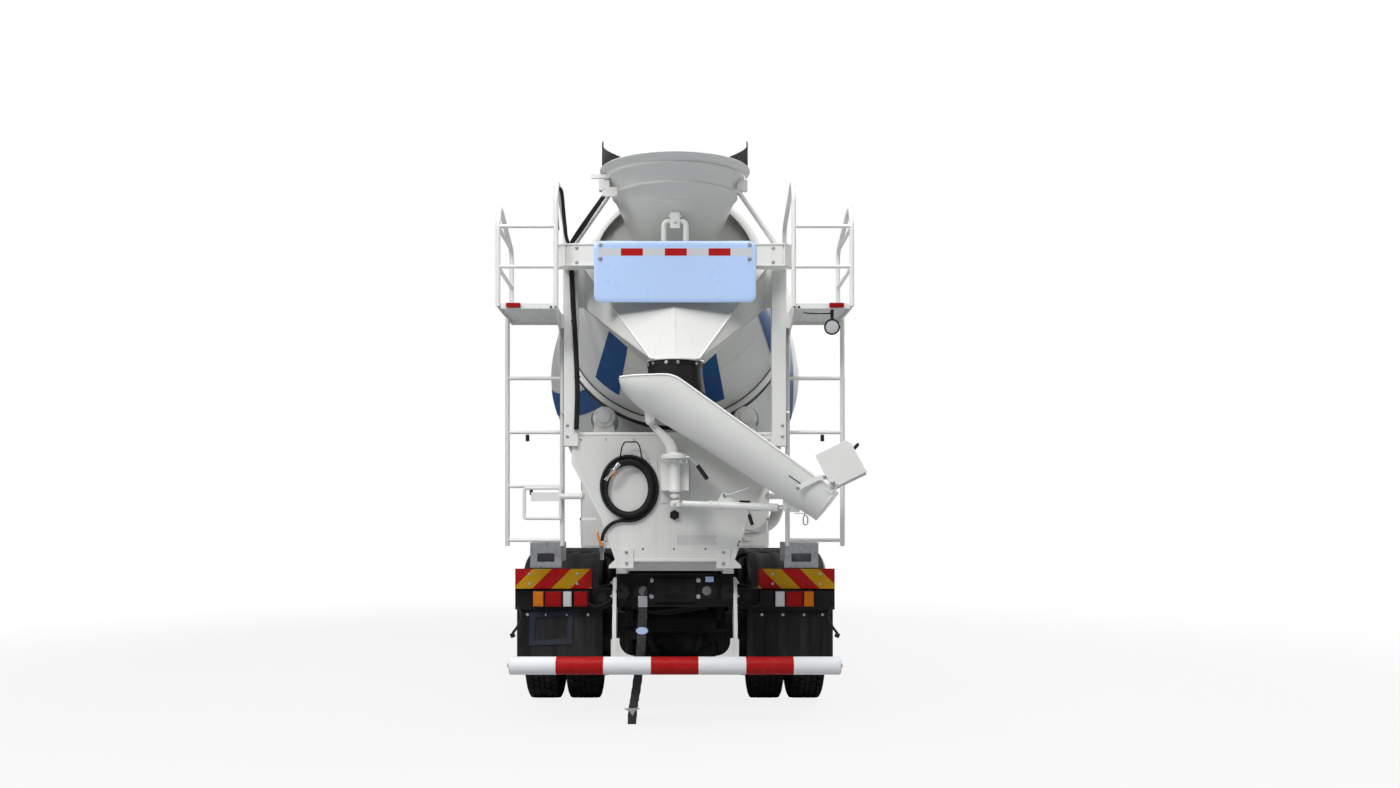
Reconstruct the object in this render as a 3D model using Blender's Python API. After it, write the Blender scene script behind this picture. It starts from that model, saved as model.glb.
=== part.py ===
"""A three-axle concrete mixer truck: chassis, cab, mixing drum, charge hopper and swinging chute.

Metres, +Z up, +Y forward, +X to the truck's right. The origin is on the ground under the middle.
"""

import math

import bmesh
import bpy
from mathutils import Matrix, Vector

# Gaps that every sub-part shares
SEAT_GAP = 0.0003
RUNNING_GAP = 0.006
OVERRUN = 0.02

# Places along the truck, all set off from the rear underrun bar
BAR_Y = -3.60
FRONT_Y = 4.35
WHEELBASE = 3.70
BOGIE_SPACING = 1.35
REAR_AXLE_FROM_BAR = 1.40
REAR_AXLE_Y = BAR_Y + REAR_AXLE_FROM_BAR
MIDDLE_AXLE_Y = REAR_AXLE_Y + BOGIE_SPACING
FRONT_AXLE_Y = MIDDLE_AXLE_Y + WHEELBASE
TRUNNION_Y = (REAR_AXLE_Y + MIDDLE_AXLE_Y) / 2

# Wheels
WHEEL_STEPS = 20
TYRE_RADIUS = 0.54
TYRE_WIDTH = 0.285
RIM_RADIUS = 0.30
RIM_WALL = 0.014
REAR_TRACK = 1.85
TWIN_SPACING = 0.335
FRONT_TRACK = 2.05
BRAKE_RADIUS = 0.205
HUB_RADIUS = 0.135
HUB_NOSE = 0.11
AXLE_Z = TYRE_RADIUS * math.cos(math.pi / WHEEL_STEPS)

# Ladder frame
RAIL_OUTER_X = 0.43
RAIL_FLANGE = 0.08
RAIL_HEIGHT = 0.25
RAIL_WALL = 0.01
RAIL_TOP_Z = 1.125
RAIL_REAR_Y = BAR_Y + 0.10
RAIL_FRONT_Y = 4.02
CROSS_DEPTH = 0.10
CROSS_HEIGHT = 0.17
CROSS_YS = [-2.75, TRUNNION_Y, -0.20, 1.10, 2.26, 3.86]
TOW_PLATE_WIDTH = 0.30
TOW_PLATE_THICK = 0.02

# Mixer subframe and its front stand
SUBRAIL_HEIGHT = 0.16
SUBRAIL_REAR_Y = BAR_Y + 0.02
SUBRAIL_FRONT_Y = 2.12
SUBCROSS_Y = 0.60
STAND_POST_X = 0.43
STAND_POST_SIZE = 0.09
STAND_POST_Y = 1.90
STAND_POST_TOP_Z = 2.60
STAND_DECK_THICK = 0.05

# Drum
DRUM_TILT = math.radians(13)
DRUM_STEPS = 32
MOUTH_Y = BAR_Y + 0.20
MOUTH_Z = 3.40
MOUTH_RING_RADIUS = 0.667
MOUTH_INNER_RADIUS = 0.61
MOUTH_RING_LENGTH = 0.07
TRACK_RADIUS = 0.96
TRACK_AT = 0.90
TRACK_WIDTH = 0.12
DRUM_RADIUS = 1.17
DRUM_LENGTH = 4.82
DRUM_WALL = 0.008
DRUM_FLANGE_RADIUS = 0.20

# Rollers
ROLLER_RADIUS = 0.107
ROLLER_X = 0.567
ROLLER_LENGTH = 0.14
ROLLER_STUB_RADIUS = 0.03
ROLLER_STUB = 0.012
ROLLER_GAP = 0.001
ROLLER_CHEEK = 0.022
ROLLER_STEPS = 16

# Gearbox that turns the drum
GEARBOX_RADIUS = 0.25
GEARBOX_LENGTH = 0.50
GEARBOX_FLANGE = 0.05
MOTOR_RADIUS = 0.11
MOTOR_LENGTH = 0.20
GEARBOX_FOOT_WIDTH = 0.36

# Rear stand under the drum's mouth
PANEL_Y = BAR_Y - 0.06
PANEL_THICK = 0.012
SHELF_Z = 2.153
SHELF_THICK = 0.012
SHELF_FRONT_Y = BAR_Y + 1.10
PANEL_HALF_WIDTH = 0.748
PANEL_FOOT_HALF_WIDTH = 0.43
PANEL_SHOULDER_Z = 1.93
PANEL_FOOT_Z = 1.215
WEB_X = 0.44
WEB_THICK = 0.02
WEB_FOOT_FRONT_Y = BAR_Y + 0.75
VALVE_X = -0.526
VALVE_Y = PANEL_Y - 0.03
VALVE_Z = 1.335
VALVE_RADIUS = 0.02
VALVE_HEIGHT = 0.06
COLUMN_X = 0.75
COLUMN_SIZE = 0.10
COLUMN_FRONT_Y = BAR_Y
BEAM_REAR_Y = BAR_Y - 0.30
BEAM_SIZE = 0.10
BEAM_HALF_WIDTH = 0.76
BEAM_TOP_Z = 3.465
BEAM_HEIGHT = 0.155

# Sign board
SIGN_WIDTH = 1.136
SIGN_TOP_Z = 3.476
SIGN_HEIGHT = 0.43
SIGN_THICK = 0.012
SIGN_CORNER = 0.05

# Chute column
COLUMN_AXIS_Y = BAR_Y - 0.30
BUSHING_TOP_Z = 1.945
BUSHING_HEIGHT = 0.23
BUSHING_RADIUS = 0.037
BUSHING_BORE = 0.024
SPINDLE_RADIUS = 0.0225
CHUTE_REST = math.radians(-10)
PLATE_RADIUS = 0.098
PLATE_THICK = 0.03
PIVOT_U = -0.171
PIVOT_Z = 2.212
PIVOT_BOSS_RADIUS = 0.030
ARM_SIZE = 0.085
YOKE_Z = 1.636
YOKE_U = 0.0
YOKE_RADIUS = 0.032
YOKE_REACH = 0.08

# Chute
CHUTE_WALL = 0.008
CHUTE_HALF_WIDTH = 0.25
CHUTE_END_HALF_WIDTH = 0.20
CHUTE_STEPS = 10
CHUTE_EAR = 0.012

# Strut that holds the chute's slope
STRUT_EYE_U = 0.787
STRUT_EYE_Z = 1.600
SLEEVE_RADIUS = 0.028
SLEEVE_BORE = 0.0225
ROD_RADIUS = 0.022
ROD_SHOWN = 0.16
STRUT_PIN_GAP = 0.0004

# Charge hopper
RIM_Z = 4.00
RIM_HALF_WIDTH = 0.52
RIM_HALF_LENGTH = 0.44
RIM_Y = BAR_Y - 0.18
THROAT_Z = 3.45
THROAT_Y = BAR_Y + 0.28
THROAT_RADIUS = 0.24
HOPPER_WALL = 0.006
HOPPER_STEPS = 24
GUARD_HEIGHT = 0.20
GUARD_WALL = 0.008
GUARD_START = -8
GUARD_ARC_STEPS = 18

# Discharge funnel and its rubber spout
FUNNEL_WALL = 0.010
FUNNEL_TOP_Z = 3.365
FUNNEL_HALF_WIDTH = 0.79
FUNNEL_CREASE_Z = 3.27
FUNNEL_FOOT_Z = 2.63
OUTLET_HALF = 0.165
COLLAR_RADIUS = 0.184
COLLAR_FLANGE_RADIUS = 0.205
COLLAR_DROP = 0.06
SPOUT_STEPS = 20
SPOUT_GAP = 0.0005
SPOUT_WALL = 0.008
SPOUT_DROP = 0.23
SPOUT_SHIFT = 0.02

# Platforms and ladders
POST_RADIUS = 0.017
POST_SIDES = 6
PLATFORM_Z = 3.023
PLATFORM_THICK = 0.04
PLATFORM_REAR_Y = BAR_Y - 0.40
PLATFORM_FRONT_Y = BAR_Y + 0.24
INNER_POST_X = 0.825
OUTER_POST_X = 1.227
INNER_POST_TOP_Z = 3.88
OUTER_POST_TOP_Z = 3.70
HIGH_RAIL_Z = 3.555
LOW_RAIL_Z = 3.275
LADDER_Y = BAR_Y + 0.03
LADDER_FOOT_Z = 1.33
LADDER_STAY_Z = 1.67
RUNG_RADIUS = 0.014

# Tail end
BAR_RADIUS = 0.066
BAR_HALF_LENGTH = 1.21
BAR_Z = 0.455
STRUT_PLATE = 0.028
STRUT_DEPTH = 0.22
STRUT_FOOT_RISE = 0.30
TAIL_Y = BAR_Y + 0.30
TAIL_TOP_Z = 1.00
TAIL_HEIGHT = 0.16
TAIL_DEPTH = 0.06
TAIL_OUTER_X = 1.21
LAMP_DEPTH = 0.05
# Near and far edge of each lamp from the middle of the truck
LAMP_EDGES = [(0.64, 0.74), (0.75, 1.035)]
LAMP_HEIGHT = 0.12
CHEVRON_HEIGHT = 0.15
CHEVRON_WIDTH = 0.58
CHEVRON_THICK = 0.006
FLAP_WIDTH = 0.66
FLAP_DROP = 0.40
FLAP_THICK = 0.01

# Rear mudguards
GUARD_GAP = 0.13
GUARD_SHEET = 0.012
GUARD_INNER_X = 0.60
GUARD_OUTER_X = 1.25
GUARD_STEPS = 7
GUARD_STAY_DROP = 0.05

# Axles
HOUSING_RADIUS = 0.075
DIFF_RADIUS = 0.235
AXLE_END_X = REAR_TRACK / 2 - TWIN_SPACING / 2 - TYRE_WIDTH / 2 + 0.01
SPRING_X = 0.515
SPRING_WIDTH = 0.09
KINGPIN_X = FRONT_TRACK / 2 - 0.225
KINGPIN_RADIUS = 0.045
KINGPIN_HEIGHT = 0.14
FRONT_BEAM_DROP = 0.10
BEAM_FLANGE = 0.10

# Engine and drive line
# Details of the rear axles, their brakes and the bogie
AXLE_FLANGE = 0.03
DIFF_FLARE_X = 0.30
DIFF_FLAT_X = 0.11
PINION_LENGTH = 0.36
PINION_RADIUS = 0.12
CHAMBER_X = 0.34
CHAMBER_RADIUS = 0.085
CHAMBER_LENGTH = 0.26
CHAMBER_LIFT = 0.07
PAD_HALF = 0.07
PAD_RISE = 0.03
LEAF_STACK = 0.14
LEAF_TIP = 0.03
SPRING_SEAT_RIM = 0.01
LEAF_FLAT = 0.30
BRACKET_TOP_HALF = 0.20
BRACKET_FOOT_HALF = 0.08
TRUNNION_RADIUS = 0.07
AIR_TANK_Y = -2.98
AIR_TANK_Z = 0.745
AIR_TANK_RADIUS = 0.11
AIR_TANK_HALF = 0.34
AIR_TANK_STRAP = 0.05

# Details of the front axle
BEAM_TALL = 0.055
BEAM_NECK = 0.12
FRONT_LEAF_REACH = 0.78
FRONT_LEAF_EYE = 0.12
FRONT_LEAF_FLAT = 0.20
KNUCKLE_PLATE = 0.03
STUB_RADIUS = 0.05

ENGINE_REAR_Y = 2.50
ENGINE_LENGTH = 1.20
ENGINE_HALF_WIDTH = 0.33
ENGINE_BOTTOM_Z = 0.62
ENGINE_TOP_Z = 1.26
SHAFT_RADIUS = 0.05
SHAFT_REAR_Z = 0.60
SHAFT_FRONT_Z = 0.80

# Cab
CAB_REAR_Y = 2.32
CAB_FRONT_Y = 4.30
CAB_HALF_WIDTH = 1.20
CAB_BOTTOM_Z = 1.12
CAB_ROOF_Z = 2.96
CAB_WALL = 0.06
CAB_FLOOR_Z = 1.38
CAB_ROUND = 0.07
TUNNEL_HALF_WIDTH = 0.60
TUNNEL_TOP_Z = 1.31
ARCH_RADIUS = 0.64
DOOR_GAP = 0.006
GLASS_THICK = 0.006
DOOR_HINGE_RADIUS = 0.012
DOOR_HINGE_HEIGHT = 0.09
CAB_PIVOT_Y = 4.12
CAB_PIVOT_Z = 1.05
CAB_LUG_RADIUS = 0.04
CAB_LUG_X = 0.33
CAB_LUG_THICK = 0.05
CAB_REST_SIZE = 0.08

# Bumper and side units
CHEEK_SILL_Z = 1.85
SCREEN_LOW_Z = 1.93
SCREEN_HIGH_Z = 2.66
BROW_Y = 4.12
BROW_Z = 2.72
ROOF_FRONT_Y = 3.90
REAR_WINDOW_HALF = 0.45
REAR_WINDOW_LOW_Z = 2.15
REAR_WINDOW_HIGH_Z = 2.60
WINDOW_INSET = 0.07
PILLAR_RAKE = 0.20

# Inside the cab
CHAIR_X = 0.61
CHAIR_HALF = 0.26
CHAIR_REAR_Y = 2.95
CHAIR_FRONT_Y = 3.45
CHAIR_HEIGHT = 0.42
BACK_THICK = 0.16
BACK_TOP = 1.05
DASH_DEPTH = 0.32
DASH_HEIGHT = 0.48
STEERING_RADIUS = 0.22
STEERING_THICK = 0.03

BUMPER_REAR_Y = 4.05
STEP_REAR_Y = 3.52
STEP_INNER_X = 0.86
STEP_THICK = 0.03
STEP_MIDDLE_Z = 0.68
BUMPER_ARM_HALF = 0.40
BUMPER_ARM_LOW_Z = 0.88
BUMPER_ARM_HIGH_Z = 0.98
TANK_REAR_Y = 0.30
TANK_CORNER = 0.10
HANGER_HALF = 0.03
BOX_WIDTH = 0.56
BOX_REAR_Y = 0.70
BOX_FRONT_Y = 1.45
BOX_LOW_Z = 0.62
SILENCER_X = 0.86
SILENCER_Y = 1.62
SILENCER_Z = 0.78
SILENCER_RADIUS = 0.24
SILENCER_LENGTH = 0.50
BUMPER_TOP_Z = 0.94
BUMPER_BOTTOM_Z = 0.36
BUMPER_HALF_WIDTH = CAB_HALF_WIDTH + 0.02
BUMPER_WALL = 0.05
TANK_LENGTH = 1.20
TANK_WIDTH = 0.62
TANK_HEIGHT = 0.56
TANK_X = 0.56
TANK_TOP_Z = 1.06
WATER_RADIUS = 0.21
WATER_HALF_LENGTH = 0.85
WATER_Y = 1.92
WATER_SADDLE = 0.01
WATER_DOME = 0.07


def mixed(low, high, share):
    return low + (high - low) * share


def paint(name, colour, roughness=0.5, metallic=0.0):
    """Makes a plain surface of one colour."""
    surface = bpy.data.materials.new(name)
    surface.use_nodes = True
    shader = surface.node_tree.nodes["Principled BSDF"]
    shader.inputs["Base Color"].default_value = (*colour, 1.0)
    shader.inputs["Roughness"].default_value = roughness
    shader.inputs["Metallic"].default_value = metallic
    return surface


class Shells:
    """Gathers the closed shells that one object is made of."""

    def __init__(self):
        self.mesh = bmesh.new()
        self.count = 0

    def rings(self, rings, wrap=False):
        """Skins like rings of points. A ring of one point is a tip, and open ends get caps."""
        rows = [[self.mesh.verts.new(point) for point in ring] for ring in rings]
        pairs = list(zip(rows, rows[1:]))
        if wrap:
            pairs.append((rows[-1], rows[0]))
        for lower, upper in pairs:
            for index in range(max(len(lower), len(upper))):
                after = index + 1
                corners = [lower[index % len(lower)], lower[after % len(lower)]]
                corners += [upper[after % len(upper)], upper[index % len(upper)]]
                corners = list(dict.fromkeys(corners))
                if len(corners) > 2:
                    self.mesh.faces.new(corners)
        if not wrap:
            for row in (rows[0], rows[-1]):
                if len(row) > 2:
                    self.mesh.faces.new(row)
        self.count += 1
        return self

    def block(self, low, high):
        """A box between two corners."""
        outline = [(low[0], low[1]), (high[0], low[1]), (high[0], high[1]), (low[0], high[1])]
        return self.prism(outline, "Z", low[2], high[2])

    def bar(self, low, high, place):
        """A box between two corners of a placed frame."""
        corners = [(low[0], low[1]), (high[0], low[1]), (high[0], high[1]), (low[0], high[1])]
        return self.rings([[place @ Vector((x, y, z)) for x, y in corners] for z in (low[2], high[2])])

    def prism(self, outline, axis, start, end):
        """An outline pushed along one axis; its points are the other two coordinates in order."""

        def at(point, along):
            first, second = point
            spots = {
                "X": (along, first, second),
                "Y": (first, along, second),
                "Z": (first, second, along),
            }
            return Vector(spots[axis])

        return self.rings([[at(point, along) for point in outline] for along in (start, end)])

    def turned(self, profile, steps, place=None):
        """A closed outline of (radius, height) turned about the local Z axis."""
        place = place or Matrix()
        rows = []
        for radius, height in profile:
            if radius == 0:
                rows.append([place @ Vector((0, 0, height))])
                continue
            row = []
            for step in range(steps):
                angle = 2 * math.pi * (step + 0.5) / steps
                row.append(place @ Vector((radius * math.cos(angle), radius * math.sin(angle), height)))
            rows.append(row)
        return self.rings(rows, wrap=True)

    def tube(self, points, radius, sides=POST_SIDES):
        """A round bar along a path of points, mitred at its bends."""
        points = [Vector(point) for point in points]
        ways = [(after - before).normalized() for before, after in zip(points, points[1:])]
        side = ways[0].orthogonal().normalized()
        rings = []
        for index, point in enumerate(points):
            before = ways[max(index - 1, 0)]
            after = ways[min(index, len(ways) - 1)]
            across = (before + after).normalized()
            side = (side - side.project(before)).normalized()
            other = before.cross(side)
            ring = []
            for step in range(sides):
                angle = 2 * math.pi * (step + 0.5) / sides
                spoke = (side * math.cos(angle) + other * math.sin(angle)) * radius
                ring.append(point + spoke - before * (spoke.dot(across) / before.dot(across)))
            rings.append(ring)
        return self.rings(rings)

    def made(self, name, surface, parent=None):
        """Turns the shells into an object, joined where they overlap."""
        bmesh.ops.recalc_face_normals(self.mesh, faces=self.mesh.faces)
        data = bpy.data.meshes.new(name)
        self.mesh.to_mesh(data)
        self.mesh.free()
        data.shade_smooth()
        data.set_sharp_from_angle(angle=math.radians(35))
        data.materials.append(surface)
        obj = bpy.data.objects.new(name, data)
        bpy.context.scene.collection.objects.link(obj)
        obj.parent = parent
        if self.count > 1:
            union = obj.modifiers.new("joined", "BOOLEAN")
            union.operation = "UNION"
            union.operand_type = "COLLECTION"
            union.collection = nothing_more()
            union.solver = "EXACT"
            union.use_self = True
        return obj


def nothing_more():
    """An empty collection: a union with it only joins an object's own shells."""
    name = "nothing_more"
    return bpy.data.collections.get(name) or bpy.data.collections.new(name)


def cut(obj, shells, name):
    """Cuts the shells out of the object."""
    cutter = shells.made(name, obj.data.materials[0], obj.parent)
    cutter.hide_render = True
    cutter.display_type = "WIRE"
    slot = obj.modifiers.new(name, "BOOLEAN")
    slot.operation = "DIFFERENCE"
    slot.object = cutter
    slot.solver = "EXACT"
    return obj


def joined(obj, shells, name):
    """Joins the shells to the object."""
    added = shells.made(name, obj.data.materials[0], obj.parent)
    added.hide_render = True
    added.display_type = "WIRE"
    slot = obj.modifiers.new(name, "BOOLEAN")
    slot.operation = "UNION"
    slot.object = added
    slot.solver = "EXACT"
    return obj


def sheet(name, surface, points, faces, wall, parent=None, offset=0.0):
    """An open skin of named faces, given its wall by a Solidify modifier."""
    data = bpy.data.meshes.new(name)
    data.from_pydata([tuple(point) for point in points], [], faces)
    tidy = bmesh.new()
    tidy.from_mesh(data)
    bmesh.ops.recalc_face_normals(tidy, faces=tidy.faces)
    tidy.to_mesh(data)
    tidy.free()
    data.materials.append(surface)
    obj = bpy.data.objects.new(name, data)
    bpy.context.scene.collection.objects.link(obj)
    obj.parent = parent
    solid = obj.modifiers.new("wall", "SOLIDIFY")
    solid.thickness = wall
    solid.offset = offset
    solid.use_even_offset = True
    return obj


def pivot(name, location, turn=(0, 0, 0), parent=None):
    """An empty on a joint's axis, which carries the pieces that turn there."""
    empty = bpy.data.objects.new(name, None)
    empty.location = location
    empty.rotation_euler = turn
    empty.parent = parent
    bpy.context.scene.collection.objects.link(empty)
    return empty


def arc(centre, radius, start, end, steps):
    """Points of an arc, with angles in degrees."""
    angles = [math.radians(mixed(start, end, step / steps)) for step in range(steps + 1)]
    return [(centre[0] + radius * math.cos(a), centre[1] + radius * math.sin(a)) for a in angles]


def mirrored(outline):
    return [(-x, z) for x, z in reversed(outline)]


def ordered(side, first, second):
    """Low and high of two distances from the middle, on the named side."""
    return sorted((side * first, side * second))


def side_block(shells, side, near_x, far_x, low_y, high_y, low_z, high_z):
    low_x, high_x = ordered(side, near_x, far_x)
    return shells.block((low_x, low_y, low_z), (high_x, high_y, high_z))


SIDES = {"left": -1, "right": 1}


def build_frame(black):
    """Two channel rails with their crossmembers, the end plate and the cheeks that the cab tilts on."""
    shells = Shells()
    bottom = RAIL_TOP_Z - RAIL_HEIGHT
    inner = RAIL_OUTER_X - RAIL_FLANGE
    web = RAIL_OUTER_X - RAIL_WALL
    channel = [
        (inner, bottom),
        (RAIL_OUTER_X, bottom),
        (RAIL_OUTER_X, RAIL_TOP_Z),
        (inner, RAIL_TOP_Z),
        (inner, RAIL_TOP_Z - RAIL_WALL),
        (web, RAIL_TOP_Z - RAIL_WALL),
        (web, bottom + RAIL_WALL),
        (inner, bottom + RAIL_WALL),
    ]
    for outline in (channel, mirrored(channel)):
        shells.prism(outline, "Y", RAIL_REAR_Y, RAIL_FRONT_Y)
    middle_z = RAIL_TOP_Z - RAIL_HEIGHT / 2
    low_z = middle_z - CROSS_HEIGHT / 2
    high_z = middle_z + CROSS_HEIGHT / 2
    half_web = web + RAIL_WALL / 2
    # Crossmembers, each a channel open to the rear
    for cross_y in CROSS_YS:
        outline = [
            (cross_y, low_z),
            (cross_y + CROSS_DEPTH, low_z),
            (cross_y + CROSS_DEPTH, high_z),
            (cross_y, high_z),
            (cross_y, high_z - RAIL_WALL),
            (cross_y + CROSS_DEPTH - RAIL_WALL, high_z - RAIL_WALL),
            (cross_y + CROSS_DEPTH - RAIL_WALL, low_z + RAIL_WALL),
            (cross_y, low_z + RAIL_WALL),
        ]
        shells.prism(outline, "X", -half_web, half_web)
    # End plate with the coupling plate on it
    shells.block(
        (-half_web, RAIL_REAR_Y, bottom + RAIL_WALL / 2),
        (half_web, RAIL_REAR_Y + RAIL_WALL, RAIL_TOP_Z - RAIL_WALL / 2),
    )
    half_tow = TOW_PLATE_WIDTH / 2
    shells.block(
        (-half_tow, RAIL_REAR_Y - TOW_PLATE_THICK, middle_z - CROSS_HEIGHT / 2),
        (half_tow, RAIL_REAR_Y + RAIL_WALL / 2, middle_z + CROSS_HEIGHT / 2),
    )
    cheek_x = CAB_LUG_X + CAB_LUG_THICK + SEAT_GAP
    for side in SIDES.values():
        side_block(
            shells,
            side,
            cheek_x,
            RAIL_OUTER_X,
            RAIL_FRONT_Y - OVERRUN,
            CAB_PIVOT_Y + CAB_LUG_RADIUS,
            CAB_PIVOT_Z - CAB_LUG_RADIUS,
            CAB_PIVOT_Z + CAB_LUG_RADIUS,
        )
    return shells.made("chassis_frame", black)


def build_subframe(white):
    """Two box rails on the frame, with the portal that carries the drum's gearbox and the water tank."""
    shells = Shells()
    low_z = RAIL_TOP_Z + SEAT_GAP
    high_z = low_z + SUBRAIL_HEIGHT
    inner = RAIL_OUTER_X - RAIL_FLANGE
    for side in SIDES.values():
        side_block(shells, side, inner, RAIL_OUTER_X, SUBRAIL_REAR_Y, SUBRAIL_FRONT_Y, low_z, high_z)
        half = STAND_POST_SIZE / 2
        side_block(
            shells,
            side,
            STAND_POST_X - half - RAIL_WALL,
            STAND_POST_X + half - RAIL_WALL,
            STAND_POST_Y - half,
            STAND_POST_Y + half,
            high_z - OVERRUN,
            STAND_POST_TOP_Z,
        )
    for cross_y in (SUBRAIL_REAR_Y + OVERRUN, TRUNNION_Y, SUBCROSS_Y, SUBRAIL_FRONT_Y - CROSS_DEPTH - OVERRUN):
        shells.block(
            (-inner - OVERRUN, cross_y, low_z + OVERRUN),
            (inner + OVERRUN, cross_y + CROSS_DEPTH, high_z - OVERRUN),
        )
    half = STAND_POST_SIZE / 2
    shells.block(
        (-STAND_POST_X, STAND_POST_Y - half, STAND_POST_TOP_Z - STAND_POST_SIZE),
        (STAND_POST_X, STAND_POST_Y + half, STAND_POST_TOP_Z),
    )
    deck_top = gearbox_foot_z()
    rear_y = gearbox_foot_y() - GEARBOX_FOOT_WIDTH / 2
    shells.block(
        (-STAND_POST_X, rear_y, deck_top - STAND_DECK_THICK),
        (STAND_POST_X, STAND_POST_Y + half, deck_top),
    )
    for side in SIDES.values():
        side_block(
            shells,
            side,
            STAND_POST_X - half - RAIL_WALL,
            STAND_POST_X - half + RAIL_WALL,
            rear_y,
            STAND_POST_Y,
            high_z - OVERRUN,
            deck_top - STAND_DECK_THICK + RAIL_WALL,
        )
    return shells.made("mixer_subframe", white)


def along_drum(distance):
    """The place on the drum's axis at a distance from its mouth."""
    return Vector(
        (
            0,
            MOUTH_Y + distance * math.cos(DRUM_TILT),
            MOUTH_Z - distance * math.sin(DRUM_TILT),
        )
    )


def gearbox_foot_y():
    return along_drum(DRUM_LENGTH + GEARBOX_FLANGE + GEARBOX_LENGTH / 2).y


def gearbox_foot_z():
    return along_drum(DRUM_LENGTH + GEARBOX_FLANGE + GEARBOX_LENGTH / 2).z - GEARBOX_RADIUS * 1.3


def build_gearbox(grey):
    """The reducer and its motor, in line with the drum, on a foot that stands on the portal's deck."""
    turn = Matrix.Rotation(-math.pi / 2 - DRUM_TILT, 4, "X")
    start = DRUM_LENGTH + SEAT_GAP
    place = Matrix.Translation(along_drum(start)) @ turn
    body = GEARBOX_FLANGE + GEARBOX_LENGTH
    profile = [
        (0, 0),
        (DRUM_FLANGE_RADIUS, 0),
        (DRUM_FLANGE_RADIUS, GEARBOX_FLANGE),
        (GEARBOX_RADIUS, GEARBOX_FLANGE),
        (GEARBOX_RADIUS, body * 0.75),
        (MOTOR_RADIUS * 1.5, body),
        (MOTOR_RADIUS, body),
        (MOTOR_RADIUS, body + MOTOR_LENGTH),
        (0, body + MOTOR_LENGTH),
    ]
    shells = Shells()
    shells.turned(profile, 20, place)
    middle_y = gearbox_foot_y()
    half = GEARBOX_FOOT_WIDTH / 2
    shells.block(
        (-half, middle_y - half / 2, gearbox_foot_z() + SEAT_GAP),
        (half, middle_y + half / 2, gearbox_foot_z() + GEARBOX_RADIUS),
    )
    return shells.made("drum_gearbox", grey)


def build_drum(white):
    """The mixing drum: an open mouth ring, two cones and a barrel, with the track ring round its rear cone."""
    carrier = pivot("drum_axis", (0, MOUTH_Y, MOUTH_Z), (-math.pi / 2 - DRUM_TILT, 0, 0))
    neck_radius = mixed(MOUTH_INNER_RADIUS, MOUTH_RING_RADIUS, 0.5)
    track_foot = TRACK_RADIUS - 0.05
    track_start = TRACK_AT - TRACK_WIDTH / 2
    track_end = TRACK_AT + TRACK_WIDTH / 2
    # Outer line: distance from the mouth, radius
    outer = [
        (0, MOUTH_RING_RADIUS),
        (MOUTH_RING_LENGTH, MOUTH_RING_RADIUS),
        (MOUTH_RING_LENGTH, neck_radius),
        (track_start, track_foot),
        (track_start, TRACK_RADIUS),
        (track_end, TRACK_RADIUS),
        (track_end, track_foot + DRUM_WALL),
        (DRUM_LENGTH * 0.46, DRUM_RADIUS),
        (DRUM_LENGTH * 0.66, DRUM_RADIUS),
        (DRUM_LENGTH * 0.94, DRUM_RADIUS * 0.70),
        (DRUM_LENGTH * 0.98, DRUM_RADIUS * 0.45),
        (DRUM_LENGTH - DRUM_WALL * 2, DRUM_FLANGE_RADIUS),
        (DRUM_LENGTH, DRUM_FLANGE_RADIUS),
        (DRUM_LENGTH, 0),
    ]
    inner = [
        (DRUM_LENGTH * 0.97, 0),
        (DRUM_LENGTH * 0.97, DRUM_RADIUS * 0.44),
        (DRUM_LENGTH * 0.935, DRUM_RADIUS * 0.69),
        (DRUM_LENGTH * 0.66, DRUM_RADIUS - DRUM_WALL),
        (DRUM_LENGTH * 0.46, DRUM_RADIUS - DRUM_WALL),
        (track_end, track_foot - DRUM_WALL),
        (MOUTH_RING_LENGTH, neck_radius - DRUM_WALL * 2),
        (0, MOUTH_INNER_RADIUS),
    ]
    shells = Shells()
    shells.turned([(radius, along) for along, radius in outer + inner], DRUM_STEPS)
    return shells.made("drum_shell", white, carrier)


def roller_centre():
    """Across and along the drum: where a roller of this size carries the track ring."""
    reach = TRACK_RADIUS + ROLLER_RADIUS + ROLLER_GAP
    drop = math.sqrt(reach * reach - ROLLER_X * ROLLER_X)
    centre = along_drum(TRACK_AT)
    return Vector(
        (
            ROLLER_X,
            centre.y - drop * math.sin(DRUM_TILT),
            centre.z - drop * math.cos(DRUM_TILT),
        )
    )


def build_rollers(grey):
    centre = roller_centre()
    half = ROLLER_LENGTH / 2
    profile = [
        (0, -half - ROLLER_STUB),
        (ROLLER_STUB_RADIUS, -half - ROLLER_STUB),
        (ROLLER_STUB_RADIUS, -half),
        (ROLLER_RADIUS, -half),
        (ROLLER_RADIUS, half),
        (ROLLER_STUB_RADIUS, half),
        (ROLLER_STUB_RADIUS, half + ROLLER_STUB),
        (0, half + ROLLER_STUB),
    ]
    for name, side in SIDES.items():
        place = (side * centre.x, centre.y, centre.z)
        carrier = pivot(f"roller_axis_{name}", place, (-math.pi / 2 - DRUM_TILT, 0, 0))
        shells = Shells()
        shells.turned(profile, ROLLER_STEPS)
        shells.made(f"drum_roller_{name}", grey, carrier)


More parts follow.
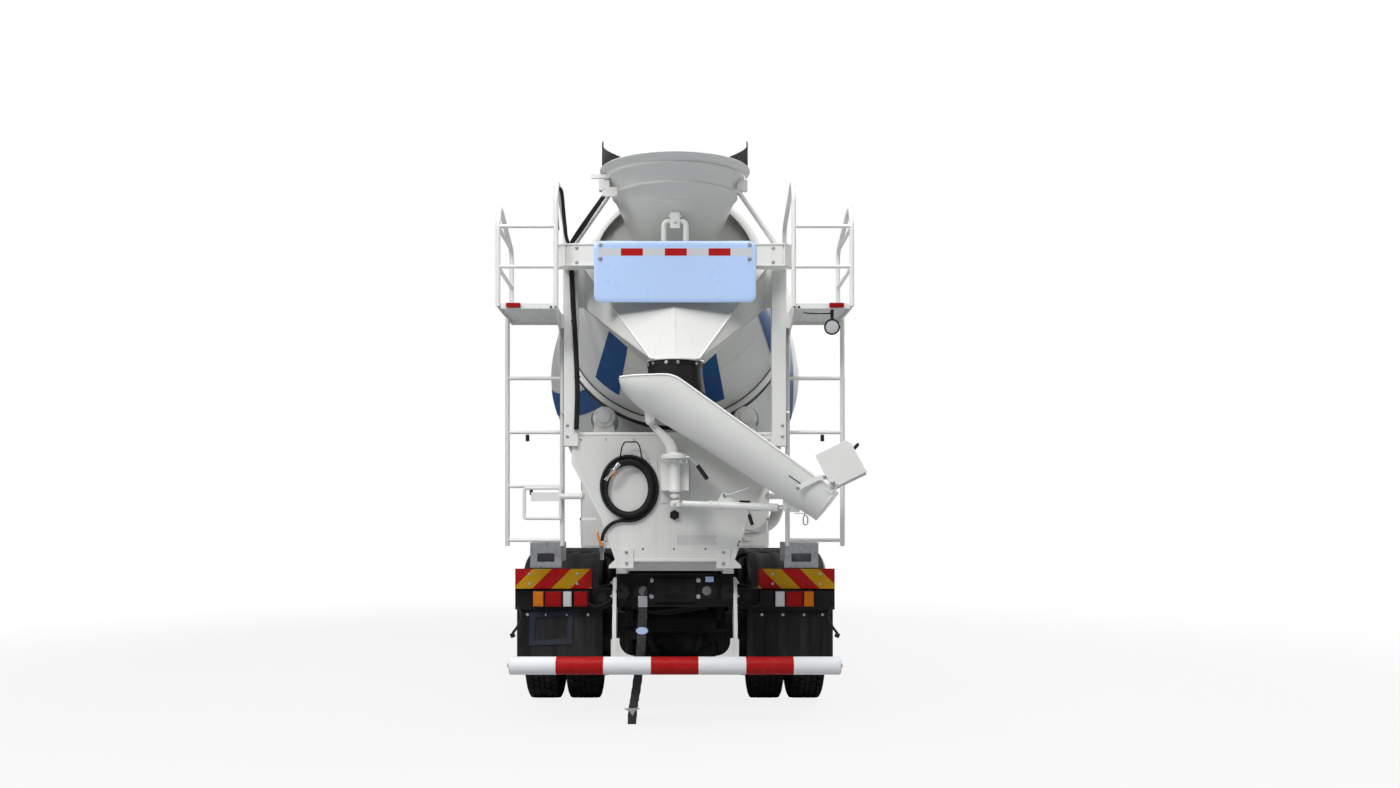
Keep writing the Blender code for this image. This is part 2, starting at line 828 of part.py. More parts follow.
def build_rear_stand(white):
    """Panel, shelf, webs and columns under the drum's mouth, with the roller cheeks and the chute's bushing."""
    shells = Shells()
    # Right half of the panel's outline from its foot up: x, z
    right = [
        (PANEL_FOOT_HALF_WIDTH, PANEL_FOOT_Z),
        (PANEL_FOOT_HALF_WIDTH, PANEL_FOOT_Z + 0.09),
        (mixed(PANEL_FOOT_HALF_WIDTH, PANEL_HALF_WIDTH, 0.35), mixed(PANEL_FOOT_Z, PANEL_SHOULDER_Z, 0.45)),
        (PANEL_HALF_WIDTH, PANEL_SHOULDER_Z),
        (PANEL_HALF_WIDTH, SHELF_Z),
    ]
    outline = right + mirrored(right)
    shells.prism(outline, "Y", PANEL_Y - PANEL_THICK, PANEL_Y)
    shells.block(
        (-PANEL_HALF_WIDTH, PANEL_Y - PANEL_THICK, SHELF_Z - SHELF_THICK),
        (PANEL_HALF_WIDTH, SHELF_FRONT_Y, SHELF_Z),
    )
    foot_z = RAIL_TOP_Z + SUBRAIL_HEIGHT + 2 * SEAT_GAP
    web = [
        (PANEL_Y - PANEL_THICK / 2, foot_z),
        (WEB_FOOT_FRONT_Y, foot_z),
        (SHELF_FRONT_Y - OVERRUN, SHELF_Z - SHELF_THICK / 2),
        (PANEL_Y - PANEL_THICK / 2, SHELF_Z - SHELF_THICK / 2),
    ]
    half = COLUMN_SIZE / 2
    for side in SIDES.values():
        low_x, high_x = ordered(side, WEB_X - WEB_THICK - RAIL_WALL, WEB_X - RAIL_WALL)
        shells.prism(web, "X", low_x, high_x)
        side_block(
            shells,
            side,
            COLUMN_X - half,
            COLUMN_X + half,
            COLUMN_FRONT_Y - COLUMN_SIZE,
            COLUMN_FRONT_Y,
            SHELF_Z - COLUMN_SIZE,
            BEAM_TOP_Z,
        )
        side_block(
            shells,
            side,
            COLUMN_X - half,
            BEAM_HALF_WIDTH,
            BEAM_REAR_Y,
            COLUMN_FRONT_Y - COLUMN_SIZE / 2,
            BEAM_TOP_Z - BEAM_HEIGHT,
            BEAM_TOP_Z - RAIL_WALL,
        )
    shells.block(
        (-BEAM_HALF_WIDTH, BEAM_REAR_Y, BEAM_TOP_Z - BEAM_HEIGHT),
        (BEAM_HALF_WIDTH, BEAM_REAR_Y + BEAM_SIZE, BEAM_TOP_Z - RAIL_WALL),
    )
    add_roller_cheeks(shells)
    add_bushing(shells)
    add_hose_valve(shells)
    stand = shells.made("rear_stand", white)
    bore = Shells()
    place = Matrix.Translation((0, COLUMN_AXIS_Y, BUSHING_TOP_Z - BUSHING_HEIGHT))
    bore.turned(
        [
            (0, -OVERRUN),
            (BUSHING_BORE, -OVERRUN),
            (BUSHING_BORE, BUSHING_HEIGHT + OVERRUN),
            (0, BUSHING_HEIGHT + OVERRUN),
        ],
        ROLLER_STEPS,
        place,
    )
    return cut(stand, bore, "bushing_bore")


def add_hose_valve(shells):
    """The valve that the wash-down hose is screwed to, on a small arm beside the panel's foot."""
    shells.block(
        (VALVE_X - VALVE_RADIUS, PANEL_Y - PANEL_THICK, VALVE_Z - VALVE_RADIUS),
        (-PANEL_FOOT_HALF_WIDTH + OVERRUN, PANEL_Y, VALVE_Z + VALVE_RADIUS),
    )
    place = Matrix.Translation((VALVE_X, VALVE_Y, VALVE_Z))
    half = VALVE_HEIGHT / 2
    shells.turned([(0, -half), (VALVE_RADIUS, -half), (VALVE_RADIUS, half), (0, half)], 12, place)


def add_roller_cheeks(shells):
    """Two cheeks hold each roller at its stubs; their feet stand on the shelf."""
    centre = roller_centre()
    near = ROLLER_LENGTH / 2 + ROLLER_STUB + SEAT_GAP
    foot = SHELF_Z - SHELF_THICK / 2
    drop = (centre.z - foot) / math.cos(DRUM_TILT)
    half_foot = ROLLER_RADIUS
    half_top = ROLLER_RADIUS * 0.45
    for side in SIDES.values():
        place = Matrix.Translation((side * centre.x, centre.y, centre.z))
        place = place @ Matrix.Rotation(-math.pi / 2 - DRUM_TILT, 4, "X")
        for start in (near, -near - ROLLER_CHEEK):
            outline = [
                (-half_foot, drop),
                (half_foot, drop),
                (half_top, -half_top),
                (-half_top, -half_top),
            ]
            # The shelf is level and the cheek leans, so each cheek's foot is cut to the shelf's height
            level = [drop - height * math.tan(DRUM_TILT) for height in (start, start + ROLLER_CHEEK)]
            rings = []
            for height, foot_drop in zip((start, start + ROLLER_CHEEK), level):
                ring = []
                for x, y in outline:
                    ring.append(place @ Vector((x, foot_drop if y == drop else y, height)))
                rings.append(ring)
            shells.rings(rings)


def add_bushing(shells):
    """The chute column's bushing, on a folded bracket that stands off the panel."""
    bottom = BUSHING_TOP_Z - BUSHING_HEIGHT
    place = Matrix.Translation((0, COLUMN_AXIS_Y, bottom))
    profile = [(0, 0), (BUSHING_RADIUS, 0), (BUSHING_RADIUS, BUSHING_HEIGHT), (0, BUSHING_HEIGHT)]
    shells.turned(profile, ROLLER_STEPS, place)
    wall = PANEL_THICK
    half = PLATE_RADIUS
    top = BUSHING_TOP_Z - PLATE_THICK
    for side in SIDES.values():
        side_block(
            shells, side, half - wall, half, COLUMN_AXIS_Y + BUSHING_RADIUS, PANEL_Y - wall / 2, bottom + wall, top
        )
    shells.block(
        (-half, COLUMN_AXIS_Y + BUSHING_RADIUS / 2, top - wall),
        (half, PANEL_Y - wall / 2, top),
    )
    shells.block(
        (-half, COLUMN_AXIS_Y + BUSHING_RADIUS / 2, bottom + wall),
        (half, COLUMN_AXIS_Y + BUSHING_RADIUS + wall, top),
    )


def build_sign(white):
    half = SIGN_WIDTH / 2
    low = SIGN_TOP_Z - SIGN_HEIGHT
    corners = [
        ((half - SIGN_CORNER, low + SIGN_CORNER), -90),
        ((half - SIGN_CORNER, SIGN_TOP_Z - SIGN_CORNER), 0),
        ((-half + SIGN_CORNER, SIGN_TOP_Z - SIGN_CORNER), 90),
        ((-half + SIGN_CORNER, low + SIGN_CORNER), 180),
    ]
    outline = []
    for centre, start in corners:
        outline += arc(centre, SIGN_CORNER, start, start + 90, 4)
    shells = Shells()
    rear = BEAM_REAR_Y - SEAT_GAP
    shells.prism(outline, "Y", rear - SIGN_THICK, rear)
    return shells.made("sign_board", white)


def ellipse(centre, half_x, half_y, height, steps):
    ring = []
    for step in range(steps):
        angle = 2 * math.pi * step / steps
        ring.append(Vector((centre[0] + half_x * math.cos(angle), centre[1] + half_y * math.sin(angle), height)))
    return ring


def hopper_ring(share, wall=0.0, steps=HOPPER_STEPS):
    """The hopper's section at a share of the way from its rim down to its throat."""
    height = mixed(RIM_Z, THROAT_Z, share)
    middle = mixed(RIM_Y, THROAT_Y, share)
    half_x = mixed(RIM_HALF_WIDTH, THROAT_RADIUS, share) - wall
    half_y = mixed(RIM_HALF_LENGTH, THROAT_RADIUS, share) - wall
    return ellipse((0, middle), half_x, half_y, height, steps)


def build_hopper(white):
    """A round funnel with a skewed cone, two pressed beads, a rolled rim and its side braces."""
    bead = HOPPER_WALL * 3
    shells = Shells()
    # Rows of the wall: share of the way down, how far the skin stands out
    outside = [
        (0.0, bead),
        (0.03, bead),
        (0.04, 0.0),
        (0.08, 0.0),
        (0.10, bead),
        (0.12, 0.0),
        (0.26, 0.0),
        (0.28, bead),
        (0.30, 0.0),
        (1.0, 0.0),
    ]
    rows = [hopper_ring(share, -out) for share, out in outside]
    rows += [hopper_ring(share, HOPPER_WALL) for share in (1.0, 0.0)]
    shells.rings(rows, wrap=True)
    brace_z = RIM_Z - 0.12
    foot_z = BEAM_TOP_Z + SEAT_GAP
    share = (RIM_Z - brace_z) / (RIM_Z - THROAT_Z)
    reach = mixed(RIM_HALF_WIDTH, THROAT_RADIUS, share) - HOPPER_WALL / 2
    middle = mixed(RIM_Y, THROAT_Y, share)
    column_y = COLUMN_FRONT_Y - COLUMN_SIZE / 2
    for side in SIDES.values():
        side_block(
            shells,
            side,
            COLUMN_X - COLUMN_SIZE / 2,
            COLUMN_X + COLUMN_SIZE / 2,
            COLUMN_FRONT_Y - COLUMN_SIZE,
            COLUMN_FRONT_Y,
            foot_z,
            foot_z + PANEL_THICK,
        )
        shells.tube(
            [
                (side * COLUMN_X, column_y, foot_z + POST_RADIUS + SEAT_GAP),
                (side * reach, middle, brace_z),
            ],
            POST_RADIUS,
        )
    return shells.made("charge_hopper", white)


def build_hopper_guard(rubber):
    """A rubber splash guard of even height that stands on the front half of the hopper's rim."""
    shells = Shells()
    low = RIM_Z + SEAT_GAP
    half_x = RIM_HALF_WIDTH - HOPPER_WALL / 2
    half_y = RIM_HALF_LENGTH - HOPPER_WALL / 2
    rings = []
    for step in range(GUARD_ARC_STEPS + 1):
        angle = math.radians(mixed(GUARD_START, 180 - GUARD_START, step / GUARD_ARC_STEPS))
        ring = []
        for wall, top in ((0, 0), (0, GUARD_HEIGHT), (GUARD_WALL, GUARD_HEIGHT), (GUARD_WALL, 0)):
            reach_x = half_x + GUARD_WALL - wall
            reach_y = half_y + GUARD_WALL - wall
            ring.append(Vector((reach_x * math.cos(angle), RIM_Y + reach_y * math.sin(angle), low + top)))
        rings.append(ring)
    shells.rings(rings)
    return shells.made("hopper_guard", rubber)


def funnel_spots():
    """Named corners of the discharge funnel's right half."""
    flange_y = COLUMN_FRONT_Y + SEAT_GAP + FUNNEL_WALL / 2
    outlet_rear_y = COLUMN_AXIS_Y - OUTLET_HALF * 0.86
    outlet_front_y = COLUMN_AXIS_Y + OUTLET_HALF
    return {
        "fold": (COLUMN_X - COLUMN_SIZE / 2 - OVERRUN * 2, flange_y, FUNNEL_TOP_Z),
        "crease": (0, BEAM_REAR_Y + BEAM_SIZE * 1.2, FUNNEL_CREASE_Z),
        "foot": (0, COLUMN_AXIS_Y - OUTLET_HALF, FUNNEL_FOOT_Z),
        "corner": (OUTLET_HALF, outlet_rear_y, FUNNEL_FOOT_Z),
        "front_corner": (OUTLET_HALF, outlet_front_y, FUNNEL_FOOT_Z),
        "lip": (OUTLET_HALF * 2.2, BAR_Y + 0.09, FUNNEL_FOOT_Z + 0.07),
        "fold_foot": (COLUMN_X - COLUMN_SIZE / 2 - OVERRUN * 2, flange_y, FUNNEL_TOP_Z - 0.30),
    }


def build_funnel(white):
    """Two folded rear faces that meet in a crease, closed at the sides and under the mouth's lip."""
    right = funnel_spots()
    names = list(right)
    points = [Vector(right[name]) for name in names]
    index = {name: number for number, name in enumerate(names)}
    faces = [
        ("fold", "crease", "foot", "corner"),
        ("fold", "corner", "fold_foot"),
        ("fold_foot", "corner", "front_corner", "lip"),
    ]
    found = [tuple(index[name] for name in face) for face in faces]
    on_middle = {"crease", "foot"}
    other = {}
    for name in names:
        if name in on_middle:
            other[name] = index[name]
            continue
        x, y, z = right[name]
        other[name] = len(points)
        points.append(Vector((-x, y, z)))
    found += [tuple(reversed([other[name] for name in face])) for face in faces]
    found.append((index["lip"], index["front_corner"], other["front_corner"], other["lip"]))
    funnel = sheet("discharge_funnel", white, points, found, FUNNEL_WALL)
    flanges = Shells()
    rear = COLUMN_FRONT_Y + SEAT_GAP
    near = right["fold"][0] - FUNNEL_WALL
    for side in SIDES.values():
        side_block(
            flanges,
            side,
            near,
            FUNNEL_HALF_WIDTH,
            rear,
            rear + FUNNEL_WALL,
            right["fold_foot"][2],
            FUNNEL_TOP_Z - FUNNEL_WALL,
        )
    foot = FUNNEL_FOOT_Z - FUNNEL_WALL
    inner = COLLAR_RADIUS - FUNNEL_WALL
    flanges.turned(
        [
            (inner, foot - COLLAR_DROP),
            (COLLAR_RADIUS, foot - COLLAR_DROP),
            (COLLAR_RADIUS, foot),
            (COLLAR_FLANGE_RADIUS, foot),
            (COLLAR_FLANGE_RADIUS, FUNNEL_FOOT_Z),
            (inner, FUNNEL_FOOT_Z),
        ],
        SPOUT_STEPS,
        Matrix.Translation((0, COLUMN_AXIS_Y, 0)),
    )
    return joined(funnel, flanges, "funnel_flanges")


def build_spout(rubber):
    """A rubber skirt round the funnel's collar that hangs into the chute."""
    top = FUNNEL_FOOT_Z - FUNNEL_WALL - SEAT_GAP
    lap = top - COLLAR_DROP
    bottom = FUNNEL_FOOT_Z - SPOUT_DROP
    inner = COLLAR_RADIUS + SPOUT_GAP
    outer = inner + SPOUT_WALL
    shells = Shells()
    rows = []
    for radius, height, shift in (
        (outer, top, 0),
        (outer, lap, 0),
        (outer, bottom, SPOUT_SHIFT),
        (inner, bottom, SPOUT_SHIFT),
        (inner, lap, 0),
        (inner, top, 0),
    ):
        ring = []
        for step in range(SPOUT_STEPS):
            angle = 2 * math.pi * (step + 0.5) / SPOUT_STEPS
            x = radius * math.cos(angle) + shift
            ring.append(Vector((x, COLUMN_AXIS_Y + radius * math.sin(angle), height)))
        rows.append(ring)
    shells.rings(rows, wrap=True)
    return shells.made("rubber_spout", rubber)


def build_column(white, carrier):
    """Spindle, locking plate and bent arm, with the yoke of the strut below."""
    shells = Shells()
    bottom = BUSHING_TOP_Z - BUSHING_HEIGHT
    plate_z = BUSHING_TOP_Z + SEAT_GAP
    spindle = [
        (0, YOKE_Z + ROD_RADIUS + RUNNING_GAP),
        (SPINDLE_RADIUS, YOKE_Z + ROD_RADIUS + RUNNING_GAP),
        (SPINDLE_RADIUS, plate_z),
        (PLATE_RADIUS, plate_z),
        (PLATE_RADIUS, plate_z + PLATE_THICK),
        (0, plate_z + PLATE_THICK),
    ]
    shells.turned(spindle, ROLLER_STEPS)
    collar = [(0, bottom - RUNNING_GAP), (0, bottom - RUNNING_GAP * 3)]
    collar = [collar[1], (YOKE_RADIUS, collar[1][1]), (YOKE_RADIUS, collar[0][1]), collar[0]]
    shells.turned(collar, ROLLER_STEPS)
    half = ARM_SIZE / 2
    arm_top = PIVOT_Z - PIVOT_BOSS_RADIUS * 0.2
    # Middle line of the bent arm: u, z, half width
    arm = [
        (-0.02, plate_z + PLATE_THICK / 2, half),
        (-0.03, mixed(plate_z, arm_top, 0.30), half),
        (-0.075, mixed(plate_z, arm_top, 0.62), half * 0.85),
        (-0.135, mixed(plate_z, arm_top, 0.88), half * 0.65),
        (PIVOT_U, arm_top, half * 0.55),
    ]
    rings = []
    for u, z, wide in arm:
        rings.append([Vector((u + du * wide, dy * half * 0.7, z + du * wide * 0.3)) for du, dy in ((-1, -1), (1, -1), (1, 1), (-1, 1))])
    shells.rings(rings)
    boss = Matrix.Translation((PIVOT_U, 0, PIVOT_Z)) @ Matrix.Rotation(math.pi / 2, 4, "X")
    width = ARM_SIZE * 0.5
    shells.turned([(0, -width), (PIVOT_BOSS_RADIUS, -width), (PIVOT_BOSS_RADIUS, width), (0, width)], 14, boss)
    # Yoke: one eye plate that the rod's fork straddles
    yoke = Matrix.Translation((YOKE_U, 0, YOKE_Z)) @ Matrix.Rotation(math.pi / 2, 4, "X")
    eye = CHUTE_EAR
    shells.turned([(0, -eye), (YOKE_RADIUS, -eye), (YOKE_RADIUS, eye), (0, eye)], 14, yoke)
    return shells.made("chute_column", white, carrier)


# Stations of the chute: rim u, rim z, belly u, belly z, half width
CHUTE_STATIONS = [
    (-0.345, 2.500, -0.335, 2.400, CHUTE_HALF_WIDTH * 0.86),
    (-0.250, 2.505, -0.260, 2.315, CHUTE_HALF_WIDTH),
    (0.030, 2.507, -0.130, 2.235, CHUTE_HALF_WIDTH),
    (0.590, 2.100, 0.430, 1.880, mixed(CHUTE_HALF_WIDTH, CHUTE_END_HALF_WIDTH, 0.5)),
    (1.130, 1.700, 0.990, 1.520, CHUTE_END_HALF_WIDTH),
]


def chute_section(station):
    """One U of the chute, from its near rim round the belly to its far rim."""
    rim_u, rim_z, belly_u, belly_z, half = station
    ring = []
    for step in range(CHUTE_STEPS + 1):
        angle = math.pi * step / CHUTE_STEPS
        depth = math.sin(angle) ** 0.8
        ring.append(Vector((mixed(rim_u, belly_u, depth), -half * math.cos(angle), mixed(rim_z, belly_z, depth))))
    return ring


def build_chute(white, carrier):
    """The main trough, closed at its upper end, with the ears of its pivot and of its strut."""
    count = CHUTE_STEPS + 1
    points = [point for station in CHUTE_STATIONS for point in chute_section(station)]
    faces = [tuple(range(count))]
    for row in range(len(CHUTE_STATIONS) - 1):
        low = row * count
        high = low + count
        for step in range(CHUTE_STEPS):
            faces.append((low + step, low + step + 1, high + step + 1, high + step))
    trough = sheet("chute", white, points, faces, CHUTE_WALL, carrier)
    shells = Shells()
    near = ARM_SIZE * 0.5 + STRUT_PIN_GAP
    pivot_ear = [
        (PIVOT_U - PIVOT_BOSS_RADIUS, PIVOT_Z),
        (PIVOT_U, PIVOT_Z - PIVOT_BOSS_RADIUS),
        (PIVOT_U + PIVOT_BOSS_RADIUS, PIVOT_Z),
        (PIVOT_U + PIVOT_BOSS_RADIUS * 1.4, PIVOT_Z + 0.025),
        (PIVOT_U - PIVOT_BOSS_RADIUS, PIVOT_Z + 0.070),
    ]
    eye_near = CHUTE_EAR * 0.8 + STRUT_PIN_GAP
    strut_ear = [
        (STRUT_EYE_U - SLEEVE_RADIUS, STRUT_EYE_Z),
        (STRUT_EYE_U, STRUT_EYE_Z - SLEEVE_RADIUS),
        (STRUT_EYE_U + 0.07, STRUT_EYE_Z - SLEEVE_RADIUS),
        (STRUT_EYE_U + 0.07, STRUT_EYE_Z + 0.009),
        (STRUT_EYE_U - SLEEVE_RADIUS, STRUT_EYE_Z + 0.074),
    ]
    hood_ear = arc((HOOD_U, HOOD_Z), HOOD_EAR_RADIUS, -30, 180, 6)
    hood_ear += [(HOOD_U - HOOD_EAR_RADIUS * 1.2, HOOD_Z - HOOD_EAR_DROP), (HOOD_U, HOOD_Z - HOOD_EAR_DROP * 1.5)]
    for side in SIDES.values():
        low, high = ordered(side, near, near + CHUTE_EAR)
        shells.prism(pivot_ear, "Y", low, high)
        low, high = ordered(side, eye_near, eye_near + CHUTE_EAR)
        shells.prism(strut_ear, "Y", low, high)
        low, high = ordered(side, CHUTE_END_HALF_WIDTH - CHUTE_WALL, hood_inner_half() - STRUT_PIN_GAP)
        shells.prism(hood_ear, "Y", low, high)
    return joined(trough, shells, "chute_ears")


HOOD_U = 1.105
HOOD_Z = 1.762
HOOD_RAISED = math.radians(26)
HOOD_LENGTH = 0.235
HOOD_HEIGHT = 0.22
HOOD_BEHIND = 0.03
HOOD_BELOW = 0.03
HOOD_WALL = 0.006
HOOD_EAR_RADIUS = 0.025
HOOD_EAR_DROP = 0.05


def hood_inner_half():
    return CHUTE_END_HALF_WIDTH + CHUTE_WALL + RUNNING_GAP


def build_hood(white, carrier):
    """A folded hood that swings down over the end of the chute."""
    half = hood_inner_half() + HOOD_WALL
    top = HOOD_HEIGHT
    cheek = [
        (-HOOD_BEHIND, -HOOD_BELOW),
        (HOOD_LENGTH, -HOOD_BELOW),
        (HOOD_LENGTH - 0.01, top - 0.035),
        (HOOD_LENGTH - 0.03, top),
        (-HOOD_BEHIND * 0.7, top),
        (-HOOD_BEHIND * 0.7, top * 0.5),
    ]
    shells = Shells()
    for side in SIDES.values():
        low, high = ordered(side, half - HOOD_WALL, half)
        shells.prism(cheek, "Y", low, high)
    shells.block((-HOOD_BEHIND * 0.7, -half, top - HOOD_WALL), (HOOD_LENGTH - 0.03, half, top))
    return shells.made("chute_hood", white, carrier)


def build_strut(white, swing_carrier, eye_carrier, length):
    """The rod that is pinned to the yoke, and the sleeve that slides on it out to the chute's ears."""
    turn = Matrix.Rotation(math.pi / 2, 4, "Y")
    rod = Shells()
    inside = length * 0.72
    fork_end = YOKE_RADIUS + STRUT_PIN_GAP
    rod.turned(
        [(0, fork_end), (ROD_RADIUS, fork_end), (ROD_RADIUS, inside), (0, inside)],
        ROLLER_STEPS,
        turn,
    )
    near = CHUTE_EAR + STRUT_PIN_GAP
    for side in SIDES.values():
        low, high = ordered(side, near, near + CHUTE_EAR)
        rod.block((-ROD_RADIUS * 0.7, low, -ROD_RADIUS), (fork_end + ROD_RADIUS, high, ROD_RADIUS))
    rod.block((fork_end, -near - CHUTE_EAR, -ROD_RADIUS), (fork_end + ROD_RADIUS, near + CHUTE_EAR, ROD_RADIUS))
    rod.made("strut_rod", white, swing_carrier)
    sleeve = Shells()
    start = YOKE_REACH + ROD_SHOWN
    closed = length * 0.86
    end = length - SLEEVE_RADIUS * 2.2
    sleeve.turned(
        [
            (SLEEVE_BORE, start),
            (SLEEVE_RADIUS, start),
            (SLEEVE_RADIUS, end),
            (0, end),
            (0, closed),
            (SLEEVE_BORE, closed),
        ],
        ROLLER_STEPS,
        turn,
    )
    eye = CHUTE_EAR * 0.8
    place = Matrix.Translation((length, 0, 0)) @ Matrix.Rotation(math.pi / 2, 4, "X")
    sleeve.turned(
        [(0, -eye), (SLEEVE_RADIUS * 0.9, -eye), (SLEEVE_RADIUS * 0.9, eye), (0, eye)], 14, place
    )
    sleeve.block((end - SLEEVE_RADIUS, -eye, -eye), (length, eye, eye))
    sleeve.made("strut_sleeve", white, eye_carrier)


def build_chute_group(white):
    """The column and all that it carries, swung a little to the rear of square."""
    swing = pivot("chute_swing_axis", (0, COLUMN_AXIS_Y, 0), (0, 0, CHUTE_REST))
    build_column(white, swing)
    build_chute(white, swing)
    hood = pivot("chute_hood_axis", (HOOD_U, 0, HOOD_Z), (0, -HOOD_RAISED, 0), swing)
    build_hood(white, hood)
    reach = Vector((STRUT_EYE_U - YOKE_U, 0, STRUT_EYE_Z - YOKE_Z))
    slope = math.atan2(reach.z, reach.x)
    strut = pivot("strut_axis", (YOKE_U, 0, YOKE_Z), (0, -slope, 0), swing)
    build_strut(white, strut, strut, reach.length)


def build_platforms(grey):
    """Each side has a railed platform and a ladder down from it."""
    for name, side in SIDES.items():
        shells = Shells()

        def at(x, y, z):
            return (side * x, y, z)

        side_block(
            shells,
            side,
            INNER_POST_X,
            OUTER_POST_X,
            PLATFORM_REAR_Y,
            PLATFORM_FRONT_Y,
            PLATFORM_Z - PLATFORM_THICK,
            PLATFORM_Z,
        )
        deck = PLATFORM_Z - PLATFORM_THICK / 2
        tops = {INNER_POST_X: INNER_POST_TOP_Z, OUTER_POST_X: OUTER_POST_TOP_Z}
        for x, top in tops.items():
            shells.tube(
                [
                    at(x, PLATFORM_REAR_Y, deck),
                    at(x, PLATFORM_REAR_Y, top - POST_RADIUS * 3),
                    at(x, PLATFORM_REAR_Y + POST_RADIUS * 3, top),
                    at(x, PLATFORM_FRONT_Y - POST_RADIUS * 3, top),
                    at(x, PLATFORM_FRONT_Y, top - POST_RADIUS * 3),
                    at(x, PLATFORM_FRONT_Y, deck),
                ],
                POST_RADIUS,
            )
        for z in (HIGH_RAIL_Z, LOW_RAIL_Z):
            shells.tube(
                [at(INNER_POST_X, PLATFORM_REAR_Y, z), at(OUTER_POST_X, PLATFORM_REAR_Y, z)], RUNG_RADIUS
            )
            shells.tube(
                [at(OUTER_POST_X, PLATFORM_REAR_Y, z), at(OUTER_POST_X, PLATFORM_FRONT_Y, z)], RUNG_RADIUS
            )
        for x in tops:
            shells.tube([at(x, LADDER_Y, deck), at(x, LADDER_Y, LADDER_FOOT_Z)], POST_RADIUS)
        rise = 0.395
        for rung in range(4):
            z = LADDER_FOOT_Z + 0.04 + rung * rise
            shells.tube([at(INNER_POST_X, LADDER_Y, z), at(OUTER_POST_X, LADDER_Y, z)], RUNG_RADIUS)
        # Bracket on the column and the stay to the panel's edge
        column_face = COLUMN_X + COLUMN_SIZE / 2 + SEAT_GAP
        side_block(
            shells,
            side,
            column_face,
            INNER_POST_X + POST_RADIUS,
            COLUMN_FRONT_Y - COLUMN_SIZE,
            COLUMN_FRONT_Y + OVERRUN,
            PLATFORM_Z - PLATFORM_THICK * 3,
            PLATFORM_Z - PLATFORM_THICK / 2,
        )
        shells.made(f"ladder_{name}", grey)


def build_axles(black):
    """Two driven axles with round housings and brake chambers, then the bogie between them."""
    for number, axle_y in enumerate((MIDDLE_AXLE_Y, REAR_AXLE_Y), start=1):
        shells = Shells()
        place = Matrix.Translation((0, axle_y, AXLE_Z)) @ Matrix.Rotation(math.pi / 2, 4, "Y")
        end = AXLE_END_X - SEAT_GAP
        profile = [
            (0, -end),
            (BRAKE_RADIUS, -end),
            (BRAKE_RADIUS, -end + AXLE_FLANGE),
            (HOUSING_RADIUS, -end + AXLE_FLANGE),
            (HOUSING_RADIUS, -DIFF_FLARE_X),
            (DIFF_RADIUS, -DIFF_FLAT_X),
            (DIFF_RADIUS, DIFF_FLAT_X),
            (HOUSING_RADIUS, DIFF_FLARE_X),
            (HOUSING_RADIUS, end - AXLE_FLANGE),
            (BRAKE_RADIUS, end - AXLE_FLANGE),
            (BRAKE_RADIUS, end),
            (0, end),
        ]
        shells.turned(profile, 18, place)
        nose = Matrix.Translation((0, axle_y, SHAFT_REAR_Z)) @ Matrix.Rotation(-math.pi / 2, 4, "X")
        nose_line = [(0, 0), (PINION_RADIUS, 0), (HOUSING_RADIUS, PINION_LENGTH), (0, PINION_LENGTH)]
        shells.turned(nose_line, 14, nose)
        for side in SIDES.values():
            side_block(
                shells,
                side,
                SPRING_X - SPRING_WIDTH / 2,
                SPRING_X + SPRING_WIDTH / 2,
                axle_y - PAD_HALF,
                axle_y + PAD_HALF,
                AXLE_Z,
                AXLE_Z + HOUSING_RADIUS + PAD_RISE,
            )
            spot = (side * CHAMBER_X, axle_y, AXLE_Z + CHAMBER_LIFT)
            chamber = Matrix.Translation(spot) @ Matrix.Rotation(math.pi / 2, 4, "X")
            chamber_line = [(0, 0), (CHAMBER_RADIUS, 0), (CHAMBER_RADIUS, CHAMBER_LENGTH), (0, CHAMBER_LENGTH)]
            shells.turned(chamber_line, 12, chamber)
        shells.made(f"rear_axle_{number}", black)
    build_bogie(black)
    build_air_tank(black)


def build_air_tank(black):
    """A compressed-air tank across the frame behind the last axle, hung under both rails."""
    shells = Shells()
    place = Matrix.Translation((0, AIR_TANK_Y, AIR_TANK_Z)) @ Matrix.Rotation(math.pi / 2, 4, "Y")
    end = AIR_TANK_HALF
    ease = AIR_TANK_RADIUS * 0.3
    line = [
        (0, -end),
        (AIR_TANK_RADIUS - ease, -end + ease / 2),
        (AIR_TANK_RADIUS, -end + ease * 2),
        (AIR_TANK_RADIUS, end - ease * 2),
        (AIR_TANK_RADIUS - ease, end - ease / 2),
        (0, end),
    ]
    shells.turned(line, 16, place)
    rail_bottom = RAIL_TOP_Z - RAIL_HEIGHT - SEAT_GAP
    inner = RAIL_OUTER_X - RAIL_FLANGE
    for side in SIDES.values():
        side_block(
            shells,
            side,
            inner - AIR_TANK_STRAP * 2,
            inner + RAIL_FLANGE / 2,
            AIR_TANK_Y - AIR_TANK_STRAP / 2,
            AIR_TANK_Y + AIR_TANK_STRAP / 2,
            AIR_TANK_Z + AIR_TANK_RADIUS / 2,
            rail_bottom,
        )
    return shells.made("air_tank", black)


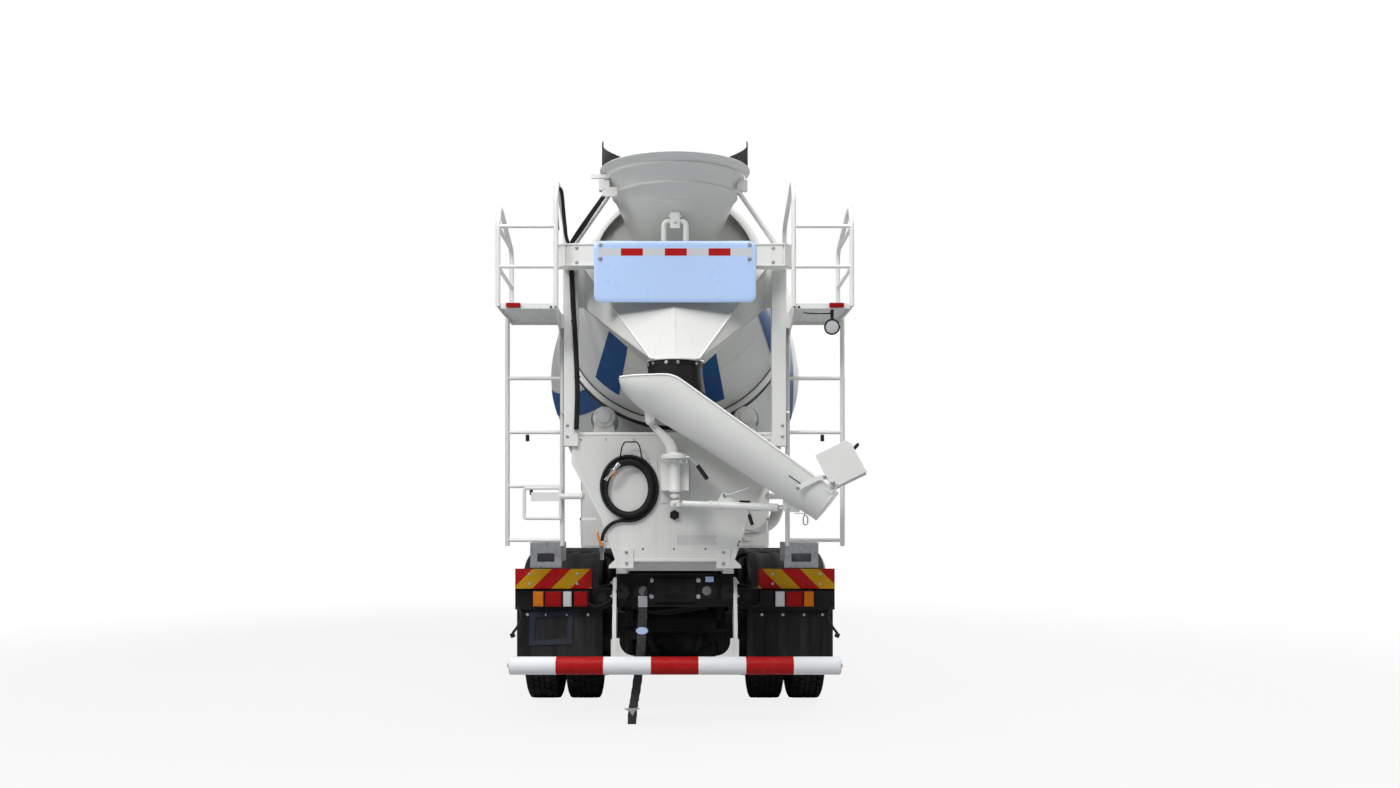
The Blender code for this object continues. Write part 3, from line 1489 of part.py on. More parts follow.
def build_bogie(black):
    """Inverted leaf springs on a cross tube that hangs in brackets under the rails."""
    shells = Shells()
    pad = AXLE_Z + HOUSING_RADIUS + PAD_RISE + SEAT_GAP
    half = SPRING_WIDTH / 2
    tip = PAD_HALF + SPRING_SEAT_RIM
    leaf = [
        (REAR_AXLE_Y - tip, pad),
        (MIDDLE_AXLE_Y + tip, pad),
        (MIDDLE_AXLE_Y + tip, pad + LEAF_TIP),
        (TRUNNION_Y + LEAF_FLAT, pad + LEAF_STACK),
        (TRUNNION_Y - LEAF_FLAT, pad + LEAF_STACK),
        (REAR_AXLE_Y - tip, pad + LEAF_TIP),
    ]
    rail_bottom = RAIL_TOP_Z - RAIL_HEIGHT - SEAT_GAP
    bracket = [
        (TRUNNION_Y - BRACKET_TOP_HALF, rail_bottom),
        (TRUNNION_Y - BRACKET_FOOT_HALF, AXLE_Z),
        (TRUNNION_Y + BRACKET_FOOT_HALF, AXLE_Z),
        (TRUNNION_Y + BRACKET_TOP_HALF, rail_bottom),
    ]
    for side in SIDES.values():
        low, high = ordered(side, SPRING_X - half, SPRING_X + half)
        shells.prism(leaf, "X", low, high)
        low, high = ordered(side, RAIL_OUTER_X - RAIL_FLANGE, RAIL_OUTER_X)
        shells.prism(bracket, "X", low, high)
        side_block(
            shells,
            side,
            SPRING_X - half - SPRING_SEAT_RIM,
            SPRING_X + half + SPRING_SEAT_RIM,
            TRUNNION_Y - BRACKET_FOOT_HALF - SPRING_SEAT_RIM,
            TRUNNION_Y + BRACKET_FOOT_HALF + SPRING_SEAT_RIM,
            AXLE_Z,
            pad + LEAF_STACK + OVERRUN,
        )
    tube = Matrix.Translation((0, TRUNNION_Y, AXLE_Z + OVERRUN)) @ Matrix.Rotation(math.pi / 2, 4, "Y")
    end = SPRING_X + half + OVERRUN
    shells.turned([(0, -end), (TRUNNION_RADIUS, -end), (TRUNNION_RADIUS, end), (0, end)], 14, tube)
    return shells.made("bogie_springs", black)


def tyre_points(middle):
    """Half of nothing hidden: the tyre's outline as radius and place across, from bead to bead."""
    half = TYRE_WIDTH / 2
    rise = TYRE_RADIUS - RIM_RADIUS
    # Shares of the half width and of the rise from the rim
    shares = [(-0.74, 0.0), (-1.0, 0.50), (-0.82, 1.0)]
    left = [(RIM_RADIUS + rise * up, middle + half * across) for across, up in shares]
    right = [(RIM_RADIUS + rise * up, middle - half * across) for across, up in reversed(shares)]
    return left + right


def build_rear_wheels(tyre):
    """Twin tyres on dished rims, with hub and brake drum: one body of revolution for each end of an axle."""
    inner_middle = REAR_TRACK / 2 - TWIN_SPACING / 2
    outer_middle = REAR_TRACK / 2 + TWIN_SPACING / 2
    inner_edge = AXLE_END_X
    bead = TYRE_WIDTH / 2 * 0.74
    disc = mixed(inner_middle, outer_middle, 0.5)
    outer_lip = outer_middle + bead + RIM_WALL
    profile = [(0, inner_edge), (BRAKE_RADIUS, inner_edge), (BRAKE_RADIUS, disc - RIM_WALL)]
    profile += [(RIM_RADIUS - RIM_WALL * 2, disc - RIM_WALL), (RIM_RADIUS - RIM_WALL, inner_middle - bead - RIM_WALL)]
    profile += [(RIM_RADIUS + RIM_WALL, inner_middle - bead - RIM_WALL)]
    profile += tyre_points(inner_middle)
    profile += tyre_points(outer_middle)
    profile += [
        (RIM_RADIUS + RIM_WALL, outer_lip),
        (RIM_RADIUS - RIM_WALL, outer_lip),
        (RIM_RADIUS - RIM_WALL * 3, disc + RIM_WALL * 3),
        (HUB_RADIUS, disc + RIM_WALL),
        (HUB_RADIUS, disc + HUB_NOSE),
        (HUB_RADIUS * 0.6, disc + HUB_NOSE + RIM_WALL * 2),
        (0, disc + HUB_NOSE + RIM_WALL * 2),
    ]
    turn = Matrix.Rotation(math.pi / 2, 4, "Y")
    for number, axle_y in enumerate((MIDDLE_AXLE_Y, REAR_AXLE_Y), start=1):
        for name, side in SIDES.items():
            spin = 0 if side > 0 else math.pi
            carrier = pivot(f"axle_{number}_end_{name}", (0, axle_y, AXLE_Z), (0, 0, spin))
            shells = Shells()
            shells.turned(profile, WHEEL_STEPS, turn)
            shells.made(f"rear_wheels_{number}_{name}", tyre, carrier)


def build_front_axle(black):
    """A forged beam between the kingpins, with the two leaf springs that hang it from the rails."""
    shells = Shells()
    drop_z = AXLE_Z - FRONT_BEAM_DROP
    half = BEAM_FLANGE / 2
    neck = KINGPIN_X - BEAM_NECK
    # Middle line of the beam: x, z
    line = [
        (-KINGPIN_X, AXLE_Z),
        (-neck, AXLE_Z - OVERRUN),
        (-SPRING_X - OVERRUN, drop_z),
        (SPRING_X + OVERRUN, drop_z),
        (neck, AXLE_Z - OVERRUN),
        (KINGPIN_X, AXLE_Z),
    ]
    corners = ((-half, -BEAM_TALL), (half, -BEAM_TALL), (half, BEAM_TALL), (-half, BEAM_TALL))
    shells.rings([[Vector((x, FRONT_AXLE_Y + y, z + up)) for y, up in corners] for x, z in line])
    boss = KINGPIN_RADIUS + SPRING_SEAT_RIM
    low = KINGPIN_HEIGHT / 2
    spring_half = SPRING_WIDTH / 2
    spring_x = RAIL_OUTER_X - RAIL_FLANGE / 2
    rail_bottom = RAIL_TOP_Z - RAIL_HEIGHT - SEAT_GAP
    seat = drop_z + BEAM_TALL
    eye = FRONT_LEAF_EYE
    upper = rail_bottom - eye * 0.6
    rear_half = [
        (-FRONT_LEAF_REACH, rail_bottom - eye),
        (-FRONT_LEAF_REACH, rail_bottom),
        (-FRONT_LEAF_REACH + eye * 0.67, rail_bottom),
        (-FRONT_LEAF_REACH + eye * 0.75, upper),
        (-FRONT_LEAF_FLAT, seat + PAD_HALF),
    ]
    leaf = [(FRONT_AXLE_Y + y, z) for y, z in rear_half]
    leaf += [(FRONT_AXLE_Y - y, z) for y, z in reversed(rear_half)]
    leaf += [(FRONT_AXLE_Y + FRONT_LEAF_FLAT, seat - SPRING_SEAT_RIM)]
    leaf += [(FRONT_AXLE_Y - FRONT_LEAF_FLAT, seat - SPRING_SEAT_RIM)]
    for side in SIDES.values():
        place = Matrix.Translation((side * KINGPIN_X, FRONT_AXLE_Y, AXLE_Z))
        shells.turned([(0, -low), (boss, -low), (boss, low), (0, low)], 14, place)
        low_x, high_x = ordered(side, spring_x - spring_half, spring_x + spring_half)
        shells.prism(leaf, "X", low_x, high_x)
    return shells.made("front_axle", black)


def build_knuckles(grey):
    """A fork round each kingpin boss, with the stub that carries the wheel and a steering arm."""
    for name, side in SIDES.items():
        turn = 0 if side > 0 else math.pi
        carrier = pivot(f"kingpin_{name}", (side * KINGPIN_X, FRONT_AXLE_Y, AXLE_Z), (0, 0, turn))
        shells = Shells()
        reach = KINGPIN_RADIUS + KNUCKLE_PLATE
        gap = KINGPIN_HEIGHT / 2 + STRUT_PIN_GAP / 2
        plate = KNUCKLE_PLATE
        wheel_face = front_wheel_face() - KINGPIN_X
        for way in (-1, 1):
            low, high = sorted((way * gap, way * (gap + plate)))
            shells.block((-KINGPIN_RADIUS, -KINGPIN_RADIUS, low), (reach + plate, KINGPIN_RADIUS, high))
        shells.block((reach, -KINGPIN_RADIUS, -gap - plate), (reach + plate, KINGPIN_RADIUS, gap + plate))
        turned = Matrix.Rotation(math.pi / 2, 4, "Y")
        profile = [
            (0, reach),
            (STUB_RADIUS, reach),
            (STUB_RADIUS, wheel_face - AXLE_FLANGE),
            (BRAKE_RADIUS, wheel_face - AXLE_FLANGE),
            (BRAKE_RADIUS, wheel_face - SEAT_GAP),
            (0, wheel_face - SEAT_GAP),
        ]
        shells.turned(profile, 18, turned)
        shells.made(f"knuckle_{name}", grey, carrier)


def front_wheel_face():
    return FRONT_TRACK / 2 - TYRE_WIDTH / 2 + 0.03


def build_front_wheels(tyre):
    middle = FRONT_TRACK / 2
    bead = TYRE_WIDTH / 2 * 0.74
    inner = front_wheel_face()
    lip = middle + bead + RIM_WALL
    disc = middle + 0.02
    profile = [(0, inner), (BRAKE_RADIUS, inner), (BRAKE_RADIUS, disc - RIM_WALL)]
    profile += [(RIM_RADIUS - RIM_WALL * 2, disc - RIM_WALL), (RIM_RADIUS - RIM_WALL, middle - bead - RIM_WALL)]
    profile += [(RIM_RADIUS + RIM_WALL, middle - bead - RIM_WALL)]
    profile += tyre_points(middle)
    profile += [
        (RIM_RADIUS + RIM_WALL, lip),
        (RIM_RADIUS - RIM_WALL, lip),
        (RIM_RADIUS - RIM_WALL * 3, disc + RIM_WALL),
        (HUB_RADIUS, disc + RIM_WALL * 3),
        (HUB_RADIUS, disc + HUB_NOSE),
        (0, disc + HUB_NOSE),
    ]
    turn = Matrix.Rotation(math.pi / 2, 4, "Y")
    for name, side in SIDES.items():
        spin = 0 if side > 0 else math.pi
        carrier = pivot(f"front_spin_{name}", (0, FRONT_AXLE_Y, AXLE_Z), (0, 0, spin))
        shells = Shells()
        shells.turned(profile, WHEEL_STEPS, turn)
        shells.made(f"front_wheel_{name}", tyre, carrier)


def build_drive_line(grey):
    shells = Shells()
    shells.block(
        (-ENGINE_HALF_WIDTH, ENGINE_REAR_Y, ENGINE_BOTTOM_Z),
        (ENGINE_HALF_WIDTH, ENGINE_REAR_Y + ENGINE_LENGTH, ENGINE_TOP_Z),
    )
    web = RAIL_OUTER_X - RAIL_WALL - SEAT_GAP
    foot_z = RAIL_TOP_Z - RAIL_HEIGHT / 2
    for share in (0.2, 0.8):
        y = ENGINE_REAR_Y + ENGINE_LENGTH * share
        shells.block((-web, y - 0.06, foot_z - 0.05), (web, y + 0.06, foot_z + 0.05))
    shells.made("engine", grey)
    shaft = Shells()
    pinion_y = MIDDLE_AXLE_Y + PINION_LENGTH + SEAT_GAP
    shaft.tube(
        [
            (0, pinion_y, SHAFT_REAR_Z),
            (0, pinion_y + SHAFT_RADIUS * 2, SHAFT_REAR_Z),
            (0, ENGINE_REAR_Y - SHAFT_RADIUS * 2, SHAFT_FRONT_Z),
            (0, ENGINE_REAR_Y - SEAT_GAP, SHAFT_FRONT_Z),
        ],
        SHAFT_RADIUS,
        10,
    )
    shaft.made("propeller_shaft", grey)


def build_bar(white):
    """The underrun bar on its two plates, bolted to the outside of the rails."""
    shells = Shells()
    place = Matrix.Translation((0, BAR_Y, BAR_Z)) @ Matrix.Rotation(math.pi / 2, 4, "Y")
    half = BAR_HALF_LENGTH
    shells.turned([(0, -half), (BAR_RADIUS, -half), (BAR_RADIUS, half), (0, half)], 20, place)
    for side in SIDES.values():
        near = RAIL_OUTER_X + SEAT_GAP
        low, high = ordered(side, near, near + STRUT_PLATE)
        top = RAIL_TOP_Z - OVERRUN * 2
        outline = [
            (BAR_Y, BAR_Z - BAR_RADIUS * 0.3),
            (BAR_Y + BAR_RADIUS * 1.2, BAR_Z - BAR_RADIUS * 0.3),
            (BAR_Y + STRUT_DEPTH, RAIL_TOP_Z - RAIL_HEIGHT),
            (BAR_Y + STRUT_DEPTH * 1.45, top),
            (RAIL_REAR_Y + OVERRUN, top),
            (BAR_Y, BAR_Z + STRUT_FOOT_RISE),
        ]
        shells.prism(outline, "X", low, high)
    return shells.made("underrun_bar", white)


def build_tail(black):
    """Lamp carrier, chevron board and mud flap of each side, on one beam bolted to the rail."""
    for name, side in SIDES.items():
        shells = Shells()
        near = RAIL_OUTER_X + SEAT_GAP
        side_block(
            shells, side, near, TAIL_OUTER_X, TAIL_Y, TAIL_Y + TAIL_DEPTH, TAIL_TOP_Z - TAIL_HEIGHT, TAIL_TOP_Z
        )
        for low_x, high_x in LAMP_EDGES:
            lamp_top = TAIL_TOP_Z - RAIL_WALL
            side_block(
                shells,
                side,
                low_x,
                high_x,
                TAIL_Y - LAMP_DEPTH,
                TAIL_Y + TAIL_DEPTH / 2,
                lamp_top - LAMP_HEIGHT,
                lamp_top,
            )
        board_low = TAIL_TOP_Z - OVERRUN
        far = TAIL_OUTER_X
        side_block(
            shells,
            side,
            far - CHEVRON_WIDTH,
            far,
            TAIL_Y,
            TAIL_Y + CHEVRON_THICK,
            board_low,
            TAIL_TOP_Z + CHEVRON_HEIGHT,
        )
        flap_y = TAIL_Y + TAIL_DEPTH / 2
        side_block(
            shells,
            side,
            TAIL_OUTER_X - FLAP_WIDTH,
            TAIL_OUTER_X - RAIL_WALL,
            flap_y - FLAP_THICK / 2,
            flap_y + FLAP_THICK / 2,
            TAIL_TOP_Z - TAIL_HEIGHT - FLAP_DROP,
            TAIL_TOP_Z - TAIL_HEIGHT / 2,
        )
        shells.made(f"tail_carrier_{name}", black)


def build_mudguards(black):
    """An arched sheet over each wheel of a bogie side, joined between the wheels and stayed to the rail."""
    radius = TYRE_RADIUS + GUARD_GAP
    for name, side in SIDES.items():
        shells = Shells()
        top = AXLE_Z + radius + GUARD_STAY_DROP
        outer = []
        for axle_y in (REAR_AXLE_Y, MIDDLE_AXLE_Y):
            outer += [
                (y, min(z, top)) for y, z in arc((axle_y, AXLE_Z), radius * 1.04, 158, 22, GUARD_STEPS)
            ]
        inner = [(y, z - GUARD_SHEET) for y, z in reversed(outer)]
        low, high = ordered(side, GUARD_INNER_X, GUARD_OUTER_X)
        shells.prism(outer + inner, "X", low, high)
        near = RAIL_OUTER_X + SEAT_GAP
        for stay_y in (REAR_AXLE_Y, MIDDLE_AXLE_Y):
            side_block(
                shells,
                side,
                near,
                GUARD_OUTER_X - GUARD_STAY_DROP,
                stay_y - OVERRUN,
                stay_y + OVERRUN,
                outer[GUARD_STEPS // 2][1] - GUARD_SHEET * 3,
                outer[GUARD_STEPS // 2][1] - GUARD_SHEET / 2,
            )
            side_block(
                shells,
                side,
                near,
                near + OVERRUN,
                stay_y - OVERRUN,
                stay_y + OVERRUN,
                RAIL_TOP_Z - RAIL_HEIGHT / 2,
                outer[GUARD_STEPS // 2][1] - GUARD_SHEET / 2,
            )
        shells.made(f"mudguard_{name}", black)


def cab_outline(inset=0.0):
    """The cab seen from the side: y, z."""
    return [
        (CAB_REAR_Y + inset, CAB_BOTTOM_Z + inset),
        (CAB_FRONT_Y - inset, CAB_BOTTOM_Z + inset),
        (CAB_FRONT_Y - inset, CHEEK_SILL_Z),
        (BROW_Y - inset, BROW_Z),
        (ROOF_FRONT_Y - inset, CAB_ROOF_Z - inset),
        (CAB_REAR_Y + inset, CAB_ROOF_Z - inset),
    ]


DOOR_REAR_Y = 3.02
DOOR_FRONT_Y = 4.02
DOOR_BOTTOM_Z = 1.30
DOOR_TOP_Z = 2.78
SILL_Z = 1.95


def door_outline(grow=0.0):
    """A door with its raked front pillar: y, z."""
    return [
        (DOOR_REAR_Y - grow, DOOR_BOTTOM_Z - grow),
        (DOOR_FRONT_Y + grow, DOOR_BOTTOM_Z - grow),
        (DOOR_FRONT_Y + grow, SILL_Z),
        (DOOR_FRONT_Y - PILLAR_RAKE + grow, DOOR_TOP_Z + grow),
        (DOOR_REAR_Y - grow, DOOR_TOP_Z + grow),
    ]


def window_outline(grow=0.0):
    """The window of a door: y, z."""
    inset = WINDOW_INSET - grow
    sill = SILL_Z + OVERRUN - grow
    return [
        (DOOR_REAR_Y + inset, sill),
        (DOOR_FRONT_Y - inset - DOOR_GAP * 1.5, sill),
        (DOOR_FRONT_Y - PILLAR_RAKE - inset, DOOR_TOP_Z - inset),
        (DOOR_REAR_Y + inset, DOOR_TOP_Z - inset),
    ]


def build_cab(white, glass, dark):
    """A hollow cab with its doors, windscreen and a plain interior."""
    hull = Shells()
    hull.prism(cab_outline(), "X", -CAB_HALF_WIDTH, CAB_HALF_WIDTH)
    shell = hull.made("cab_shell", white)
    rounding = shell.modifiers.new("rounding", "BEVEL")
    rounding.width = CAB_ROUND
    rounding.segments = 2
    rounding.limit_method = "ANGLE"
    room = Shells()
    inside = cab_outline(CAB_WALL)
    inside[0] = (inside[0][0], CAB_FLOOR_Z)
    inside[1] = (inside[1][0], CAB_FLOOR_Z)
    room.prism(inside, "X", -CAB_HALF_WIDTH + CAB_WALL, CAB_HALF_WIDTH - CAB_WALL)
    cut(shell, room, "cab_room")
    tunnel = Shells()
    tunnel.block(
        (-TUNNEL_HALF_WIDTH, CAB_REAR_Y - OVERRUN, CAB_BOTTOM_Z - OVERRUN),
        (TUNNEL_HALF_WIDTH, CAB_FRONT_Y - CAB_WALL, TUNNEL_TOP_Z),
    )
    cut(shell, tunnel, "cab_tunnel")
    doors = Shells()
    doors.prism(door_outline(), "X", -CAB_HALF_WIDTH - OVERRUN, CAB_HALF_WIDTH + OVERRUN)
    cut(shell, doors, "cab_door_openings")
    screen = Shells()
    half = CAB_HALF_WIDTH - CAB_WALL * 1.5
    screen.block((-half, ROOF_FRONT_Y, SCREEN_LOW_Z), (half, CAB_FRONT_Y + OVERRUN, SCREEN_HIGH_Z))
    cut(shell, screen, "cab_screen_opening")
    rear = Shells()
    rear.block(
        (-REAR_WINDOW_HALF, CAB_REAR_Y - OVERRUN, REAR_WINDOW_LOW_Z),
        (REAR_WINDOW_HALF, CAB_REAR_Y + CAB_WALL + OVERRUN, REAR_WINDOW_HIGH_Z),
    )
    cut(shell, rear, "cab_rear_window")
    arches = Shells()
    for side in SIDES.values():
        low, high = ordered(side, TUNNEL_HALF_WIDTH - OVERRUN, CAB_HALF_WIDTH + OVERRUN)
        outline = arc((FRONT_AXLE_Y, AXLE_Z + OVERRUN * 2), ARCH_RADIUS, 20, 160, 6)
        below = CAB_BOTTOM_Z - CAB_WALL * 5
        outline += [(outline[-1][0], below), (outline[0][0], below)]
        arches.prism(outline, "X", low, high)
    cut(shell, arches, "cab_arches")
    joined(shell, cab_feet(), "cab_feet")
    build_doors(white, glass)
    build_interior(dark)
    build_windscreen(glass)


def cab_feet():
    """Two lugs at the front, which the cab tilts on, and two feet that rest on the rails at the rear."""
    shells = Shells()
    lug = arc((CAB_PIVOT_Y, CAB_PIVOT_Z), CAB_LUG_RADIUS, 180, 360, 8)
    lug += [
        (CAB_PIVOT_Y + CAB_LUG_RADIUS, TUNNEL_TOP_Z + OVERRUN),
        (CAB_PIVOT_Y - CAB_LUG_RADIUS, TUNNEL_TOP_Z + OVERRUN),
    ]
    rest_x = RAIL_OUTER_X - RAIL_FLANGE
    for side in SIDES.values():
        low, high = ordered(side, CAB_LUG_X, CAB_LUG_X + CAB_LUG_THICK)
        shells.prism(lug, "X", low, high)
        side_block(
            shells,
            side,
            rest_x,
            rest_x + CAB_REST_SIZE,
            CAB_REAR_Y + OVERRUN,
            CAB_REAR_Y + OVERRUN + CAB_REST_SIZE,
            RAIL_TOP_Z + SEAT_GAP,
            TUNNEL_TOP_Z + OVERRUN,
        )
    return shells


def build_doors(white, glass):
    """Each door turns on hinge barrels that lie against the cab's skin ahead of it."""
    hinge_x = CAB_HALF_WIDTH + DOOR_HINGE_RADIUS + SEAT_GAP
    skin = hinge_x - CAB_HALF_WIDTH
    for name, side in SIDES.items():
        carrier = pivot(f"door_axis_{name}", (side * hinge_x, DOOR_FRONT_Y, DOOR_BOTTOM_Z))

        def local(outline):
            return [(y - DOOR_FRONT_Y, z - DOOR_BOTTOM_Z) for y, z in outline]

        low, high = ordered(-side, skin, skin + CAB_WALL)
        panel = Shells()
        panel.prism(local(door_outline(-DOOR_GAP)), "X", low, high)
        door = panel.made(f"cab_door_{name}", white, carrier)
        opening = Shells()
        opening.prism(local(window_outline()), "X", low - OVERRUN, high + OVERRUN)
        cut(door, opening, f"door_window_{name}")
        hinges = Shells()
        for hinge_z in (0.10, 0.50):
            place = Matrix.Translation((0, 0, hinge_z))
            profile = [
                (0, 0),
                (DOOR_HINGE_RADIUS, 0),
                (DOOR_HINGE_RADIUS, DOOR_HINGE_HEIGHT),
                (0, DOOR_HINGE_HEIGHT),
            ]
            hinges.turned(profile, 10, place)
            leaf_low, leaf_high = ordered(-side, 0, skin + SEAT_GAP * 10)
            hinges.block(
                (leaf_low, -DOOR_HINGE_HEIGHT, hinge_z),
                (leaf_high, -DOOR_GAP * 1.5, hinge_z + DOOR_HINGE_HEIGHT),
            )
            leaf_low, leaf_high = ordered(-side, -DOOR_HINGE_RADIUS / 2, DOOR_HINGE_RADIUS / 2)
            hinges.block(
                (leaf_low, -DOOR_HINGE_HEIGHT, hinge_z),
                (leaf_high, 0, hinge_z + DOOR_HINGE_HEIGHT),
            )
        joined(door, hinges, f"door_hinges_{name}")
        pane = Shells()
        middle = (low + high) / 2
        sight = local(window_outline(-SEAT_GAP))
        pane.prism(sight, "X", middle - GLASS_THICK / 2, middle + GLASS_THICK / 2)
        pane.made(f"door_glass_{name}", glass, carrier)


def build_windscreen(glass):
    """One flat pane, raked with the cab's face, inside its opening."""
    half = CAB_HALF_WIDTH - CAB_WALL * 1.5 - SEAT_GAP
    low_z = SCREEN_LOW_Z + SEAT_GAP
    high_z = SCREEN_HIGH_Z - SEAT_GAP

    def face_y(z):
        share = (z - CHEEK_SILL_Z) / (BROW_Z - CHEEK_SILL_Z)
        return mixed(CAB_FRONT_Y, BROW_Y, share) - CAB_WALL / 2

    rings = []
    for z in (low_z, high_z):
        y = face_y(z)
        rings.append(
            [
                Vector((-half, y, z)),
                Vector((half, y, z)),
                Vector((half, y + GLASS_THICK, z)),
                Vector((-half, y + GLASS_THICK, z)),
            ]
        )
    shells = Shells()
    shells.rings(rings)
    return shells.made("windscreen", glass)


def build_interior(dark):
    """Floor mat, two chairs, dashboard and steering wheel as one trimmed unit."""
    shells = Shells()
    floor = CAB_FLOOR_Z + SEAT_GAP
    ease = CAB_WALL / 6
    rear = CAB_REAR_Y + CAB_WALL + ease
    front = CAB_FRONT_Y - CAB_WALL - ease
    half = CAB_HALF_WIDTH - CAB_WALL - OVERRUN
    shells.block((-half, rear, floor), (half, front, floor + OVERRUN))
    for side in SIDES.values():
        side_block(
            shells,
            side,
            CHAIR_X - CHAIR_HALF,
            CHAIR_X + CHAIR_HALF,
            CHAIR_REAR_Y,
            CHAIR_FRONT_Y,
            floor + ease,
            floor + CHAIR_HEIGHT,
        )
        side_block(
            shells,
            side,
            CHAIR_X - CHAIR_HALF + OVERRUN,
            CHAIR_X + CHAIR_HALF - OVERRUN,
            CHAIR_REAR_Y + OVERRUN * 2 - BACK_THICK,
            CHAIR_REAR_Y + OVERRUN * 2,
            floor + CHAIR_HEIGHT / 2,
            floor + BACK_TOP,
        )
    shells.block((-half, front - DASH_DEPTH, floor + ease), (half, front, floor + DASH_HEIGHT))
    hub = (-CHAIR_X, front - DASH_DEPTH * 1.3, floor + DASH_HEIGHT * 1.15)
    wheel = Matrix.Translation(hub) @ Matrix.Rotation(math.radians(40), 4, "X")
    line = [(0, 0), (STEERING_RADIUS, 0), (STEERING_RADIUS, STEERING_THICK), (0, STEERING_THICK)]
    shells.turned(line, 16, wheel)
    foot = (-CHAIR_X, front - DASH_DEPTH * 0.6, floor + DASH_HEIGHT * 0.62)
    shells.tube([(hub[0], hub[1], hub[2] + ease), foot], STEERING_THICK)
    return shells.made("cab_interior", dark)


def build_bumper(white):
    """A bumper that wraps round the front corners, with the entry steps behind it."""
    wall = BUMPER_WALL
    shells = Shells()
    shells.block(
        (-BUMPER_HALF_WIDTH, FRONT_Y - wall, BUMPER_BOTTOM_Z), (BUMPER_HALF_WIDTH, FRONT_Y, BUMPER_TOP_Z)
    )
    for side in SIDES.values():
        side_block(
            shells,
            side,
            BUMPER_HALF_WIDTH - wall,
            BUMPER_HALF_WIDTH,
            STEP_REAR_Y,
            FRONT_Y - wall / 2,
            BUMPER_BOTTOM_Z,
            BUMPER_TOP_Z,
        )
        for step_z in (BUMPER_BOTTOM_Z, STEP_MIDDLE_Z, BUMPER_TOP_Z - STEP_THICK):
            side_block(
                shells,
                side,
                STEP_INNER_X,
                BUMPER_HALF_WIDTH - wall / 2,
                STEP_REAR_Y,
                FRONT_Y - wall / 2,
                step_z,
                step_z + STEP_THICK,
            )
    shells.block(
        (-BUMPER_ARM_HALF, RAIL_FRONT_Y + SEAT_GAP, BUMPER_ARM_LOW_Z),
        (BUMPER_ARM_HALF, FRONT_Y - wall / 2, BUMPER_ARM_HIGH_Z),
    )
    return shells.made("front_bumper", white)


def build_side_units(grey, black):
    """Fuel tank on the left rail, battery box on the right, silencer behind the cab and the water tank."""
    hung_x = RAIL_OUTER_X + SEAT_GAP
    tank = Shells()
    low_z = TANK_TOP_Z - TANK_HEIGHT
    corner = TANK_CORNER
    outline = []
    left = -TANK_X - TANK_WIDTH
    for centre, start in (
        ((-TANK_X - corner, low_z + corner), -90),
        ((-TANK_X - corner, TANK_TOP_Z - corner), 0),
        ((left + corner, TANK_TOP_Z - corner), 90),
        ((left + corner, low_z + corner), 180),
    ):
        outline += arc(centre, corner, start, start + 90, 3)
    tank.prism(outline, "Y", TANK_REAR_Y, TANK_REAR_Y + TANK_LENGTH)
    hanger_top = TANK_TOP_Z - HANGER_HALF
    for share in (0.2, 0.8):
        y = TANK_REAR_Y + TANK_LENGTH * share
        tank.block(
            (-TANK_X - corner / 2, y - HANGER_HALF, low_z + corner * 1.2),
            (-hung_x, y + HANGER_HALF, hanger_top - OVERRUN),
        )
    tank.made("fuel_tank", grey)
    box = Shells()
    box.block((TANK_X, BOX_REAR_Y, BOX_LOW_Z), (TANK_X + BOX_WIDTH, BOX_FRONT_Y, TANK_TOP_Z))
    for share in (0.2, 0.8):
        y = mixed(BOX_REAR_Y, BOX_FRONT_Y, share)
        box.block(
            (hung_x, y - HANGER_HALF, TANK_TOP_Z - TANK_HEIGHT / 4),
            (TANK_X + corner / 2, y + HANGER_HALF, hanger_top),
        )
    box.made("battery_box", black)
    silencer = Shells()
    place = Matrix.Translation((SILENCER_X, SILENCER_Y, SILENCER_Z)) @ Matrix.Rotation(-math.pi / 2, 4, "X")
    ease = SILENCER_RADIUS / 8
    line = [
        (0, 0),
        (SILENCER_RADIUS - ease, 0),
        (SILENCER_RADIUS, ease),
        (SILENCER_RADIUS, SILENCER_LENGTH - ease),
        (SILENCER_RADIUS - ease, SILENCER_LENGTH),
        (0, SILENCER_LENGTH),
    ]
    silencer.turned(line, 18, place)
    middle_y = SILENCER_Y + SILENCER_LENGTH * 0.42
    silencer.block(
        (hung_x, middle_y - HANGER_HALF, SILENCER_Z + SILENCER_RADIUS / 2),
        (SILENCER_X - SILENCER_RADIUS * 0.45, middle_y + HANGER_HALF, SILENCER_Z + SILENCER_RADIUS * 0.83),
    )
    silencer.made("silencer", grey)
    water = Shells()
    water_z = STAND_POST_TOP_Z + SEAT_GAP + WATER_RADIUS + WATER_SADDLE
    place = Matrix.Translation((0, WATER_Y, water_z)) @ Matrix.Rotation(math.pi / 2, 4, "Y")
    end = WATER_HALF_LENGTH
    water.turned(
        [
            (0, -end),
            (WATER_RADIUS * 0.75, -end + WATER_SADDLE),
            (WATER_RADIUS, -end + WATER_DOME),
            (WATER_RADIUS, end - WATER_DOME),
            (WATER_RADIUS * 0.75, end - WATER_SADDLE),
            (0, end),
        ],
        18,
        place,
    )
    for side in SIDES.values():
        side_block(
            water,
            side,
            STAND_POST_X - HANGER_HALF * 1.5,
            STAND_POST_X + HANGER_HALF,
            WATER_Y - WATER_RADIUS / 2,
            WATER_Y + OVERRUN * 2,
            STAND_POST_TOP_Z + SEAT_GAP,
            water_z - WATER_RADIUS / 2,
        )
    water.made("water_tank", grey)


COIL_X = -0.335
COIL_Z = 1.745
COIL_HALF_WIDTH = 0.205
COIL_HALF_HEIGHT = 0.245
COIL_BUNDLE = 0.075
COIL_DEPTH = 0.055

STRAP_HALF = 0.03
STRAP_THICK = 0.006
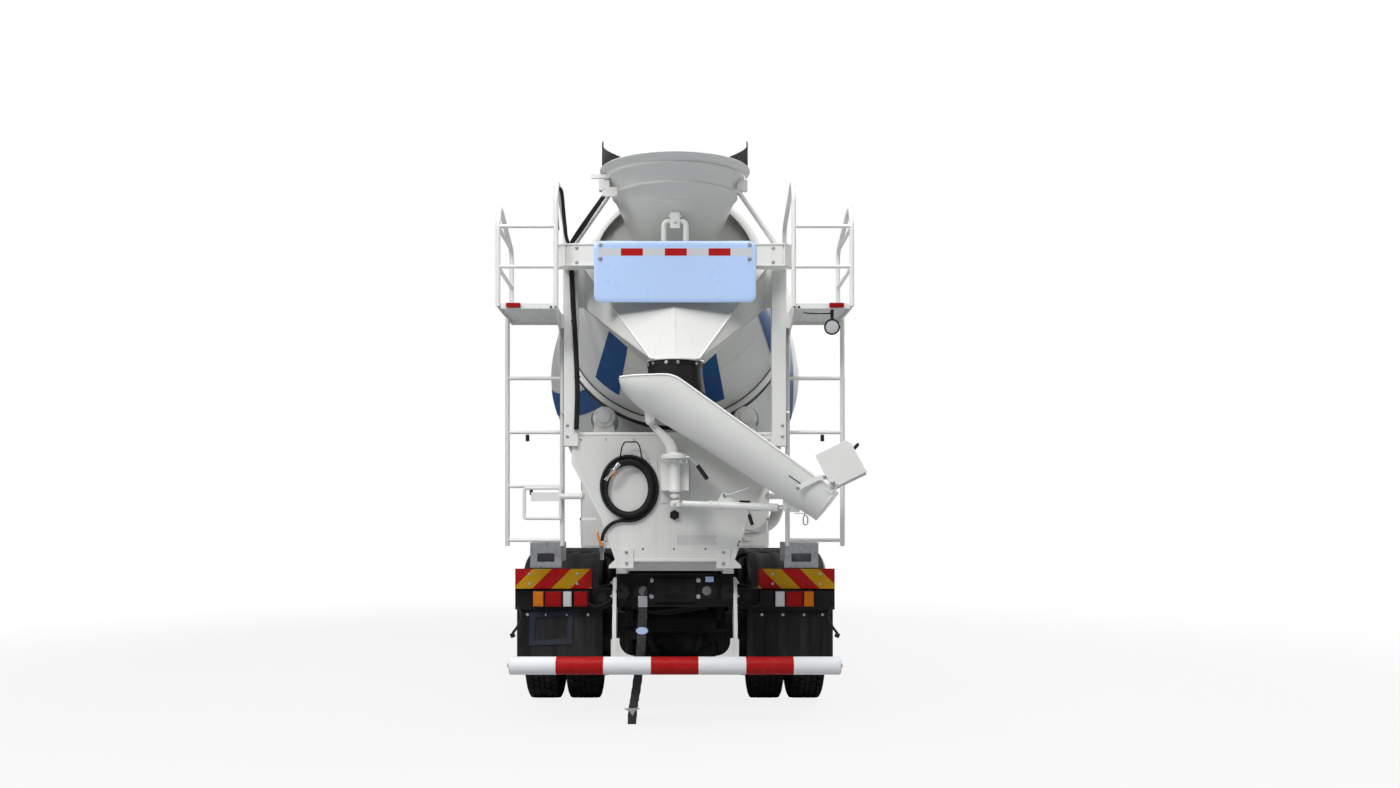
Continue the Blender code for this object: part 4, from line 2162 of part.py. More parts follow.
# The strap's middle line: across, out from the end plate, height
STRAP_LINE = [
    (-0.23, 0, 0.96),
    (-0.28, 0, 0.90),
    (-0.295, 0.003, 0.45),
    (-0.325, 0.003, 0.006),
]


def build_hose(rubber):
    """The wash-down hose, hung in a coil on the panel."""
    shells = Shells()
    rear = PANEL_Y - PANEL_THICK - SEAT_GAP
    steps = 28
    rings = []
    for step in range(steps):
        angle = 2 * math.pi * step / steps
        ring = []
        for inward, y in ((0, rear - COIL_DEPTH), (0, rear), (COIL_BUNDLE, rear), (COIL_BUNDLE, rear - COIL_DEPTH)):
            x = COIL_X + (COIL_HALF_WIDTH - inward) * math.cos(angle)
            z = COIL_Z + (COIL_HALF_HEIGHT - inward) * math.sin(angle)
            ring.append(Vector((x, y, z)))
        rings.append(ring)
    shells.rings(rings, wrap=True)
    shells.made("wash_hose_coil", rubber)


def build_strap(rubber):
    """The earthing strap that hangs from the end plate to the ground."""
    shells = Shells()
    top_y = RAIL_REAR_Y - SEAT_GAP
    rings = []
    for x, ahead, z in STRAP_LINE:
        near = top_y - ahead
        far = near - STRAP_THICK
        edges = ((-STRAP_HALF, far), (STRAP_HALF, far), (STRAP_HALF, near), (-STRAP_HALF, near))
        rings.append([Vector((x + across, y, z)) for across, y in edges])
    shells.rings(rings)
    return shells.made("earthing_strap", rubber)


def clear_scene():
    for obj in list(bpy.data.objects):
        bpy.data.objects.remove(obj, do_unlink=True)


def main():
    clear_scene()
    white = paint("white_paint", (0.72, 0.75, 0.75), 0.35)
    grey = paint("grey_paint", (0.45, 0.48, 0.50), 0.45)
    black = paint("black_paint", (0.03, 0.03, 0.03), 0.5)
    rubber = paint("black_rubber", (0.02, 0.02, 0.02), 0.8)
    glass = paint("tinted_glass", (0.10, 0.13, 0.14), 0.05)
    build_frame(black)
    build_subframe(white)
    build_gearbox(grey)
    build_drum(white)
    build_rollers(grey)
    build_rear_stand(white)
    build_sign(white)
    build_hopper(white)
    build_hopper_guard(rubber)
    build_funnel(white)
    build_spout(rubber)
    build_chute_group(white)
    build_platforms(white)
    build_axles(black)
    build_rear_wheels(rubber)
    build_front_axle(black)
    build_knuckles(black)
    build_front_wheels(rubber)
    build_drive_line(grey)
    build_bar(white)
    build_tail(black)
    build_mudguards(black)
    build_cab(white, glass, black)
    build_bumper(white)
    build_side_units(grey, black)
    build_hose(rubber)
    build_strap(rubber)


main()
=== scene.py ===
"""Dresses the concrete mixer truck: finishes, detailed pieces, floor, light and camera."""

import collections
import math

import bmesh
import bpy
from mathutils import Matrix, Vector


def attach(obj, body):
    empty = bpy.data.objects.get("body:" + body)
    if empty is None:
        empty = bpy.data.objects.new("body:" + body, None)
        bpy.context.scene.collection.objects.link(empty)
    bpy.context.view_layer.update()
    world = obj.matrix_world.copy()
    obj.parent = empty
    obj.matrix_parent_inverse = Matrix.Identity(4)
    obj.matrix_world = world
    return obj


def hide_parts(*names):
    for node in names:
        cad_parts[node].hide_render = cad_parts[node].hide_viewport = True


bl_info = {
    "name": "Concrete mixer truck",
    "version": (1, 0, 0),
    "blender": (4, 5, 0),
    "location": "3D View > Sidebar > Mixer truck",
    "description": "Builds the detailed pieces and finishes of a three-axle concrete mixer truck",
    "category": "Object",
}

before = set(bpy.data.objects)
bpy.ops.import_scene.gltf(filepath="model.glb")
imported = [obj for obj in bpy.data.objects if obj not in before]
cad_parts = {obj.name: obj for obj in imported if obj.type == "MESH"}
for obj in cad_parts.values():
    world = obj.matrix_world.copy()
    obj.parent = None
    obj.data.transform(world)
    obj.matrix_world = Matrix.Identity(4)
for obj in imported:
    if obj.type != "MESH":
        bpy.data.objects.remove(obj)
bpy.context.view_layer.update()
SIDES = {"left": -1, "right": 1}


class Value:
    """A number socket of a material that takes part in Python expressions."""

    def __init__(self, finish, socket):
        self.finish = finish
        self.socket = socket

    def math(self, operation, *others):
        """Adds a Math node on this value."""
        return self.finish.node("ShaderNodeMath", {"operation": operation}, (self, *others))

    def __add__(self, other):
        return self.math("ADD", other)

    __radd__ = __add__

    def __mul__(self, other):
        return self.math("MULTIPLY", other)

    __rmul__ = __mul__

    def __sub__(self, other):
        return self.math("SUBTRACT", other)

    def __rsub__(self, other):
        return self.finish.node("ShaderNodeMath", {"operation": "SUBTRACT"}, (other, self))

    def __truediv__(self, other):
        return self.math("DIVIDE", other)

    def __pow__(self, other):
        return self.math("POWER", other)

    def __abs__(self):
        return self.math("ABSOLUTE")

    def __gt__(self, other):
        return self.math("GREATER_THAN", other)

    def __lt__(self, other):
        return self.math("LESS_THAN", other)

    def __mod__(self, other):
        return self.math("FLOORED_MODULO", other)

    def ramp(self, low, high, start=0.0, end=1.0):
        """Goes smoothly from start to end while this value goes from low to high."""
        settings = {"interpolation_type": "SMOOTHSTEP"}
        return self.finish.node("ShaderNodeMapRange", settings, (self, low, high, start, end))


class Finish:
    """A material that is written as expressions on its sockets."""

    def __init__(self, name, colour, roughness=0.5, metallic=0.0, coat=0.0, gloss=0.5):
        self.material = bpy.data.materials.new(name)
        self.material.use_nodes = True
        self.tree = self.material.node_tree
        self.shader = self.tree.nodes["Principled BSDF"]
        self.colour = tuple(colour)[:3]
        self.axes = {}
        values = {"Base Color": (*self.colour, 1.0), "Roughness": roughness, "Metallic": metallic}
        values.update({"Coat Weight": coat, "Specular IOR Level": gloss})
        for socket, value in values.items():
            self.shader.inputs[socket].default_value = value

    def node(self, kind, settings=None, inputs=(), output=0):
        """Adds a node, sets its settings, then fills its sockets in order or by name."""
        made = self.tree.nodes.new(kind)
        for name, value in (settings or {}).items():
            setattr(made, name, value)
        named = inputs.items() if isinstance(inputs, dict) else enumerate(inputs)
        for key, value in named:
            self.fill(made.inputs[key], value)
        return Value(self, made.outputs[output])

    def fill(self, socket, value):
        """Links a value to a socket, or sets a plain one on it."""
        if isinstance(value, Value):
            self.tree.links.new(value.socket, socket)
        elif value is not None:
            socket.default_value = value

    def set(self, **values):
        """Fills the shader's own sockets, whose names are written with _ for a space."""
        for name, value in values.items():
            self.fill(self.shader.inputs[name.replace("_", " ")], value)
        return self

    def place(self, axis=None):
        """The place on the object, in metres, or one of its axes."""
        if "all" not in self.axes:
            self.axes["all"] = self.node("ShaderNodeTexCoord", output="Object")
        if axis is None:
            return self.axes["all"]
        if axis not in self.axes:
            self.axes[axis] = self.node(
                "ShaderNodeSeparateXYZ", None, (self.axes["all"],), "XYZ".index(axis)
            )
        return self.axes[axis]

    def noise(self, scale, detail=3.0, rough=0.55, stretch=(1.0, 1.0, 1.0)):
        """Cloudy variation over the object."""
        where = self.node("ShaderNodeMapping", None, {"Vector": self.place(), "Scale": stretch})
        inputs = {"Vector": where, "Scale": scale, "Detail": detail, "Roughness": rough}
        return self.node("ShaderNodeTexNoise", None, inputs)

    def cells(self, scale, feature="F1", output="Distance"):
        """A pattern of cells over the object."""
        inputs = {"Vector": self.place(), "Scale": scale}
        return self.node("ShaderNodeTexVoronoi", {"feature": feature}, inputs, output)

    def mix(self, low, high, share):
        """Goes from one colour to the other by a share from 0 to 1."""
        colours = [
            value if isinstance(value, Value) else (*tuple(value)[:3], 1.0) for value in (low, high)
        ]
        inputs = {0: share, 6: colours[0], 7: colours[1]}
        return self.node("ShaderNodeMix", {"data_type": "RGBA"}, inputs, 2)

    def bump(self, height, depth):
        """Raises the surface by a height from 0 to 1 times a depth in metres."""
        inputs = {"Strength": 1.0, "Distance": depth, "Height": height}
        return self.set(Normal=self.node("ShaderNodeBump", None, inputs))


def tinted(colour, share):
    """A colour brought towards black by a negative share, or towards white by a positive one."""
    target = 1.0 if share > 0 else 0.0
    return tuple(part + (target - part) * abs(share) for part in tuple(colour)[:3])


def enamel(name, colour, dust, clean_above=2.4, roughness=0.28, wear=0.5, gloss=0.5):
    """Sprayed paint: orange peel, faint runs, and road dust that thickens towards the ground."""
    made = Finish(name, colour, roughness, coat=gloss * 0.5, gloss=gloss)
    clouds = made.noise(1.7, 4.0, 0.6)
    streaks = made.noise(9.0, 5.0, 0.6, (1.0, 1.0, 0.12))
    low = made.place("Z").ramp(0.3, clean_above, 1.0, 0.15)
    soil = clouds.ramp(0.35, 0.75) * low * 0.55 + streaks.ramp(0.52, 0.78) * low * wear
    specks = made.noise(140.0, 2.0).ramp(0.66, 0.74) * 0.25 * low
    shade = made.mix(made.mix(tinted(colour, -0.04), colour, clouds), dust, soil * 0.5 + specks)
    made.set(Base_Color=shade, Roughness=soil * 0.5 + roughness)
    return made.bump(made.noise(420.0, 2.0) * 0.6 + streaks * 0.4, 0.00025)


def bare_metal(name, colour, roughness=0.35, scale=60.0):
    """Zinc plate or raw steel: crystals, rubbed patches and fine scratches."""
    made = Finish(name, colour, roughness, 1.0)
    crystals = made.cells(scale, output="Color")
    patches = made.noise(14.0, 4.0)
    made.set(
        Base_Color=made.mix(
            made.mix(tinted(colour, -0.25), colour, crystals), tinted(colour, 0.15), patches
        )
    )
    made.set(
        Roughness=patches.ramp(0.3, 0.7, roughness * 0.75, roughness * 1.35),
        Metallic=patches.ramp(0.7, 0.9, 1.0, 0.7)
    )
    return made.bump(made.noise(300.0, 2.0, 0.5, (1.0, 1.0, 8.0)), 0.0002)


def tread_plate(name, colour):
    """Aluminium step metal with raised lozenges in two directions."""
    made = Finish(name, colour, 0.38, 1.0)
    across, along = made.place("X") * 28.0, made.place("Y") * 28.0
    first = abs((across + along) % 1.0 - 0.5) * 2.0
    second = abs((across - along) % 1.0 - 0.5) * 2.0
    lozenge = (first ** 4.0) * (1.0 - second)
    grime = made.noise(18.0, 4.0)
    made.set(
        Base_Color=made.mix(colour, tinted(colour, -0.45), grime.ramp(0.4, 0.8)),
        Roughness=grime * 0.4 + 0.2
    )
    return made.bump(lozenge + made.noise(240.0) * 0.08, 0.002)


def rubber(name, colour, dust, roughness=0.72, grain=220.0, streak=(1.0, 1.0, 1.0)):
    """Moulded rubber with a fine grain, grey bloom and dust low down."""
    made = Finish(name, colour, roughness, gloss=0.12)
    bloom = made.noise(7.0, 5.0, 0.6, streak)
    low = made.place("Z").ramp(0.0, 1.6, 0.12, 0.03)
    made.set(
        Base_Color=made.mix(
            made.mix(colour, tinted(colour, 0.02), bloom), dust, bloom.ramp(0.45, 0.85) * low
        )
    )
    made.set(Roughness=bloom * 0.25 + (roughness - 0.1))
    return made.bump(made.noise(grain, 3.0) + bloom * 0.5, 0.0005)


def lens(name, colour, rib=160.0, axis="X"):
    """Ribbed lamp plastic with painted glints of a reflector behind it."""
    made = Finish(name, colour, 0.15, coat=0.05, gloss=0.08)
    ribs = abs((made.place(axis) * rib) % 1.0 - 0.5) * 2.0
    rows = abs((made.place("Z") * rib) % 1.0 - 0.5) * 2.0
    # The colour is brightest where the ribs' edges cross and darker elsewhere: painted glints of a
    # reflector behind the lens.
    made.set(Base_Color=made.mix(tinted(colour, -0.35), tinted(colour, 0.01), ribs * rows))
    made.set(Roughness=made.noise(40.0) * 0.15 + 0.06)
    return made.bump(ribs * 0.6 + rows * 0.4, 0.0012)


def reflective(name, first, second, share, dust):
    """Retroreflective sheet in two colours, with its small honeycomb cells."""
    made = Finish(name, first, 0.35, gloss=0.1)
    comb = made.cells(170.0, "DISTANCE_TO_EDGE")
    colour = made.mix(first, second, share(made))
    grime = made.noise(12.0, 4.0).ramp(0.45, 0.85) * 0.05
    made.set(
        Base_Color=made.mix(
            made.mix(colour, (1.0, 1.0, 1.0), comb.ramp(0.0, 0.08, 0.02, 0.0)), dust, grime
        )
    )
    made.set(Roughness=grime + 0.25)
    return made.bump(comb.ramp(0.0, 0.1), 0.0002)


def slanted(side, centre, width):
    """A share that alternates in bands at 45 degrees."""
    return lambda made: ((made.place("X") - centre + made.place("Z") * side) / width) % 1.0 > 0.5


def reflecting_band(made):
    """Red fields on the silver band of the sign."""
    x = made.place("X")
    share = 0.0
    for middle in (-0.302, 0.006, 0.313):
        share = (abs(x - middle) < 0.077) + share
    return share


def bar_bands(made):
    """The bar's fields, eight across, white at its left-hand end."""
    return ((made.place("X") + 1.212) / 0.6915) % 1.0 > 0.5


def colour_property(name, description, default):
    """A colour that the panel shows."""
    return bpy.props.FloatVectorProperty(
        name=name, description=description, subtype="COLOR", default=default
    )


def length_property(name, description, default):
    """A length that the panel shows."""
    return bpy.props.FloatProperty(
        name=name, description=description, default=default, unit="LENGTH"
    )


class MixerTruckColours(bpy.types.PropertyGroup):
    """The colours of the truck's finishes."""

    white: colour_property("White enamel", "Body, stand, chute and ladders", (0.76, 0.765, 0.74))
    black: colour_property("Frame black", "Rails, tail beam and axles", (0.006, 0.006, 0.007))
    grey: colour_property("Axle grey", "Castings, springs and wheels", (0.13, 0.135, 0.14))
    blue: colour_property("Stripe blue", "Stripes on the drum", (0.008, 0.078, 0.24))
    rubber: colour_property("Rubber", "Tyres, flaps, hose and skirt", (0.007, 0.007, 0.008))
    red: colour_property("Signal red", "Lamps, bar bands and boards", (0.40, 0.005, 0.006))
    yellow: colour_property("Board yellow", "Bands of the rear boards", (0.50, 0.27, 0.006))
    amber: colour_property("Amber", "Turn lamps and small levers", (0.80, 0.22, 0.01))
    metal: colour_property("Bare metal", "Zinc, aluminium and chrome", (0.62, 0.63, 0.65))
    dust: colour_property("Dust", "Cement dust and road dirt", (0.33, 0.31, 0.28))
    trim: colour_property("Cab trim", "Plastic and cloth inside the cab", (0.045, 0.045, 0.05))


class MixerTruckSizes(bpy.types.PropertyGroup):
    """The sizes that a user would change."""

    bolt_width: length_property("Bolt head", "Width of the common bolt heads", 0.024)
    camera_height: length_property("Camera height", "Height of the lens", 1.518)
    camera_distance: length_property("Camera distance", "From the lens to the underrun bar", 8.0)
    hose_diameter: length_property("Hose diameter", "Outside of the hose", 0.026)
    tread_pitches: bpy.props.IntProperty(
        name="Tread pitches", description="Blocks round a tyre", default=46, min=12, max=80
    )


FINISHES = {}


def make_finishes(colours):
    """Makes every finish once, from the colours of the panel."""
    c = colours
    black, white, dust, metal = tuple(c.black), tuple(c.white), tuple(c.dust), tuple(c.metal)
    made = {
        "white": enamel("white_enamel", white, dust, gloss=0.3),
        # A copy of the white enamel, 14% darker and matte: painted shade that keeps the brightly
        # lit funnel sheets and the blank plate from burning out.
        "sheet": enamel("shaded_white_enamel", tinted(white, -0.14), dust, roughness=0.5, gloss=0.08),
        "inside": enamel("drum_steel", tinted(metal, -0.45), dust, 6.0, 0.6, 0.9),
        "black": enamel("frame_black", black, dust, 0.9, 0.42, 0.08, 0.08),
        "grey": enamel("axle_grey", c.grey, dust, 1.6, 0.5, 0.6),
        "silver": enamel("wheel_silver", tinted(c.metal, -0.35), dust, 1.2, 0.35, 0.5),
        "blue": enamel("stripe_blue", c.blue, dust, 1.2, 0.45, 0.2, 0.12),
        "frame_blue": enamel("flap_frame_blue", (0.008, 0.014, 0.035), dust, 1.0, 0.5, 0.1, 0.2),
        # The sign finish's light blue is a painted reflection of the sky; the blank tag, strap spot
        # and front plate share it.
        "sign": enamel("sign_face_painted_sky", (0.46, 0.62, 0.92), dust, 4.0, 0.25, 0.1),
        "orange": enamel("lever_orange", c.amber, dust),
        "red": enamel("signal_red", c.red, dust, 1.0, 0.3, 0.2, 0.2),
        "zinc": bare_metal("zinc_plate", metal),
        "steel": bare_metal("worn_steel", tinted(metal, -0.3), 0.28, 30.0),
        "chrome": bare_metal("bright_chrome", tinted(metal, 0.3), 0.12, 8.0),
        "step": tread_plate("step_aluminium", metal),
        "step_plain": bare_metal("tank_aluminium", metal, 0.3, 12.0),
        "tyre": rubber("tyre_rubber", c.rubber, dust, 0.78),
        "flap": rubber("flap_rubber", c.rubber, dust, 0.6, 90.0, (1.0, 1.0, 0.1)),
        "guard": rubber("guard_rubber", tinted(c.rubber, 0.02), dust, 0.68, 60.0, (0.3, 0.3, 1.0)),
        "strap": rubber("strap_fabric", tinted(c.rubber, 0.03), dust, 0.7, 900.0),
        "hose": rubber("hose_rubber", c.rubber, dust, 0.5, 400.0),
        "plastic": rubber("black_plastic", tinted(c.rubber, 0.004), dust, 0.42, 500.0),
        "trim": rubber("cab_trim", c.trim, dust, 0.8, 700.0),
        "lamp_red": lens("lamp_red", c.red),
        "lamp_amber": lens("lamp_amber", c.amber),
        "lamp_clear": lens("lamp_clear", (0.78, 0.80, 0.82)),
        "glass": Finish("tinted_glass", (0.03, 0.045, 0.045), 0.04, coat=1.0),
        "board_left": reflective("board_left", c.red, c.yellow, slanted(-1, -2.37, 0.29), dust),
        "board_right": reflective("board_right", c.red, c.yellow, slanted(1, 1.66, 0.29), dust),
    }
    made["sign_band"] = reflective("sign_band", (0.55, 0.57, 0.60), c.red, reflecting_band, dust)
    made["bar_bands"] = reflective("bar_bands", (0.80, 0.81, 0.83), c.red, bar_bands, dust)
    glass = made["glass"]
    film = glass.noise(3.0, 4.0)
    glass.set(Alpha=film * 0.1 + 0.42, Roughness=film * 0.08 + 0.02)
    FINISHES.update(made)


def blended(low, high, share):
    """A value between two others, at a share of the way."""
    return low + (high - low) * share


def eased(points, reach, steps=5):
    """A path whose inner corners are rounded over a reach on both sides."""
    points = [Vector(point) for point in points]
    made = [points[0]]
    for before, corner, after in zip(points, points[1:], points[2:]):
        first = corner + (before - corner).normalized() * min(
            reach, (before - corner).length * 0.49
        )
        last = corner + (after - corner).normalized() * min(reach, (after - corner).length * 0.49)
        for step in range(steps + 1):
            share = step / steps
            made.append(first.lerp(corner, share).lerp(corner.lerp(last, share), share))
    return [*made, points[-1]]


def both_ends(half):
    """An outline of (radius, height) with its mirror image about height 0."""
    return [*half, *((radius, -height) for radius, height in reversed(half))]


def rounded_box(low, high, corner, steps):
    """The outline of a rectangle that is grown by a round corner about two opposite points."""
    (left, foot), (right, top) = low, high
    made = []
    for quarter, (x, z) in enumerate(((right, top), (left, top), (left, foot), (right, foot))):
        for step in range(steps + 1):
            angle = math.pi / 2 * (quarter + step / steps)
            made.append((x + corner * math.cos(angle), z + corner * math.sin(angle)))
    return made


def turned_to(spot, way):
    """A frame at a spot whose Z axis points along a way."""
    return Matrix.Translation(spot) @ Vector(way).to_track_quat("Z", "Y").to_matrix().to_4x4()


class Form:
    """Collects the points and faces of one piece."""

    def __init__(self):
        self.points = []
        self.faces = []

    def skin(self, rows, around=False):
        """An open sheet through rows of points."""
        start, width = len(self.points), len(rows[0])
        for row in rows:
            self.points.extend(Vector(point) for point in row)
        for index in range(len(rows) - 1):
            low, high = start + index * width, start + (index + 1) * width
            for step in range(width if around else width - 1):
                after = (step + 1) % width
                self.faces.append((low + step, low + after, high + after, high + step))
        return self

    def rings(self, rings, wrap=False):
        """A closed skin over rings of points; one point makes a tip, and open ends get caps."""
        rows = []
        for ring in rings:
            rows.append(range(len(self.points), len(self.points) + len(ring)))
            self.points.extend(Vector(point) for point in ring)
        pairs = list(zip(rows, rows[1:]))
        if wrap:
            pairs.append((rows[-1], rows[0]))
        for lower, upper in pairs:
            for index in range(max(len(lower), len(upper))):
                after = index + 1
                corners = (lower[index % len(lower)], lower[after % len(lower)])
                corners += (upper[after % len(upper)], upper[index % len(upper)])
                corners = tuple(dict.fromkeys(corners))
                if len(corners) > 2:
                    self.faces.append(corners)
        if not wrap:
            self.faces += [tuple(row) for row in (rows[0], rows[-1]) if len(row) > 2]
        return self

    def prism(self, outline, axis, start, end):
        """An outline pushed along one axis; its points are the other two coordinates in order."""
        order = {"X": (2, 0, 1), "Y": (0, 2, 1), "Z": (0, 1, 2)}[axis]
        return self.rings(
            [
                [[(*point, along)[index] for index in order] for point in outline]
                for along in sorted((start, end))
            ]
        )

    def block(self, corner, opposite):
        """A box between two opposite corners."""
        (left, right), (rear, front), (low, high) = map(sorted, zip(corner, opposite))
        outline = [(left, rear), (right, rear), (right, front), (left, front)]
        return self.prism(outline, "Z", low, high)

    def sided(self, side, corner, opposite):
        """A block given for the right-hand side, placed on either side."""
        return self.block((side * corner[0], *corner[1:]), (side * opposite[0], *opposite[1:]))

    def turned(self, profile, place=None, steps=32, wrap=True):
        """A closed outline of (radius, height) turned about the place's Z axis."""
        place = place or Matrix()
        rows = []
        for radius, height in profile:
            if radius == 0:
                rows.append([place @ Vector((0, 0, height))])
                continue
            spokes = [math.tau * (step + 0.5) / steps for step in range(steps)]
            rows.append(
                [
                    place @ Vector((radius * math.cos(angle), radius * math.sin(angle), height))
                    for angle in spokes
                ]
            )
        return self.rings(rows, wrap)

    def collar(self, inner, outer, low, high, place=None, steps=32):
        """A turned ring of square section; an inner radius of 0 makes it solid."""
        return self.turned([(inner, low), (outer, low), (outer, high), (inner, high)], place, steps)

    def disc(self, radius, height, place, steps=32):
        """A flat round disc that stands on a place."""
        return self.collar(0, radius, 0, height, place, steps)

    def round_bar(self, start, end, radius, steps=16, chamfer=0.1):
        """A round bar between two points, with its end edges eased."""
        start, end = Vector(start), Vector(end)
        length, ease = (end - start).length, radius * chamfer
        profile = [
            (0, 0), (radius - ease, 0), (radius, ease), (radius, length - ease),
            (radius - ease, length), (0, length)
        ]
        return self.turned(profile, turned_to(start, end - start), steps)

    def tube(self, points, radius, sides=14, reach=0.0):
        """A round bar along a path whose corners are eased over a reach."""
        points = eased(points, reach) if reach else [Vector(point) for point in points]
        ways = [(after - before).normalized() for before, after in zip(points, points[1:])]
        side = ways[0].orthogonal().normalized()
        rows = []
        for index, point in enumerate(points):
            before, after = ways[max(index - 1, 0)], ways[min(index, len(ways) - 1)]
            across = (before + after).normalized()
            side = (side - side.project(before)).normalized()
            other = before.cross(side)
            ring = []
            for step in range(sides):
                angle = math.tau * (step + 0.5) / sides
                spoke = (side * math.cos(angle) + other * math.sin(angle)) * radius
                ring.append(point + spoke - before * (spoke.dot(across) / before.dot(across)))
            rows.append(ring)
        return self.rings(rows)

    def bolt(self, spot, way, width=None):
        """A hexagon head on its washer."""
        width = width or SIZES.bolt_width
        place = turned_to(spot, way)
        self.disc(width * 0.72, width * 0.1, place, 18)
        head = [
            (0, width * 0.1), (width * 0.56, width * 0.1), (width * 0.56, width * 0.42),
            (width * 0.44, width * 0.52)
        ]
        self.turned([*head, (0, width * 0.52)], place, 6)
        tip = [
            (0, width * 0.5), (width * 0.26, width * 0.5), (width * 0.22, width * 0.78),
            (0, width * 0.78)
        ]
        return self.turned(tip, place, 10)

    def bolts(self, spots, way, width=None):
        """A bolt at each spot, all facing one way."""
        for spot in spots:
            self.bolt(spot, way, width)
        return self

    def nut_ring(self, centre, way, radius, count, width=None, turn=0.0):
        """Bolts in a ring."""
        place = turned_to(centre, way)
        for step in range(count):
            angle = math.tau * (step + turn) / count
            self.bolt(
                place @ Vector((radius * math.cos(angle), radius * math.sin(angle), 0)), way, width
            )
        return self

    def placed(self, matrix, first=0):
        """Moves the points from the first one on by a matrix."""
        self.points[first:] = [matrix @ point for point in self.points[first:]]
        return self

    def made(self, name, finish, body, instead_of=(), edge=0.0, wall=0.0, offset=0.0, angle=38):
        """Makes the form a piece that rides on a body, with a wall or rounded edges where given."""
        mesh = bpy.data.meshes.new(name)
        mesh.from_pydata(self.points, [], self.faces)
        work = bmesh.new()
        work.from_mesh(mesh)
        bmesh.ops.recalc_face_normals(work, faces=work.faces)
        work.to_mesh(mesh)
        work.free()
        mesh.materials.append(FINISHES[finish].material)
        mesh.shade_smooth()
        if not edge:
            mesh.set_sharp_from_angle(angle=math.radians(angle))
        obj = bpy.data.objects.new(name, mesh)
        bpy.context.scene.collection.objects.link(obj)
        if wall:
            used = collections.Counter(key for face in mesh.polygons for key in face.edge_keys)
            for line in mesh.edges:
                line.use_edge_sharp = line.use_edge_sharp or used[line.key] == 1
            thick = obj.modifiers.new("wall", "SOLIDIFY")
            thick.thickness = wall
            thick.offset = offset
        if edge:
            rounded = obj.modifiers.new("edges", "BEVEL")
            rounded.width = edge
            rounded.segments = 2
            rounded.angle_limit = math.radians(angle)
            rounded.harden_normals = True
        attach(obj, body)
        if instead_of:
            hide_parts(*instead_of)
        return obj


SIZES = None
REAR = Vector((0, -1, 0))
BAR_Y = -3.60
BAR_Z = 0.455
BAR_HALF = 1.208

# The hose's coil: its centre, half width and half height of the outer turn, the depth of both
# layers and how far each turn lies inside the one before
COIL_CENTRE = (-0.335, 1.745)
COIL_HALF = (0.207, 0.233)
COIL_REAR = -3.6863
COIL_FRONT = -3.7133
COIL_INSET = 0.027


def hose_route():
    """From the valve up into the coil, nearly four turns in two layers, and out to the nozzle."""
    route = []
    for step in range(12):
        turned = math.radians(97) * step / 12
        route.append(
            (
                -0.375 - 0.151 * math.cos(turned), blended(-3.690, COIL_REAR, step / 12),
                1.366 + 0.1484 * math.sin(turned)
            )
        )
    # Turns: inset and depth at the start of each
    turns = [
        (0.0, COIL_REAR), (COIL_INSET, COIL_REAR), (COIL_INSET * 2, COIL_REAR),
        (COIL_INSET * 1.5, COIL_FRONT), (COIL_INSET * 0.5, COIL_FRONT)
    ]
    steps = 36
    start = math.radians(-96)
    last = steps * 3 + 22
    for step in range(last):
        turn, share = divmod(step / steps, 1.0)
        turn = int(turn)
        late = max(0.0, (share - 0.55) / 0.45)
        late = late * late * (3 - 2 * late)
        inset = blended(turns[turn][0], turns[turn + 1][0], late)
        depth = blended(turns[turn][1], turns[turn + 1][1], late)
        angle = start + math.tau * step / steps
        x = COIL_CENTRE[0] + (COIL_HALF[0] - inset) * math.cos(angle)
        z = COIL_CENTRE[1] + (COIL_HALF[1] - inset) * math.sin(angle)
        lift = max(0.0, 1.0 - (last - 1 - step) / 9)
        route.append((x, depth - 0.030 * lift * lift * (3 - 2 * lift), z))
    return route


def build_hose():
    """The wash-down hose, coiled on its hooks, with its nozzle."""
    path = [Vector(point) for point in hose_route()]
    data = bpy.data.curves.new("wash_hose", "CURVE")
    data.dimensions = "3D"
    spline = data.splines.new("POLY")
    spline.points.add(len(path) - 1)
    for point, spot in zip(spline.points, path):
        point.co = (*spot, 1.0)
    data.bevel_depth = SIZES.hose_diameter / 2
    data.bevel_resolution = 6
    data.use_fill_caps = True
    data.materials.append(FINISHES["hose"].material)
    hose = bpy.data.objects.new("wash_hose", data)
    bpy.context.scene.collection.objects.link(hose)
    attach(hose, "chassis")
    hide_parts("wash_hose_coil")
    nozzle = build_nozzle(path[-1], Vector((-0.62, 0.0, -0.78)))


def build_nozzle(spot, way):
    """The spray nozzle: hose tail, chrome barrel, and its orange lever."""
    place = turned_to(spot, way)
    barrel = Form()
    profile = [
        (0, -0.004), (0.0165, -0.004), (0.0165, 0.022), (0.0125, 0.026), (0.0125, 0.050),
        (0.017, 0.052), (0.017, 0.075), (0.011, 0.085), (0.009, 0.130), (0.013, 0.134),
        (0.013, 0.150), (0, 0.150)
    ]
    barrel.turned(profile, place, 20)
    made = [barrel.made("hose_nozzle", "chrome", "chassis")]
    lever = Form()
    lever.prism(
        [(-0.010, 0.045), (0.010, 0.045), (0.008, 0.120), (-0.008, 0.120)], "Y", 0.020, 0.026
    )
    lever.block((-0.006, 0.008, 0.056), (0.006, 0.024, 0.068))
    points = lever.points
    lever.points = [place @ Vector((point[0], -point[1], point[2])) for point in points]
    made.append(lever.made("hose_nozzle_lever", "orange", "chassis", edge=0.0015))
    return made


def build_camera():
    """The camera, straight behind the truck at the photograph's height."""
    data = bpy.data.cameras.new("camera")
    data.sensor_width = 36.0
    data.lens = 28.18
    data.shift_x = 0.0179
    data.shift_y = 0.0900
    camera = bpy.data.objects.new("camera", data)
    camera.location = (0, BAR_Y - SIZES.camera_distance, SIZES.camera_height)
    camera.rotation_euler = (math.pi / 2, 0, 0)
    bpy.context.scene.collection.objects.link(camera)
    bpy.context.scene.camera = camera


